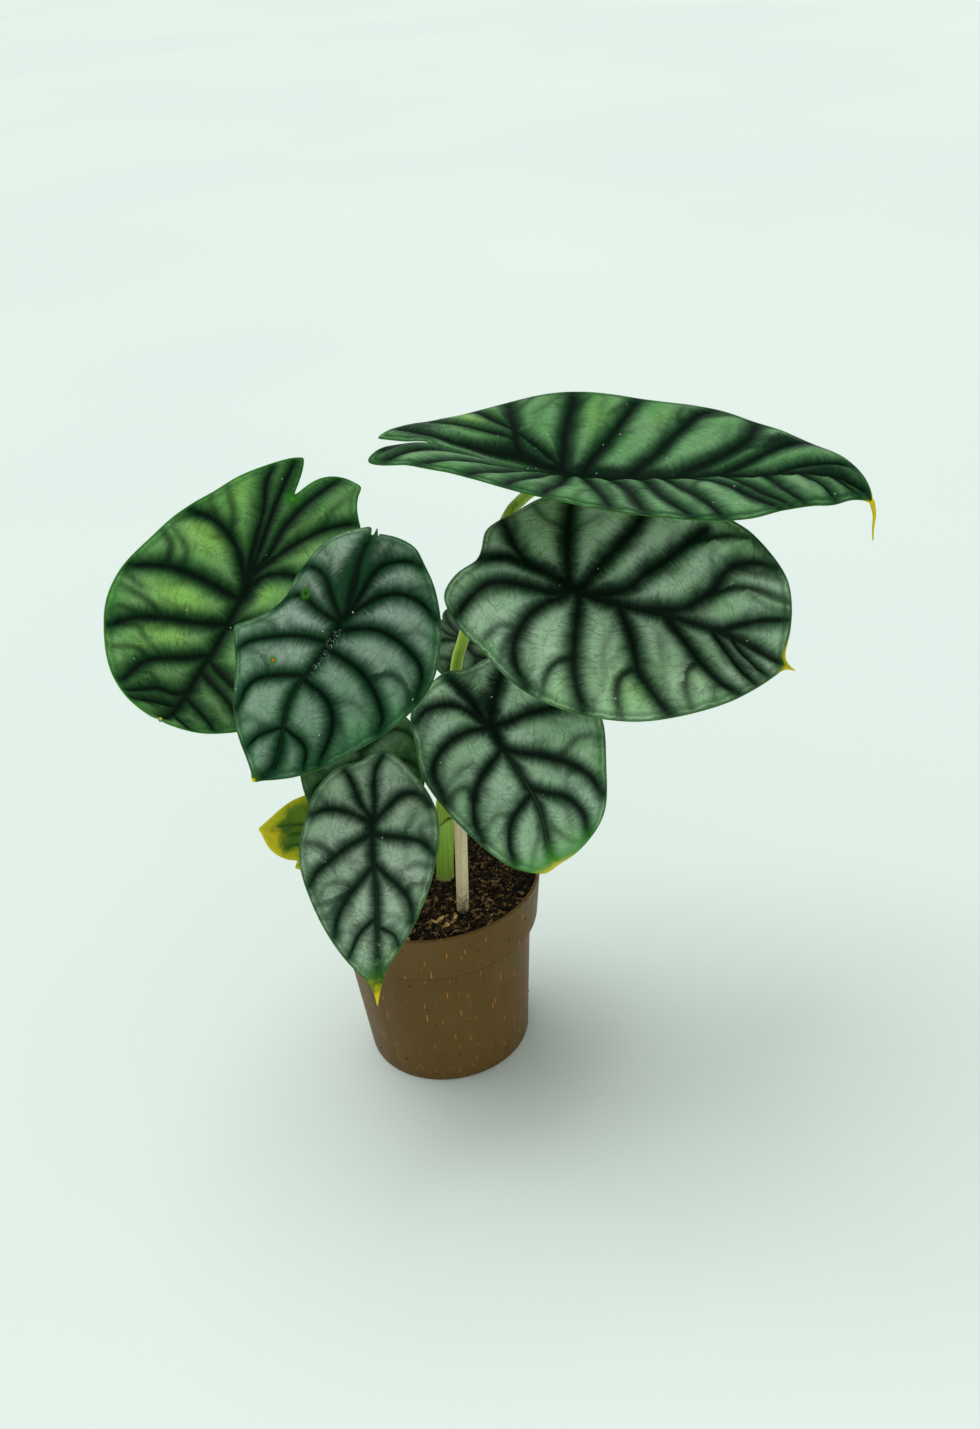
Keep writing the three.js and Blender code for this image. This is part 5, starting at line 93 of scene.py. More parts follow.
        "subs": [([16.5, 25, 11.3, 31, 12.2, 39, 17, 44, 23, 46], 0.8), ([-27, 20, -33, 26, -34, 33], 0.45), ([-4, 24, -12, 32, -13, 42], 0.4), ([36, 14, 31, 22, 33, 32], 0.4), ([20, -28, 15, -34, 16, -41], 0.5), ([38, -20, 31, -27, 31, -36], 0.55), ([60, -6, 58, -14, 62, -22], 0.4), ([-14, -18, -24, -22, -28, -30], 0.45), ([-1, -20, -9, -26, -10, -34], 0.4), ([40, 17, 46, 26, 54, 30], 0.4), ([62, 4, 70, 6, 76, 4], 0.4)],
        "stalk": {"path": [-8.5, -3, 101.8, -11.9, -2, 129.9, -14.5, -1.6, 157, -16.4, -2.2, 182.8, -17.7, -4.3, 207, -18.5, -8.1, 229.3, -19, -14.1, 249.4, -19.3, -22.7, 267, -19.4, -34.2, 281.8, -19.6, -49.1, 293.5, -19.9, -67.7, 301.8], "radii": [3.3, 2.9, 2.3]},
    },
    "back_left": {
        "u0": -97.726, "du": 17.1272, "nu": 15, "v0": -75.790, "dv": 15.1581, "nv": 11, "Lf": 120.4,
        "surface": [-96.96, 105.99, 363.67, -83.02, 101.33, 359.12, -69.24, 97.15, 353.72, -55.67, 93.48, 347.48, -42.36, 90.32, 340.44, -29.27, 87.53, 332.86, -15.68, 83.84, 326.66, -2.27, 80.5, 319.9, 10.83, 77.68, 312.36, 23.58, 75.4, 304.06, 35.92, 73.67, 295.04, -103.65, 90.96, 358.13, -89.82, 86.53, 353.06, -76.14, 82.55, 347.24, -62.66, 79.05, 340.71, -49.43, 76.03, 333.48, -36.37, 73.32, 325.8, -22.78, 69.57, 319.65, -9.33, 66.12, 313.03, 3.88, 63.16, 305.72, 16.79, 60.69, 297.73, 29.37, 58.72, 289.1, -110.46, 76.1, 352.17, -96.75, 71.92, 346.59, -83.18, 68.17, 340.39, -69.79, 64.85, 333.57, -56.63, 61.98, 326.15, -43.6, 59.36, 318.39, -30.02, 55.55, 312.27, -16.52, 51.99, 305.79, -3.23, 48.87, 298.7, 9.83, 46.19, 291.03, 22.62, 43.97, 282.78, -117.4, 61.41, 345.8, -103.8, 57.52, 339.74, -90.35, 54.01, 333.15, -77.06, 50.9, 326.06, -63.96, 48.18, 318.46, -50.97, 45.67, 310.62, -37.38, 41.79, 304.54, -23.85, 38.11, 298.19, -10.49, 34.82, 291.33, 2.7, 31.92, 283.96, 15.69, 29.42, 276.1, -124.45, 46.9, 339.01, -110.98, 43.33, 332.49, -97.64, 40.09, 325.55, -84.44, 37.2, 318.18, -71.41, 34.65, 310.42, -58.45, 32.24, 302.5, -44.86, 28.3, 296.45, -31.31, 24.49, 290.24, -17.88, 21.02, 283.59, -4.58, 17.88, 276.53, 8.57, 15.09, 269.05, -131.61, 32.6, 331.81, -118.28, 29.37, 324.86, -105.05, 26.43, 317.57, -91.95, 23.77, 309.96, -78.98, 21.4, 302.03, -66.04, 19.09, 294.03, -52.46, 15.09, 288.02, -38.89, 11.15, 281.94, -25.41, 7.48, 275.5, -12.02, 4.09, 268.73, 1.27, 0.99, 261.63, -138.94, 18.81, 324.01, -125.71, 15.85, 316.74, -112.58, 13.14, 309.2, -99.55, 10.66, 301.4, -86.64, 8.43, 293.34, -73.74, 6.2, 285.27, -60.16, 2.16, 279.29, -46.57, -1.87, 273.3, -33.05, -5.67, 267.03, -19.59, -9.24, 260.47, -6.22, -12.57, 253.64, -146.2, 5.56, 316.18, -133, 2.64, 308.84, -119.92, -0.07, 301.21, -106.95, -2.55, 293.31, -94.11, -4.82, 285.14, -81.28, -7.08, 276.97, -67.65, -11.04, 271.05, -54.02, -15.01, 265.12, -40.46, -18.76, 258.9, -26.98, -22.31, 252.38, -13.59, -25.64, 245.57, -152.87, -8.35, 309.75, -139.72, -11.27, 302.32, -126.7, -14.01, 294.59, -113.82, -16.57, 286.57, -101.09, -18.94, 278.26, -88.36, -21.31, 269.96, -74.66, -25.14, 264.12, -60.95, -28.97, 258.28, -47.34, -32.63, 252.12, -33.82, -36.12, 245.65, -20.41, -39.43, 238.87, -158.61, -23.05, 305.41, -145.53, -26.02, 297.88, -132.6, -28.86, 290.04, -119.83, -31.57, 281.9, -107.23, -34.14, 273.45, -94.64, -36.73, 265.01, -80.85, -40.34, 259.25, -67.05, -43.97, 253.49, -53.36, -47.47, 247.4, -39.79, -50.86, 240.98, -26.36, -54.13, 234.24, -163.03, -38.34, 303.84, -150.01, -41.41, 296.23, -137.18, -44.43, 288.3, -124.54, -47.39, 280.05, -112.09, -50.3, 271.48, -99.63, -53.21, 262.95, -85.75, -56.53, 257.23, -71.85, -59.86, 251.53, -58.09, -63.14, 245.48, -44.48, -66.39, 239.1, -31.01, -69.58, 232.38, -165.64, -53.58, 305.64, -152.7, -56.83, 297.97, -139.97, -60.11, 290, -127.43, -63.44, 281.71, -115.12, -66.81, 273.13, -102.79, -70.18, 264.58, -88.83, -73.12, 258.83, -74.86, -76.07, 253.11, -61.04, -79.06, 247.05, -47.38, -82.11, 240.67, -33.88, -85.21, 233.95, -166.04, -67.66, 311.1, -153.16, -71.15, 303.45, -140.48, -74.79, 295.53, -128.01, -78.58, 287.35, -115.77, -82.52, 278.9, -103.51, -86.44, 270.5, -89.53, -88.95, 264.6, -75.53, -91.45, 258.73, -61.69, -94.11, 252.57, -48.01, -96.93, 246.11, -34.5, -99.91, 239.37, -163.98, -79.04, 319.99, -151.1, -82.82, 312.47, -138.41, -86.86, 304.77, -125.92, -91.15, 296.87, -113.64, -95.69, 288.8, -101.33, -100.19, 280.76, -87.42, -102.28, 274.55, -73.48, -104.33, 268.37, -59.68, -106.65, 261.97, -46.03, -109.23, 255.36, -32.53, -112.09, 248.55, -159.59, -86.08, 331.34, -146.64, -90.12, 324.09, -133.83, -94.5, 316.78, -121.17, -99.21, 309.4, -108.68, -104.25, 301.96, -96.17, -109.22, 294.54, -82.44, -110.99, 287.85, -68.68, -112.7, 281.18, -55.02, -114.75, 274.41, -41.46, -117.16, 267.55, -28.01, -119.9, 260.6],
        "outline": [-55.1, -0.4, -55.1, -0.4, -59.3, -0.8, -63.8, -1.1, -72.8, -2.3, -78.1, -3.7, -79.1, -5, -78.5, -7, -76.4, -10, -70.7, -15.4, -61.5, -22.1, -56.7, -26.1, -51.6, -29.4, -47.1, -31.6, -42.8, -33.6, -38.6, -35.2, -35.2, -37.4, -31.8, -39.4, -28.4, -41.3, -24.9, -43.1, -21.6, -44.5, -18.3, -46, -15, -47.3, -11.8, -48.3, -8.5, -49.3, -5.2, -50.2, -1.8, -51.1, 1.8, -52.2, 5.7, -53.4, 9.8, -54.4, 14.8, -55.8, 20.3, -57, 29.7, -57.4, 39.9, -55.6, 45.4, -53.8, 51, -51.4, 62.3, -46.3, 72.6, -41, 85.1, -33.7, 95.1, -25.9, 103.2, -17.4, 115, -8.8, 116.3, -2, 125.1, 1, 118, 1.6, 116.3, 5.6, 111.8, 12.3, 100.1, 18.1, 93.6, 23.5, 87.4, 27.6, 80.5, 33.3, 73.5, 38.1, 66.5, 42.1, 59.6, 45.3, 52.8, 47.8, 46.2, 49.6, 39.7, 50.8, 33.5, 51.5, 27.8, 51.9, 22.4, 52.1, 17.3, 52.1, 12.4, 51.9, 7.7, 51.4, 3.2, 50.8, -1.2, 50.1, -5.5, 49.6, -9.7, 49, -14, 48.4, -18.4, 47.8, -22.9, 47, -27.6, 46.1, -32.4, 45, -37.5, 43.6, -42.9, 41.9, -48.5, 39.9, -54.4, 37.4, -58.6, 33, -63, 29.5, -70.8, 28.6, -76.1, 27.7, -77.7, 24.3, -78.2, 18.9, -76.6, 12.9, -73.4, 7.6, -68.9, 4.2, -62.1, 1.9],
        "midrib": [6.2, 0.3, 12.1, 0.3, 37.5, 0.5, 53.6, 0, 74.4, 0, 90.8, -0.1, 104.7, -1.8],
        "veins": [([-1, -1.5, -16, 4.5, -29.5, 11.5, -44, 21.5, -52.5, 31], 2.6, 1.9), ([-4, -1, -18.5, 2.5, -33, 3, -48, 5.5, -61, 10, -72, 15], 2.8, 1.9), ([3, -0.5, -6.3, 4.5, -11.5, 10.5, -14, 18.5, -14.7, 31.5], 2.8, 2), ([26.5, 0.2, 18, 9, 13.5, 22.5, 15.5, 37], 2.8, 2), ([45.5, 0.3, 53, 14, 59.5, 26], 2.8, 2.2), ([-4, -2, -11, -3.8, -26, -7, -41, -10, -55, -15, -63, -16], 2.6, 1.8), ([-8, -1.2, -25, -3.2, -48, -6.2, -66, -7.5], 2.4, 1.6), ([-3, -3, -13.5, -11, -20, -19.5, -23.5, -29, -23, -37], 2.9, 2.2), ([8, 0, 7.8, -14, 8.2, -27.5, 10.3, -39, 16.5, -51], 3.5, 2.2), ([23.5, 0, 30.5, -13.8, 35, -24.5, 39.8, -34, 45.5, -41.5, 53, -46.5], 3.5, 2.2), ([42.8, 0, 51.5, -10.5, 58.5, -19.5, 67, -25, 81, -27], 3.4, 2), ([66, 0.5, 73.5, -4.5, 77.5, -12.5, 86, -18], 2.4, 1.6), ([82, -0.5, 87, -8, 94, -14], 2, 1.4), ([54, 1, 60, 11, 67, 20, 74, 26], 2.6, 1.8), ([72, 1, 80, 10, 88, 17, 93, 20], 2.2, 1.5), ([90, 0.5, 98, 7, 104, 11], 1.6, 1.2)],
        "subs": [([-20, -18, -31, -22, -38, -27, -42, -30], 0.7), ([10, -39, 0, -40.5, -5, -46], 0.8), ([35, -30, 31.5, -39, 30.5, -47.5], 0.7), ([62, -23, 60, -30, 64, -36], 0.7), ([8, -31, -2, -33.5, -7, -40], 0.6), ([-24, -28, -30, -33, -35, -36], 0.5), ([26, -44, 24, -50, 22, -54], 0.5), ([-24, -34, -19, -41, -13, -46], 0.45), ([50, -44, 47, -36, 52, -30], 0.6), ([74, -26, 72, -18, 78, -12], 0.5), ([-44, 21, -52, 20, -62, 23], 0.5), ([-30, 12, -40, 11, -50, 13], 0.35), ([95, -8, 92, -14, 96, -18], 0.5), ([40, -40, 41, -48, 45, -50], 0.6)],
        "stalk": {"path": [-8.5, 10, 101.8, -13.2, 12.8, 127.7, -18.9, 16.1, 151.4, -25.3, 19.6, 173.2, -32.2, 22.7, 193.2, -39.3, 25.1, 211.7, -46.6, 26.3, 228.7, -53.7, 26, 244.5, -60.4, 23.7, 259.2, -66.6, 19, 273.1, -72, 11.4, 286.2], "radii": [3.3, 2.9, 2.4]},
    },
    "front": {
        "u0": -49.223, "du": 10.8342, "nu": 15, "v0": -49.908, "dv": 9.9817, "nv": 11, "Lf": 83.8,
        "surface": [-66.11, -47.63, 239.18, -56.32, -48.45, 239.34, -46.51, -49.09, 239.29, -36.69, -49.53, 239.03, -26.87, -49.79, 238.55, -17.06, -50.01, 238.03, -7.26, -50.83, 238.19, 2.54, -51.6, 238.29, 12.35, -52.19, 238.19, 22.17, -52.58, 237.87, 31.99, -52.79, 237.34, -66.66, -55.54, 232.02, -56.87, -56.36, 232.16, -47.06, -56.99, 232.1, -37.24, -57.42, 231.83, -27.42, -57.67, 231.35, -17.6, -57.87, 230.84, -7.81, -58.7, 230.98, 1.99, -59.49, 231.09, 11.8, -60.09, 230.99, 21.62, -60.49, 230.69, 31.44, -60.7, 230.18, -67.21, -63.22, 224.62, -57.41, -64.04, 224.74, -47.6, -64.66, 224.66, -37.78, -65.09, 224.38, -27.96, -65.32, 223.91, -18.15, -65.51, 223.4, -8.35, -66.35, 223.54, 1.45, -67.16, 223.65, 11.26, -67.76, 223.55, 21.08, -68.18, 223.27, 30.89, -68.39, 222.78, -67.74, -70.67, 216.98, -57.95, -71.49, 217.08, -48.13, -72.11, 216.98, -38.31, -72.52, 216.7, -28.5, -72.73, 216.24, -18.68, -72.91, 215.73, -8.89, -73.77, 215.87, 0.91, -74.59, 215.97, 10.72, -75.21, 215.88, 20.54, -75.63, 215.61, 30.36, -75.84, 215.14, -68.27, -77.89, 209.11, -58.47, -78.7, 209.19, -48.66, -79.31, 209.08, -38.84, -79.71, 208.8, -29.02, -79.91, 208.33, -19.21, -80.07, 207.84, -9.41, -80.94, 207.97, 0.38, -81.78, 208.07, 10.19, -82.41, 207.98, 20.01, -82.84, 207.72, 29.83, -83.06, 207.28, -68.79, -84.86, 201.03, -58.99, -85.67, 201.09, -49.18, -86.27, 200.98, -39.36, -86.66, 200.69, -29.54, -86.85, 200.23, -19.72, -87, 199.74, -9.93, -87.88, 199.86, -0.14, -88.73, 199.96, 9.67, -89.37, 199.88, 19.49, -89.81, 199.63, 29.31, -90.03, 199.2, -69.3, -91.67, 192.82, -59.5, -92.48, 192.88, -49.69, -93.08, 192.76, -39.87, -93.46, 192.47, -30.05, -93.64, 192.01, -20.23, -93.79, 191.52, -10.44, -94.68, 191.64, -0.65, -95.53, 191.74, 9.16, -96.18, 191.66, 18.98, -96.62, 191.41, 28.8, -96.85, 190.99, -69.81, -98.38, 184.53, -60.01, -99.19, 184.58, -50.2, -99.78, 184.46, -40.38, -100.16, 184.16, -30.56, -100.34, 183.71, -20.74, -100.48, 183.22, -10.95, -101.37, 183.34, -1.16, -102.24, 183.43, 8.65, -102.89, 183.36, 18.47, -103.33, 183.12, 28.29, -103.56, 182.7, -70.31, -105.01, 176.17, -60.52, -105.81, 176.22, -50.7, -106.41, 176.09, -40.88, -106.78, 175.8, -31.06, -106.95, 175.34, -21.25, -107.08, 174.85, -11.46, -107.98, 174.97, -1.66, -108.85, 175.07, 8.14, -109.51, 175, 17.96, -109.96, 174.76, 27.78, -110.19, 174.35, -70.82, -111.58, 167.77, -61.02, -112.38, 167.81, -51.21, -112.97, 167.68, -41.39, -113.34, 167.39, -31.57, -113.5, 166.92, -21.75, -113.63, 166.44, -11.96, -114.53, 166.56, -2.17, -115.41, 166.66, 7.64, -116.08, 166.59, 17.46, -116.53, 166.35, 27.28, -116.76, 165.95, -71.32, -118.1, 159.34, -61.52, -118.9, 159.37, -51.71, -119.48, 159.24, -41.89, -119.85, 158.94, -32.07, -120.01, 158.48, -22.25, -120.13, 158, -12.46, -121.04, 158.12, -2.67, -121.93, 158.21, 7.14, -122.6, 158.15, 16.96, -123.05, 157.92, 26.78, -123.29, 157.52, -71.82, -124.61, 150.89, -62.02, -125.4, 150.92, -52.21, -125.98, 150.79, -42.39, -126.35, 150.49, -32.57, -126.5, 150.02, -22.75, -126.62, 149.54, -12.96, -127.53, 149.66, -3.17, -128.42, 149.76, 6.64, -129.09, 149.7, 16.46, -129.55, 149.47, 26.28, -129.8, 149.07, -72.32, -131.11, 142.45, -62.52, -131.9, 142.48, -52.71, -132.48, 142.34, -42.89, -132.84, 142.04, -33.07, -132.99, 141.57, -23.25, -133.11, 141.08, -13.46, -134.02, 141.2, -3.67, -134.92, 141.31, 6.14, -135.59, 141.25, 15.95, -136.06, 141.02, 25.77, -136.31, 140.63, -72.82, -137.64, 134.03, -63.02, -138.43, 134.05, -53.21, -139, 133.91, -43.39, -139.36, 133.6, -33.57, -139.5, 133.13, -23.75, -139.62, 132.64, -13.96, -140.54, 132.77, -4.17, -141.43, 132.88, 5.63, -142.11, 132.82, 15.45, -142.58, 132.6, 25.27, -142.84, 132.21, -73.32, -144.21, 125.64, -63.52, -144.99, 125.67, -53.71, -145.56, 125.52, -43.89, -145.91, 125.21, -34.07, -146.06, 124.73, -24.25, -146.17, 124.23, -14.47, -147.09, 124.37, -4.68, -147.99, 124.48, 5.13, -148.68, 124.43, 14.95, -149.15, 124.22, 24.77, -149.41, 123.83],
        "outline": [-31.7, -2.4, -29.6, -5, -29.6, -5, -29.8, -8.2, -28.7, -12.5, -27.6, -15.7, -26.3, -17.6, -24.8, -19.2, -23.2, -20.8, -21.7, -22.3, -20.1, -23.7, -18.4, -25, -16.3, -26.3, -14, -27.6, -12.1, -28.4, -10.2, -29.1, -8.3, -29.7, -6.5, -30.4, -4.6, -31, -2.7, -31.5, 0.1, -32.5, 2.9, -33.4, 5, -33.8, 7.2, -34.2, 9.4, -34.6, 12.5, -34.8, 15.9, -35, 22.3, -34.3, 28.2, -32.5, 33.9, -30.3, 39.7, -28.4, 46.3, -25.4, 52, -22.4, 56.9, -19.3, 62.8, -15.5, 67.3, -11.7, 71.2, -7.8, 73.6, -4.7, 77, -2.4, 81, -1, 85.4, -0.6, 81.8, 0.6, 76.3, 1.7, 71.7, 2.7, 67, 5.3, 63.2, 8.8, 58.6, 12.3, 54, 15.7, 49.3, 18.4, 44.7, 21, 39.2, 23.7, 32.9, 26.4, 29.2, 27.6, 25.7, 28.5, 23.2, 29.2, 20.8, 29.8, 18.5, 30.4, 16.4, 30.9, 14.2, 31.5, 12.1, 31.9, 9.3, 32.3, 6.5, 32.6, 3.6, 32.5, 0.8, 32.4, -1.1, 32.1, -3, 31.8, -4.9, 31.4, -7, 30.7, -8.9, 29.9, -10.9, 29.1, -12.6, 28.2, -14.4, 27.2, -16, 26.1, -17.8, 24.9, -19.6, 23.6, -21.3, 22.2, -23.1, 21, -24.8, 19.7, -26.5, 18.2, -28.9, 16.4, -31.1, 14.2, -34.7, 10.2, -35.7, 7.7, -35.5, 4.3, -33.6, 1],
        "midrib": [6.1, 0.5, 12.7, 0.1, 19.3, 0.4, 26, 0.9, 32.3, 1.1, 38.6, 1.3, 45.2, 1, 51.7, 1.1, 58, 0.7, 64.2, 0.6, 72.4, 0.6, 80.4, 0, 84.9, -0.3],
        "veins": [([4.7, 0.7, 6.8, 10, 7.9, 16, 9.7, 22.8, 13.2, 27.3, 16.5, 29.5], 2.5, 1.5), ([-1.4, 2, -7.2, 8.3, -12, 13.7, -13.6, 19.5, -11.4, 24.8, -7.2, 28.3], 2.4, 1.5), ([-2.6, 1.6, -10.5, 2, -19.3, 2, -26.6, 3.4, -32.3, 6.8], 2.3, 1.3), ([19.5, 1, 25.2, 6.6, 31, 12.5, 37, 16.6, 43, 17.9, 47, 17.6], 2.4, 1.4), ([49, 1.1, 51.2, 6, 53.6, 9.2, 57.8, 10.6], 1.4, 1), ([-2.7, 0, -9.5, -4.6, -16.8, -7.2, -22.3, -9.3, -25.8, -11.7], 2.3, 1.4), ([-1.2, -1.5, -5, -8.8, -7.2, -14.5, -7.8, -21, -6, -27], 2.4, 1.5), ([4.7, 0, 8.7, -8, 13, -15.3, 17.5, -21.2, 21.5, -26.2, 27, -29.5], 2.7, 1.6), ([20.5, 0.2, 27, -6, 33, -11.3, 39.5, -15.4, 45.5, -18, 50.5, -18.9], 2.5, 1.5), ([44.4, 1, 48.3, -4, 52.8, -8.3, 58, -10.8], 1.5, 1)],
        "subs": [([6.5, 14, 2.5, 18, -1.2, 20], 0.55), ([34, 15, 30, 18.5, 29.3, 22, 31, 26], 0.65), ([13.5, -19.5, 9.3, -24, 8, -30], 0.75), ([31, -11, 35.5, -17, 36.5, -24], 0.75), ([13, 27, 4, 23.5, 2, 28], 0.6), ([10, 17, 18, 16.5, 20, 16], 0.3), ([22, 28, 20.5, 20, 25, 12], 0.5), ([18, -8, 17, -16, 20, -22], 0.3), ([30, -10, 27, -16, 28, -22, 33, -25], 0.5), ([49, 8, 45, 12, 44, 3], 0.35), ([-8, -20, -13, -23, -15, -27], 0.5), ([37, -17, 42, -21, 43, -25], 0.6), ([-13, 18, -19, 20, -20, 15], 0.25)],
        "stalk": {"path": [-12.5, -13, 101.8, -13.6, -24.6, 111.7, -14.7, -35.3, 121.2, -15.6, -45.2, 130.5, -16.4, -54, 139.7, -17.1, -61.8, 148.9, -17.8, -68.4, 158.4, -18.3, -73.8, 168.2, -18.8, -77.9, 178.7, -19.1, -80.7, 189.9, -19.4, -82.1, 201.9], "radii": [2.7, 2.3, 1.9]},
    },
    "old": {
        "u0": -26.829, "du": 8.0189, "nu": 11, "v0": -30.873, "dv": 7.7182, "nv": 9, "Lf": 42.0,
        "surface": [-30.84, -22.53, 201.73, -27.25, -28.07, 197.73, -23.65, -33.42, 193.5, -20.03, -38.58, 189.04, -16.42, -43.54, 184.35, -12.81, -48.29, 179.46, -9.21, -52.83, 174.36, -5.63, -57.15, 169.06, -2.06, -61.24, 163.57, -37.88, -25.2, 199.13, -34.31, -30.75, 195.12, -30.72, -36.11, 190.88, -27.12, -41.27, 186.42, -23.51, -46.23, 181.74, -19.89, -50.98, 176.84, -16.29, -55.52, 171.75, -12.68, -59.83, 166.45, -9.1, -63.9, 160.97, -44.91, -27.74, 196.39, -41.37, -33.29, 192.38, -37.79, -38.65, 188.13, -34.2, -43.82, 183.66, -30.59, -48.78, 178.98, -26.98, -53.53, 174.09, -23.36, -58.06, 169, -19.74, -62.37, 163.71, -16.13, -66.44, 158.24, -51.94, -30.13, 193.52, -48.42, -35.69, 189.5, -44.86, -41.06, 185.24, -41.28, -46.23, 180.77, -37.67, -51.2, 176.09, -34.05, -55.95, 171.2, -30.42, -60.47, 166.11, -26.79, -64.77, 160.83, -23.16, -68.84, 155.37, -58.95, -32.38, 190.51, -55.45, -37.95, 186.48, -51.91, -43.32, 182.22, -48.34, -48.5, 177.74, -44.74, -53.46, 173.05, -41.12, -58.21, 168.17, -37.48, -62.73, 163.08, -33.82, -67.03, 157.81, -30.16, -71.08, 152.36, -65.92, -34.42, 187.33, -62.45, -40, 183.28, -58.94, -45.38, 179, -55.38, -50.56, 174.52, -51.79, -55.53, 169.83, -48.16, -60.27, 164.95, -44.5, -64.79, 159.87, -40.83, -69.08, 154.61, -37.13, -73.12, 149.17, -72.85, -36.24, 183.94, -69.42, -41.83, 179.87, -65.93, -47.22, 175.59, -62.39, -52.4, 171.1, -58.8, -57.37, 166.41, -55.17, -62.11, 161.52, -51.49, -66.63, 156.45, -47.79, -70.9, 151.21, -44.06, -74.94, 145.79, -79.72, -37.8, 180.34, -76.33, -43.4, 176.25, -72.87, -48.79, 171.95, -69.35, -53.98, 167.46, -65.76, -58.95, 162.76, -62.12, -63.69, 157.88, -58.44, -68.2, 152.82, -54.7, -72.48, 147.59, -50.93, -76.5, 142.19, -86.52, -39.09, 176.52, -83.17, -44.69, 172.41, -79.74, -50.09, 168.09, -76.24, -55.28, 163.58, -72.66, -60.25, 158.88, -69.01, -65, 154.01, -65.31, -69.5, 148.95, -61.54, -73.77, 143.74, -57.73, -77.79, 138.37, -93.22, -40.07, 172.46, -89.92, -45.68, 168.32, -86.52, -51.09, 163.98, -83.03, -56.28, 159.46, -79.46, -61.25, 154.76, -75.81, -65.99, 149.89, -72.08, -70.5, 144.85, -68.29, -74.76, 139.65, -64.43, -78.77, 134.31, -99.79, -40.72, 168.16, -96.54, -46.34, 163.99, -93.18, -51.75, 159.63, -89.72, -56.95, 155.1, -86.15, -61.92, 150.39, -82.49, -66.66, 145.52, -78.75, -71.16, 140.5, -74.92, -75.42, 135.32, -71.01, -79.43, 130.01],
        "outline": [-17.2, -1.3, -17.2, -1.3, -19, -3.1, -19, -3.1, -20.2, -5.1, -20.2, -5.1, -20.8, -7.2, -20.8, -7.2, -20.9, -9.4, -20.9, -9.4, -20.6, -11.5, -20.6, -11.5, -19.8, -13.4, -19.8, -13.4, -18.8, -15.3, -18.8, -15.3, -17.5, -17, -17.5, -17, -16.1, -18.6, -16.1, -18.6, -14.6, -20.1, -14.6, -20.1, -12.9, -21.5, -12.9, -21.5, -11.1, -22.8, -11.1, -22.8, -9.1, -23.9, -9.1, -23.9, -7.1, -24.8, -7.1, -24.8, -5, -25.7, -5, -25.7, -2.8, -26.4, -2.8, -26.4, -0.5, -27.1, 2.6, -28.4, 7.1, -29.7, 9.9, -29.9, 12.8, -29.9, 14.9, -29.8, 17, -29.6, 19.3, -29.4, 25, -28.6, 29.4, -27.5, 32.5, -28.2, 32.5, -28.2, 30.7, -25.3, 31.9, -22.2, 32.7, -18.1, 32, -14.2, 30.6, -10.6, 28.7, -7.2, 26.4, -4.3, 23.3, -2.1, 26.3, -0.1, 26.3, -0.1, 24.6, 2.1, 24.6, 2.1, 23.4, 4, 23.4, 4, 22.1, 5.8, 22.1, 5.8, 20.8, 7.4, 20.8, 7.4, 19.4, 8.9, 19.4, 8.9, 17.9, 10.2, 17.9, 10.2, 16.4, 11.4, 16.4, 11.4, 14.9, 12.4, 14.9, 12.4, 13.4, 13.3, 13.4, 13.3, 11.9, 14, 11.9, 14, 10.4, 14.6, 10.4, 14.6, 8.9, 15.1, 8.9, 15.1, 7.4, 15.6, 7.4, 15.6, 6, 16, 6, 16, 4.5, 16.4, 4.5, 16.4, 3.1, 16.6, 3.1, 16.6, 1.6, 16.8, 1.6, 16.8, 0.1, 16.9, 0.1, 16.9, -1.3, 17, -1.3, 17, -2.8, 17, -2.8, 17, -4.4, 16.9, -4.4, 16.9, -5.9, 16.7, -5.9, 16.7, -7.5, 16.4, -7.5, 16.4, -9, 16, -9, 16, -10.5, 15.4, -10.5, 15.4, -12, 14.7, -12, 14.7, -13.5, 13.8, -13.5, 13.8, -14.9, 12.8, -14.9, 12.8, -16.2, 11.6, -16.2, 11.6, -17.4, 10.3, -17.4, 10.3, -18.3, 8.8, -18.3, 8.8, -18.8, 7.1, -18.8, 7.1, -18.8, 5.3, -18.8, 5.3, -18.4, 3.5, -18.4, 3.5, -17.3, 1.7, -17.3, 1.7, -15.4, 0.2, -15.4, 0.2],
        "midrib": [14.4, -12.9, 20.8, -14.9, 26.5, -17.7, 30.2, -20.9, 32.5, -28.2],
        "veins": [([-1.3, 1, -5.5, 1.3, -9.6, 1.3, -13.4, 1.9, -16.2, 4], 1.2, 0.8), ([-0.7, 1.1, -4, 4.9, -6.4, 8, -7.2, 11.4, -6, 14.2, -3.8, 16.5], 1.2, 0.8), ([2.4, 0.4, 3, 5.1, 3.6, 9.4, 4.6, 13.2, 6.4, 16, 8.1, 17.4], 1.2, 0.8), ([9.7, 0.7, 13.2, 4.6, 15.7, 7.4, 18.6, 9.7, 21.4, 10.4, 23.5, 10.3], 1.2, 0.8), ([24.5, 0.6, 25.6, 3.5, 26.8, 5.4, 29, 6.2], 1.2, 0.8), ([-1.4, 0, -4.8, -2.8, -8.2, -4.1, -11.1, -5.5, -12.9, -6.8], 1.2, 0.8), ([-0.6, -0.8, -2.9, -5.2, -4, -8.5, -4.4, -12.4, -3.4, -15.8], 1.2, 0.8), ([2.3, -0.1, 4.2, -5, 6, -8.9, 7.9, -12.3, 10.2, -15.3, 13.4, -17.3], 1.2, 0.8), ([10.2, 0.4, 13.2, -3.5, 15.9, -6.5, 18.9, -9, 22.2, -10.6, 24.9, -10.9], 1.2, 0.8), ([22.2, 0.6, 24.1, -2.5, 26.4, -4.8, 29.1, -6.3], 1.2, 0.8)],
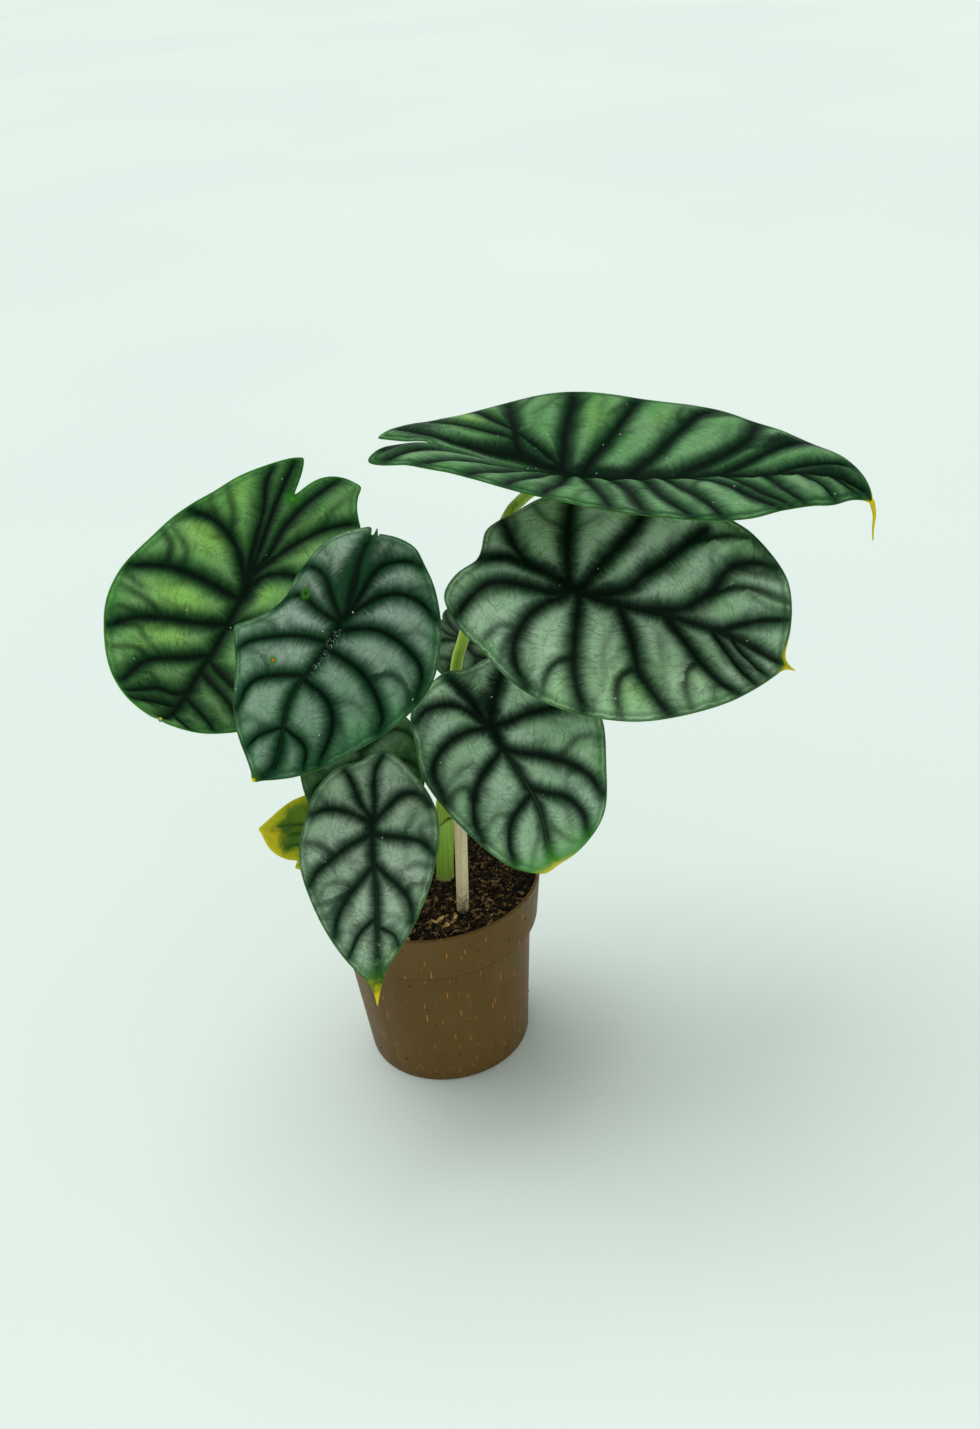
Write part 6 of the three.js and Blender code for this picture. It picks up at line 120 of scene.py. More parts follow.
        "subs": [([16.9, 8.7, 14.9, 10.7, 14.5, 13, 15.6, 14.9], 0.5), ([3.2, 8, 1.2, 10.3, -0.7, 11.5], 0.5), ([6.8, -11.4, 4.6, -14.1, 3.9, -17.4], 0.5), ([15.5, -6.5, 17.7, -9.9, 18.3, -13.8], 0.5)],
        "stalk": {"path": [-19, -3.5, 101.8, -21.2, -7.9, 112.9, -23, -12.5, 122.4, -24.5, -17.3, 130.6, -26, -22.3, 137.8, -27.4, -27.3, 144.2, -29.1, -32.3, 150.1, -31, -37.3, 155.7, -33.4, -42, 161.4, -36.4, -46.6, 167.4, -40, -50.8, 173.9], "radii": [2.1, 1.8, 1.5]},
    },
    "inner": {
        "u0": -33.106, "du": 10.1586, "nu": 11, "v0": -45.032, "dv": 11.2580, "nv": 9, "Lf": 56.0,
        "surface": [-69.77, -16, 238.71, -58.52, -15.85, 238.94, -47.26, -15.5, 238.99, -36.02, -14.98, 238.86, -24.78, -14.37, 238.65, -13.52, -14.19, 238.86, -2.27, -13.93, 238.99, 8.98, -13.49, 238.94, 20.22, -12.86, 238.71, -69.53, -22.91, 231.26, -58.27, -22.75, 231.48, -47.02, -22.41, 231.52, -35.78, -21.88, 231.4, -24.54, -21.27, 231.2, -13.28, -21.1, 231.4, -2.03, -20.84, 231.52, 9.22, -20.4, 231.48, 20.46, -19.76, 231.26, -69.3, -29.58, 223.6, -58.04, -29.43, 223.81, -46.79, -29.09, 223.85, -35.54, -28.56, 223.74, -24.31, -27.94, 223.54, -13.05, -27.78, 223.74, -1.8, -27.52, 223.85, 9.45, -27.07, 223.81, 20.69, -26.43, 223.6, -69.07, -36.01, 215.74, -57.82, -35.87, 215.94, -46.56, -35.54, 215.98, -35.32, -35, 215.87, -24.08, -34.37, 215.69, -12.83, -34.21, 215.87, -1.57, -33.96, 215.98, 9.68, -33.52, 215.94, 20.92, -32.87, 215.74, -68.86, -42.21, 207.69, -57.6, -42.07, 207.88, -46.35, -41.74, 207.92, -35.1, -41.2, 207.81, -23.86, -40.56, 207.64, -12.61, -40.41, 207.81, -1.35, -40.16, 207.92, 9.89, -39.71, 207.88, 21.13, -39.06, 207.69, -68.65, -48.15, 199.45, -57.39, -48.02, 199.64, -46.14, -47.69, 199.68, -34.9, -47.15, 199.57, -23.66, -46.51, 199.4, -12.4, -46.36, 199.57, -1.15, -46.12, 199.68, 10.1, -45.67, 199.64, 21.34, -45.01, 199.45, -68.45, -53.84, 191.03, -57.19, -53.72, 191.21, -45.94, -53.39, 191.25, -34.7, -52.84, 191.15, -23.46, -52.2, 190.99, -12.2, -52.05, 191.15, -0.95, -51.81, 191.25, 10.3, -51.36, 191.21, 21.54, -50.7, 191.03, -68.26, -59.27, 182.45, -57, -59.16, 182.62, -45.75, -58.82, 182.66, -34.51, -58.28, 182.56, -23.27, -57.63, 182.4, -12.01, -57.49, 182.56, -0.76, -57.25, 182.66, 10.49, -56.8, 182.62, 21.73, -56.13, 182.45, -68.08, -64.44, 173.7, -56.82, -64.33, 173.86, -45.57, -64, 173.9, -34.33, -63.45, 173.81, -23.09, -62.8, 173.66, -11.83, -62.66, 173.81, -0.58, -62.43, 173.9, 10.67, -61.97, 173.86, 21.91, -61.3, 173.7, -67.91, -69.34, 164.8, -56.65, -69.23, 164.96, -45.4, -68.9, 164.99, -34.15, -68.35, 164.9, -22.92, -67.69, 164.76, -11.66, -67.56, 164.9, -0.41, -67.33, 164.99, 10.84, -66.88, 164.96, 22.08, -66.2, 164.8, -67.75, -73.97, 155.76, -56.49, -73.86, 155.9, -45.24, -73.54, 155.93, -33.99, -72.98, 155.85, -22.76, -72.32, 155.72, -11.5, -72.19, 155.85, -0.24, -71.96, 155.93, 11, -71.51, 155.9, 22.24, -70.82, 155.76],
        "outline": [-18.1, -0.7, -19, -1.6, -20, -2.6, -20.8, -3.8, -21.5, -5.2, -22, -6.7, -22.3, -8.3, -22.4, -9.9, -22.3, -11.6, -22, -13.2, -21.6, -14.7, -20.9, -16.2, -20.2, -17.5, -19.5, -18.7, -18.6, -19.9, -17.7, -21, -16.8, -22, -15.9, -22.9, -14.9, -23.8, -13.9, -24.7, -12.9, -25.4, -11.8, -26.1, -10.8, -26.8, -9.7, -27.4, -8.6, -27.9, -7.5, -28.3, -6.3, -28.7, -5.2, -29.1, -4.1, -29.4, -2.9, -29.6, -1.8, -29.9, -0.6, -30.1, 0.5, -30.3, 1.7, -30.5, 2.9, -30.7, 4.2, -30.8, 5.4, -30.8, 6.6, -30.9, 7.8, -30.8, 9, -30.8, 10.2, -30.7, 11.4, -30.6, 12.7, -30.4, 13.9, -30.3, 15.1, -30.1, 16.3, -29.9, 17.5, -29.6, 18.7, -29.4, 19.9, -29.1, 21.1, -28.7, 22.3, -28.4, 23.4, -28, 24.6, -27.5, 25.8, -27, 26.9, -26.5, 28.1, -25.9, 29.2, -25.3, 30.3, -24.7, 31.4, -24, 32.5, -23.3, 33.6, -22.6, 34.7, -21.8, 35.8, -21, 36.8, -20.2, 37.9, -19.4, 38.9, -18.5, 40, -17.6, 41, -16.7, 42, -15.7, 42.9, -14.7, 43.9, -13.7, 44.8, -12.7, 45.8, -11.6, 46.7, -10.5, 47.6, -9.4, 48.4, -8.2, 49.3, -7.1, 50.2, -6, 51.1, -4.8, 52, -3.7, 52.9, -2.7, 53.9, -1.7, 54.9, -0.8, 56, 0, 54.9, 0.8, 53.9, 1.7, 52.9, 2.7, 52, 3.7, 51.1, 4.8, 50.2, 6, 49.3, 7.1, 48.4, 8.2, 47.6, 9.4, 46.7, 10.5, 45.8, 11.6, 44.8, 12.7, 43.9, 13.7, 42.9, 14.7, 42, 15.7, 41, 16.7, 40, 17.6, 38.9, 18.5, 37.9, 19.4, 36.8, 20.2, 35.8, 21, 34.7, 21.8, 33.6, 22.6, 32.5, 23.3, 31.4, 24, 30.3, 24.7, 29.2, 25.3, 28.1, 25.9, 26.9, 26.5, 25.8, 27, 24.6, 27.5, 23.4, 28, 22.3, 28.4, 21.1, 28.7, 19.9, 29.1, 18.7, 29.4, 17.5, 29.6, 16.3, 29.9, 15.1, 30.1, 13.9, 30.3, 12.7, 30.4, 11.4, 30.6, 10.2, 30.7, 9, 30.8, 7.8, 30.8, 6.6, 30.9, 5.4, 30.8, 4.2, 30.8, 2.9, 30.7, 1.7, 30.5, 0.5, 30.3, -0.6, 30.1, -1.8, 29.9, -2.9, 29.6, -4.1, 29.4, -5.2, 29.1, -6.3, 28.7, -7.5, 28.3, -8.6, 27.9, -9.7, 27.4, -10.8, 26.8, -11.8, 26.1, -12.9, 25.4, -13.9, 24.7, -14.9, 23.8, -15.9, 22.9, -16.8, 22, -17.7, 21, -18.6, 19.9, -19.5, 18.7, -20.2, 17.5, -20.9, 16.2, -21.6, 14.7, -22, 13.2, -22.3, 11.6, -22.4, 9.9, -22.3, 8.3, -22, 6.7, -21.5, 5.2, -20.8, 3.8, -20, 2.6, -19, 1.6, -18.1, 0.7, -17, 0],
        "midrib": [5.6, 0, 28, 0.4, 54.3, 0],
        "veins": [([3.1, 0.6, 4.5, 9.1, 5.3, 14.6, 6.5, 20.8, 8.8, 24.9, 11, 27], 1.67, 1), ([-0.9, 1.8, -4.8, 7.6, -8, 12.5, -9.1, 17.8, -7.6, 22.7, -4.8, 25.9], 1.6, 1), ([-1.7, 1.5, -7, 1.8, -12.9, 1.8, -17.8, 3.1, -21.6, 6.2], 1.54, 0.87), ([13, 0.9, 16.8, 6, 20.7, 11.4, 24.7, 15.2, 28.8, 16.4, 31.4, 16.1], 1.6, 0.94), ([32.8, 1, 34.2, 5.5, 35.8, 8.4, 38.6, 9.7], 0.94, 0.67), ([-1.8, 0, -6.4, -4.2, -11.2, -6.6, -14.9, -8.5, -17.3, -10.7], 1.54, 0.94), ([-0.8, -1.4, -3.3, -8, -4.8, -13.2, -5.2, -19.2, -4, -24.7], 1.6, 1), ([3.1, 0, 5.8, -7.3, 8.7, -14, 11.7, -19.4, 14.4, -23.9, 18.1, -27], 1.81, 1.07), ([13.7, 0.2, 18.1, -5.5, 22.1, -10.3, 26.4, -14.1, 30.4, -16.4, 33.8, -17.3], 1.67, 1), ([29.7, 0.9, 32.3, -3.7, 35.3, -7.6, 38.8, -9.9], 1, 0.67)],
        "subs": [([4.3, 12.8, 1.7, 16.4, -0.8, 18.3], 0.55), ([22.7, 13.7, 20.1, 16.9, 19.6, 20.1, 20.7, 23.8], 0.65), ([9, -17.8, 6.2, -21.9, 5.3, -27.4], 0.75), ([20.7, -10.1, 23.7, -15.5, 24.4, -21.9], 0.75), ([8.7, 24.7, 2.7, 21.5, 1.3, 25.6], 0.6), ([6.7, 15.5, 12, 15.1, 13.4, 14.6], 0.3), ([14.7, 25.6, 13.7, 18.3, 16.7, 11], 0.5), ([12, -7.3, 11.4, -14.6, 13.4, -20.1], 0.3), ([20.1, -9.1, 18.1, -14.6, 18.7, -20.1, 22.1, -22.8], 0.5), ([32.8, 7.3, 30.1, 11, 29.4, 2.7], 0.35), ([-5.3, -18.3, -8.7, -21, -10, -24.7], 0.5), ([24.7, -15.5, 28.1, -19.2, 28.8, -22.8], 0.6), ([-8.7, 16.4, -12.7, 18.3, -13.4, 13.7], 0.25)],
        "stalk": {"path": [-2.2, 5.5, 101.8, -1.8, 4.4, 118.7, -2.9, 2.4, 133.6, -5.2, -0.4, 146.7, -8.2, -4, 158.4, -11.6, -8.2, 168.8, -15.2, -12.9, 178.3, -18.6, -18, 187.2, -21.4, -23.4, 195.7, -23.3, -29.1, 204.1, -24.1, -34.8, 212.7], "radii": [2.3, 2.0, 1.7]},
    },
    "shaded": {
        "u0": -35.371, "du": 10.6011, "nu": 11, "v0": -39.022, "dv": 9.7556, "nv": 9, "Lf": 58.0,
        "surface": [-20.79, 75.96, 228.08, -12.86, 81.63, 227.79, -4.97, 87.35, 227.31, 2.87, 93.12, 226.66, 10.74, 98.86, 226.09, 18.82, 104.28, 226.66, 26.92, 109.68, 227.31, 34.99, 115.14, 227.79, 43.04, 120.65, 228.08, -15.03, 67.74, 224.46, -7.11, 73.42, 224.17, 0.77, 79.15, 223.7, 8.6, 84.93, 223.06, 16.45, 90.69, 222.5, 24.55, 96.1, 223.06, 32.66, 101.48, 223.7, 40.74, 106.92, 224.17, 48.79, 112.43, 224.46, -9.34, 59.61, 220.53, -1.43, 65.3, 220.24, 6.45, 71.05, 219.78, 14.27, 76.85, 219.14, 22.11, 82.62, 218.58, 30.21, 88.01, 219.14, 38.34, 93.38, 219.78, 46.43, 98.81, 220.24, 54.48, 104.3, 220.53, -3.73, 51.6, 216.28, 4.18, 57.3, 215.99, 12.04, 63.05, 215.54, 19.85, 68.87, 214.91, 27.68, 74.66, 214.36, 35.8, 80.03, 214.91, 43.93, 85.38, 215.54, 52.03, 90.8, 215.99, 60.09, 96.29, 216.28, 1.8, 43.7, 211.72, 9.71, 49.4, 211.44, 17.56, 55.17, 210.99, 25.36, 61, 210.37, 33.18, 66.8, 209.83, 41.31, 72.17, 210.37, 49.45, 77.5, 210.99, 57.56, 82.91, 211.44, 65.63, 88.39, 211.72, 7.25, 35.92, 206.85, 15.15, 41.63, 206.58, 23, 47.41, 206.14, 30.78, 53.26, 205.53, 38.59, 59.08, 205, 46.73, 64.43, 205.53, 54.89, 69.74, 206.14, 63, 75.14, 206.58, 71.07, 80.61, 206.85, 12.6, 28.27, 201.69, 20.5, 33.99, 201.42, 28.34, 39.78, 200.99, 36.11, 45.65, 200.39, 43.91, 51.48, 199.87, 52.06, 56.81, 200.39, 60.23, 62.11, 200.99, 68.35, 67.5, 201.42, 76.43, 72.96, 201.69, 17.86, 20.76, 196.24, 25.75, 26.49, 195.97, 33.58, 32.29, 195.55, 41.35, 38.17, 194.96, 49.14, 44.01, 194.45, 57.29, 49.34, 194.96, 65.47, 54.62, 195.55, 73.6, 60, 195.97, 81.68, 65.46, 196.24, 23.01, 13.4, 190.49, 30.9, 19.14, 190.23, 38.72, 24.95, 189.81, 46.48, 30.84, 189.24, 54.26, 36.7, 188.74, 62.43, 42.01, 189.24, 70.61, 47.28, 189.81, 78.75, 52.64, 190.23, 86.84, 58.09, 190.49, 28.06, 6.19, 184.46, 35.95, 11.93, 184.21, 43.76, 17.76, 183.8, 51.5, 23.66, 183.24, 59.28, 29.53, 182.75, 67.45, 34.83, 183.24, 75.65, 40.09, 183.8, 83.8, 45.44, 184.21, 91.89, 50.88, 184.46, 33, -0.86, 178.16, 40.88, 4.89, 177.91, 48.68, 10.73, 177.51, 56.42, 16.65, 176.96, 64.18, 22.53, 176.48, 72.37, 27.81, 176.96, 80.57, 33.06, 177.51, 88.73, 38.4, 177.91, 96.82, 43.84, 178.16],
        "outline": [-19.7, -0.6, -20.8, -1.3, -21.8, -2.2, -22.7, -3.2, -23.4, -4.3, -24, -5.6, -24.3, -6.9, -24.4, -8.3, -24.3, -9.7, -24, -11.1, -23.5, -12.3, -22.8, -13.5, -22.1, -14.7, -21.2, -15.7, -20.3, -16.7, -19.3, -17.6, -18.3, -18.4, -17.3, -19.2, -16.2, -20, -15.2, -20.7, -14, -21.3, -12.9, -21.9, -11.7, -22.4, -10.6, -22.9, -9.4, -23.4, -8.1, -23.7, -6.9, -24.1, -5.7, -24.3, -4.4, -24.6, -3.2, -24.8, -2, -25, -0.7, -25.2, 0.5, -25.4, 1.8, -25.6, 3.1, -25.7, 4.3, -25.8, 5.6, -25.8, 6.8, -25.9, 8.1, -25.8, 9.3, -25.8, 10.6, -25.7, 11.9, -25.6, 13.1, -25.5, 14.4, -25.3, 15.6, -25.2, 16.9, -25, 18.1, -24.8, 19.4, -24.6, 20.6, -24.4, 21.8, -24.1, 23.1, -23.8, 24.3, -23.4, 25.5, -23, 26.7, -22.6, 27.9, -22.2, 29.1, -21.7, 30.2, -21.2, 31.4, -20.7, 32.6, -20.1, 33.7, -19.5, 34.8, -18.9, 36, -18.3, 37.1, -17.6, 38.2, -16.9, 39.2, -16.2, 40.3, -15.5, 41.4, -14.8, 42.4, -14, 43.5, -13.2, 44.5, -12.4, 45.5, -11.5, 46.4, -10.6, 47.4, -9.7, 48.3, -8.8, 49.3, -7.9, 50.2, -6.9, 51.1, -6, 52, -5, 52.9, -4.1, 53.9, -3.1, 54.8, -2.3, 55.8, -1.4, 56.9, -0.7, 58, 0, 56.9, 0.7, 55.8, 1.4, 54.8, 2.3, 53.9, 3.1, 52.9, 4.1, 52, 5, 51.1, 6, 50.2, 6.9, 49.3, 7.9, 48.3, 8.8, 47.4, 9.7, 46.4, 10.6, 45.5, 11.5, 44.5, 12.4, 43.5, 13.2, 42.4, 14, 41.4, 14.8, 40.3, 15.5, 39.2, 16.2, 38.2, 16.9, 37.1, 17.6, 36, 18.3, 34.8, 18.9, 33.7, 19.5, 32.6, 20.1, 31.4, 20.7, 30.2, 21.2, 29.1, 21.7, 27.9, 22.2, 26.7, 22.6, 25.5, 23, 24.3, 23.4, 23.1, 23.8, 21.8, 24.1, 20.6, 24.4, 19.4, 24.6, 18.1, 24.8, 16.9, 25, 15.6, 25.2, 14.4, 25.3, 13.1, 25.5, 11.9, 25.6, 10.6, 25.7, 9.3, 25.8, 8.1, 25.8, 6.8, 25.9, 5.6, 25.8, 4.3, 25.8, 3.1, 25.7, 1.8, 25.6, 0.5, 25.4, -0.7, 25.2, -2, 25, -3.2, 24.8, -4.4, 24.6, -5.7, 24.3, -6.9, 24.1, -8.1, 23.7, -9.4, 23.4, -10.6, 22.9, -11.7, 22.4, -12.9, 21.9, -14, 21.3, -15.2, 20.7, -16.2, 20, -17.3, 19.2, -18.3, 18.4, -19.3, 17.6, -20.3, 16.7, -21.2, 15.7, -22.1, 14.7, -22.8, 13.5, -23.5, 12.3, -24, 11.1, -24.3, 9.7, -24.4, 8.3, -24.3, 6.9, -24, 5.6, -23.4, 4.3, -22.7, 3.2, -21.8, 2.2, -20.8, 1.3, -19.7, 0.6, -18.6, 0],
        "midrib": [5.8, 0, 29, 0.4, 56.3, 0],
        "veins": [([3.3, 0.5, 4.7, 7.7, 5.5, 12.2, 6.7, 17.5, 9.1, 20.9, 11.4, 22.6], 1.73, 1.04), ([-1, 1.5, -5, 6.4, -8.3, 10.5, -9.4, 14.9, -7.9, 19, -5, 21.7], 1.66, 1.04), ([-1.8, 1.2, -7.3, 1.5, -13.4, 1.5, -18.4, 2.6, -22.4, 5.2], 1.59, 0.9), ([13.5, 0.8, 17.5, 5.1, 21.5, 9.6, 25.6, 12.7, 29.8, 13.7, 32.5, 13.5], 1.66, 0.97), ([33.9, 0.8, 35.5, 4.6, 37.1, 7, 40, 8.1], 0.97, 0.69), ([-1.9, 0, -6.6, -3.5, -11.6, -5.5, -15.4, -7.1, -17.9, -9], 1.59, 0.97), ([-0.8, -1.1, -3.5, -6.7, -5, -11.1, -5.4, -16.1, -4.2, -20.7], 1.66, 1.04), ([3.3, 0, 6, -6.1, 9, -11.7, 12.1, -16.2, 14.9, -20.1, 18.7, -22.6], 1.87, 1.11), ([14.2, 0.2, 18.7, -4.6, 22.9, -8.6, 27.4, -11.8, 31.5, -13.8, 35, -14.5], 1.73, 1.04), ([30.7, 0.8, 33.4, -3.1, 36.6, -6.4, 40.2, -8.3], 1.04, 0.69)],
        "subs": [([4.5, 10.7, 1.7, 13.8, -0.8, 15.3], 0.55), ([23.5, 11.5, 20.8, 14.2, 20.3, 16.8, 21.5, 19.9], 0.65), ([9.3, -14.9, 6.4, -18.4, 5.5, -23], 0.75), ([21.5, -8.4, 24.6, -13, 25.3, -18.4], 0.75), ([9, 20.7, 2.8, 18, 1.4, 21.4], 0.6), ([6.9, 13, 12.5, 12.6, 13.8, 12.2], 0.3), ([15.2, 21.4, 14.2, 15.3, 17.3, 9.2], 0.5), ([12.5, -6.1, 11.8, -12.2, 13.8, -16.8], 0.3), ([20.8, -7.7, 18.7, -12.2, 19.4, -16.8, 22.9, -19.1], 0.5), ([33.9, 6.1, 31.2, 9.2, 30.5, 2.3], 0.35), ([-5.5, -15.3, -9, -17.6, -10.4, -20.7], 0.5), ([25.6, -13, 29.1, -16.1, 29.8, -19.1], 0.6), ([-9, 13.8, -13.2, 15.3, -13.8, 11.5], 0.25)],
        "stalk": {"path": [0, 16.5, 101.8, 4.1, 21.6, 120.1, 8.1, 28, 135.7, 11.9, 35.3, 149, 15.5, 43.1, 160.4, 18.7, 50.9, 170.3, 21.7, 58.1, 179.1, 24.2, 64.4, 187.2, 26.4, 69.2, 195.1, 28, 72, 203, 29.2, 72.5, 211.6], "radii": [2.3, 2.0, 1.7]},
    },
}

# ---------------------------------------------------------------------------
# Small numeric helpers
# ---------------------------------------------------------------------------
MM = 0.001
RNG = np.random.default_rng(7)


def lin(r, g, b):
    """An sRGB colour from 0 to 255 as a linear one with alpha."""
    out = []
    for c in (r, g, b):
        c /= 255.0
        out.append(c / 12.92 if c <= 0.04045 else ((c + 0.055) / 1.055) ** 2.4)
    return (*out, 1.0)


def smooth(a, b, x):
    t = np.clip((x - a) / (b - a), 0.0, 1.0)
    return t * t * (3 - 2 * t)


def lattice(n, seed):
    """A repeatable number from 0 to 1 for each whole-numbered lattice point."""
    h = (n[..., 0] * 374761393 + n[..., 1] * 668265263 + n[..., 2] * 2147483647 + seed * 974634777) & 0xFFFFFFFF
    h = ((h ^ (h >> 13)) * 1274126177) & 0xFFFFFFFF
    return ((h ^ (h >> 16)) & 0xFFFF) / 65535.0


def noise3(p, seed=0):
    p = np.asarray(p, float)
    i = np.floor(p).astype(np.int64)
    f = p - i
    f = f * f * (3 - 2 * f)
    out = np.zeros(p.shape[:-1])
    for dx in (0, 1):
        for dy in (0, 1):
            for dz in (0, 1):
                w = (f[..., 0] if dx else 1 - f[..., 0]) * (f[..., 1] if dy else 1 - f[..., 1]) * (f[..., 2] if dz else 1 - f[..., 2])
                out += w * lattice(i + np.array([dx, dy, dz]), seed)
    return out


def fbm(p, octaves=4, seed=0):
    out, amp, total = 0.0, 1.0, 0.0
    p = np.asarray(p, float)
    for k in range(octaves):
        out = out + amp * noise3(p * 2.03**k, seed + 17 * k)
        total += amp
        amp *= 0.5
    return out / total


def catmull(points, step):
    """A smooth curve through the points, resampled about step apart."""
    p = np.asarray(points, float)
    if len(p) < 3:
        n = max(2, int(np.linalg.norm(p[-1] - p[0]) / step) + 1)
        return p[0] + (p[-1] - p[0]) * np.linspace(0, 1, n)[:, None]
    q = np.vstack([2 * p[0] - p[1], p, 2 * p[-1] - p[-2]])
    out = []
    for i in range(1, len(q) - 2):
        n = max(2, int(np.linalg.norm(q[i + 1] - q[i]) / step))
        t = np.linspace(0, 1, n, endpoint=False)[:, None]
        out.append(0.5 * (2 * q[i] + (q[i + 1] - q[i - 1]) * t + (2 * q[i - 1] - 5 * q[i] + 4 * q[i + 1] - q[i + 2]) * t**2 + (3 * q[i] - q[i - 1] - 3 * q[i + 1] + q[i + 2]) * t**3))
    return np.vstack([*out, p[-1:]])


def nearest(lines, pts):
    """For each point: the distance to the nearest line, the length along it there, the line's number, its whole length, and which side."""
    best = np.full(len(pts), 1e9)
    along, ident, whole, side = np.zeros(len(pts)), np.zeros(len(pts)), np.ones(len(pts)), np.ones(len(pts))
    for k, line in enumerate(lines):
        a, b = line[:-1], line[1:]
        d = b - a
        ll = np.maximum((d * d).sum(1), 1e-12)
        start = np.r_[0, np.cumsum(np.sqrt(ll))]
        for lo in range(0, len(pts), 20000):
            p = pts[lo : lo + 20000]
            e = p[:, None, :] - a[None]
            t = np.clip((e * d[None]).sum(-1) / ll[None], 0, 1)
            off = e - t[..., None] * d[None]
            dist = np.sqrt((off * off).sum(-1))
            j = dist.argmin(1)
            r = np.arange(len(p))
            got = dist[r, j]
            m = got < best[lo : lo + 20000]
            idx = np.arange(lo, lo + len(p))[m]
            best[idx] = got[m]
            along[idx] = (start[j] + t[r, j] * np.sqrt(ll[j]))[m]
            ident[idx] = k
            whole[idx] = start[-1]
            side[idx] = np.sign(d[j, 0] * e[r, j, 1] - d[j, 1] * e[r, j, 0])[m]
    return best, along, ident, whole, side


def inside(poly, pts):
    hit = np.zeros(len(pts), bool)
    x, y = pts[:, 0], pts[:, 1]
    for (x1, y1), (x2, y2) in zip(poly, np.roll(poly, -1, 0)):
        if y1 == y2:
            continue
        c = ((y1 > y) != (y2 > y)) & (x < (x2 - x1) * (y - y1) / (y2 - y1) + x1)
        hit ^= c
    return hit


# ---------------------------------------------------------------------------
# Mesh helpers
# ---------------------------------------------------------------------------
def make_mesh(name, verts, faces, mats, mat_index=None, attrs=None, flat=False):
    """verts in mm; faces a list of arrays of whole numbers, one array for each face size."""
    me = bpy.data.meshes.new(name)
    verts = np.asarray(verts, float) * MM
    groups = [np.asarray(f, np.int32) for f in (faces if isinstance(faces, (list, tuple)) else [faces]) if len(f)]
    loops = np.concatenate([g.ravel() for g in groups])
    sizes = np.concatenate([np.full(len(g), g.shape[1], np.int32) for g in groups])
    me.vertices.add(len(verts))
    me.vertices.foreach_set("co", verts.astype(np.float32).ravel())
    me.loops.add(len(loops))
    me.loops.foreach_set("vertex_index", loops.astype(np.int32))
    me.polygons.add(len(sizes))
    me.polygons.foreach_set("loop_start", np.r_[0, np.cumsum(sizes)[:-1]].astype(np.int32))
    me.polygons.foreach_set("loop_total", sizes)
    for m in mats:
        me.materials.append(m)
    if mat_index is not None:
        me.polygons.foreach_set("material_index", np.asarray(mat_index, np.int32))
    me.polygons.foreach_set("use_smooth", np.full(len(sizes), not flat))
    me.update(calc_edges=True)
    me.validate()
    for key, val in (attrs or {}).items():
        val = np.asarray(val, np.float32)
        kind = "FLOAT" if val.ndim == 1 else "FLOAT_VECTOR"
        a = me.attributes.new(key, kind, "POINT")
        a.data.foreach_set("value" if val.ndim == 1 else "vector", val.ravel())
    ob = bpy.data.objects.new(name, me)
    bpy.context.scene.collection.objects.link(ob)
    return ob


def place(ob, slot, *nodes):
    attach(ob, "root")
    if nodes:
        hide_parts(*nodes)
    return ob


def tube(path, radius, sides=24, cap=True, shape=None):
    """A tube along a path in mm. radius is one number for each point. shape(angle, i) scales it round the ring. Returns verts, quads, tris, per-point (along, angle)."""
    p = np.asarray(path, float)
    n = len(p)
    t = np.gradient(p, axis=0)
    t /= np.linalg.norm(t, axis=1)[:, None]
    ref = np.array([0.0, -1.0, 0.0])
    if abs(t[0] @ ref) > 0.9:
        ref = np.array([1.0, 0, 0])
    x = np.cross(np.cross(t[0], ref), t[0])
    x /= np.linalg.norm(x)
    xs = [x]
    for i in range(1, n):
        x = xs[-1] - t[i] * (xs[-1] @ t[i])
        xs.append(x / np.linalg.norm(x))
    xs = np.array(xs)
    ys = np.cross(t, xs)
    ang = np.linspace(0, 2 * np.pi, sides, endpoint=False)
    r = np.asarray(radius, float)[:, None] * np.ones((1, sides))
    if shape is not None:
        r = r * shape(ang[None, :], np.linspace(0, 1, n)[:, None])
    ring = p[:, None, :] + r[..., None] * (np.cos(ang)[None, :, None] * xs[:, None, :] + np.sin(ang)[None, :, None] * ys[:, None, :])
    verts = ring.reshape(-1, 3)
    length = np.r_[0, np.cumsum(np.linalg.norm(np.diff(p, axis=0), axis=1))]
    along = np.repeat(length, sides)
    angle = np.tile(ang, n)
    quads = []
    for i in range(n - 1):
        a = i * sides + np.arange(sides)
        b = i * sides + (np.arange(sides) + 1) % sides
        quads.append(np.stack([a, b, b + sides, a + sides], 1))
    quads = np.vstack(quads)
    tris = np.zeros((0, 3), int)
    if cap:
        verts = np.vstack([verts, p[:1], p[-1:]])
        along = np.r_[along, 0, length[-1]]
        angle = np.r_[angle, 0, 0]
        k = np.arange(sides)
        j = (k + 1) % sides
        c0, c1 = len(verts) - 2, len(verts) - 1
        last = (n - 1) * sides
        tris = np.vstack([np.stack([j, k, np.full(sides, c0)], 1), np.stack([last + k, last + j, np.full(sides, c1)], 1)])
    return verts, quads, tris, np.stack([along, angle, np.zeros_like(along)], 1)


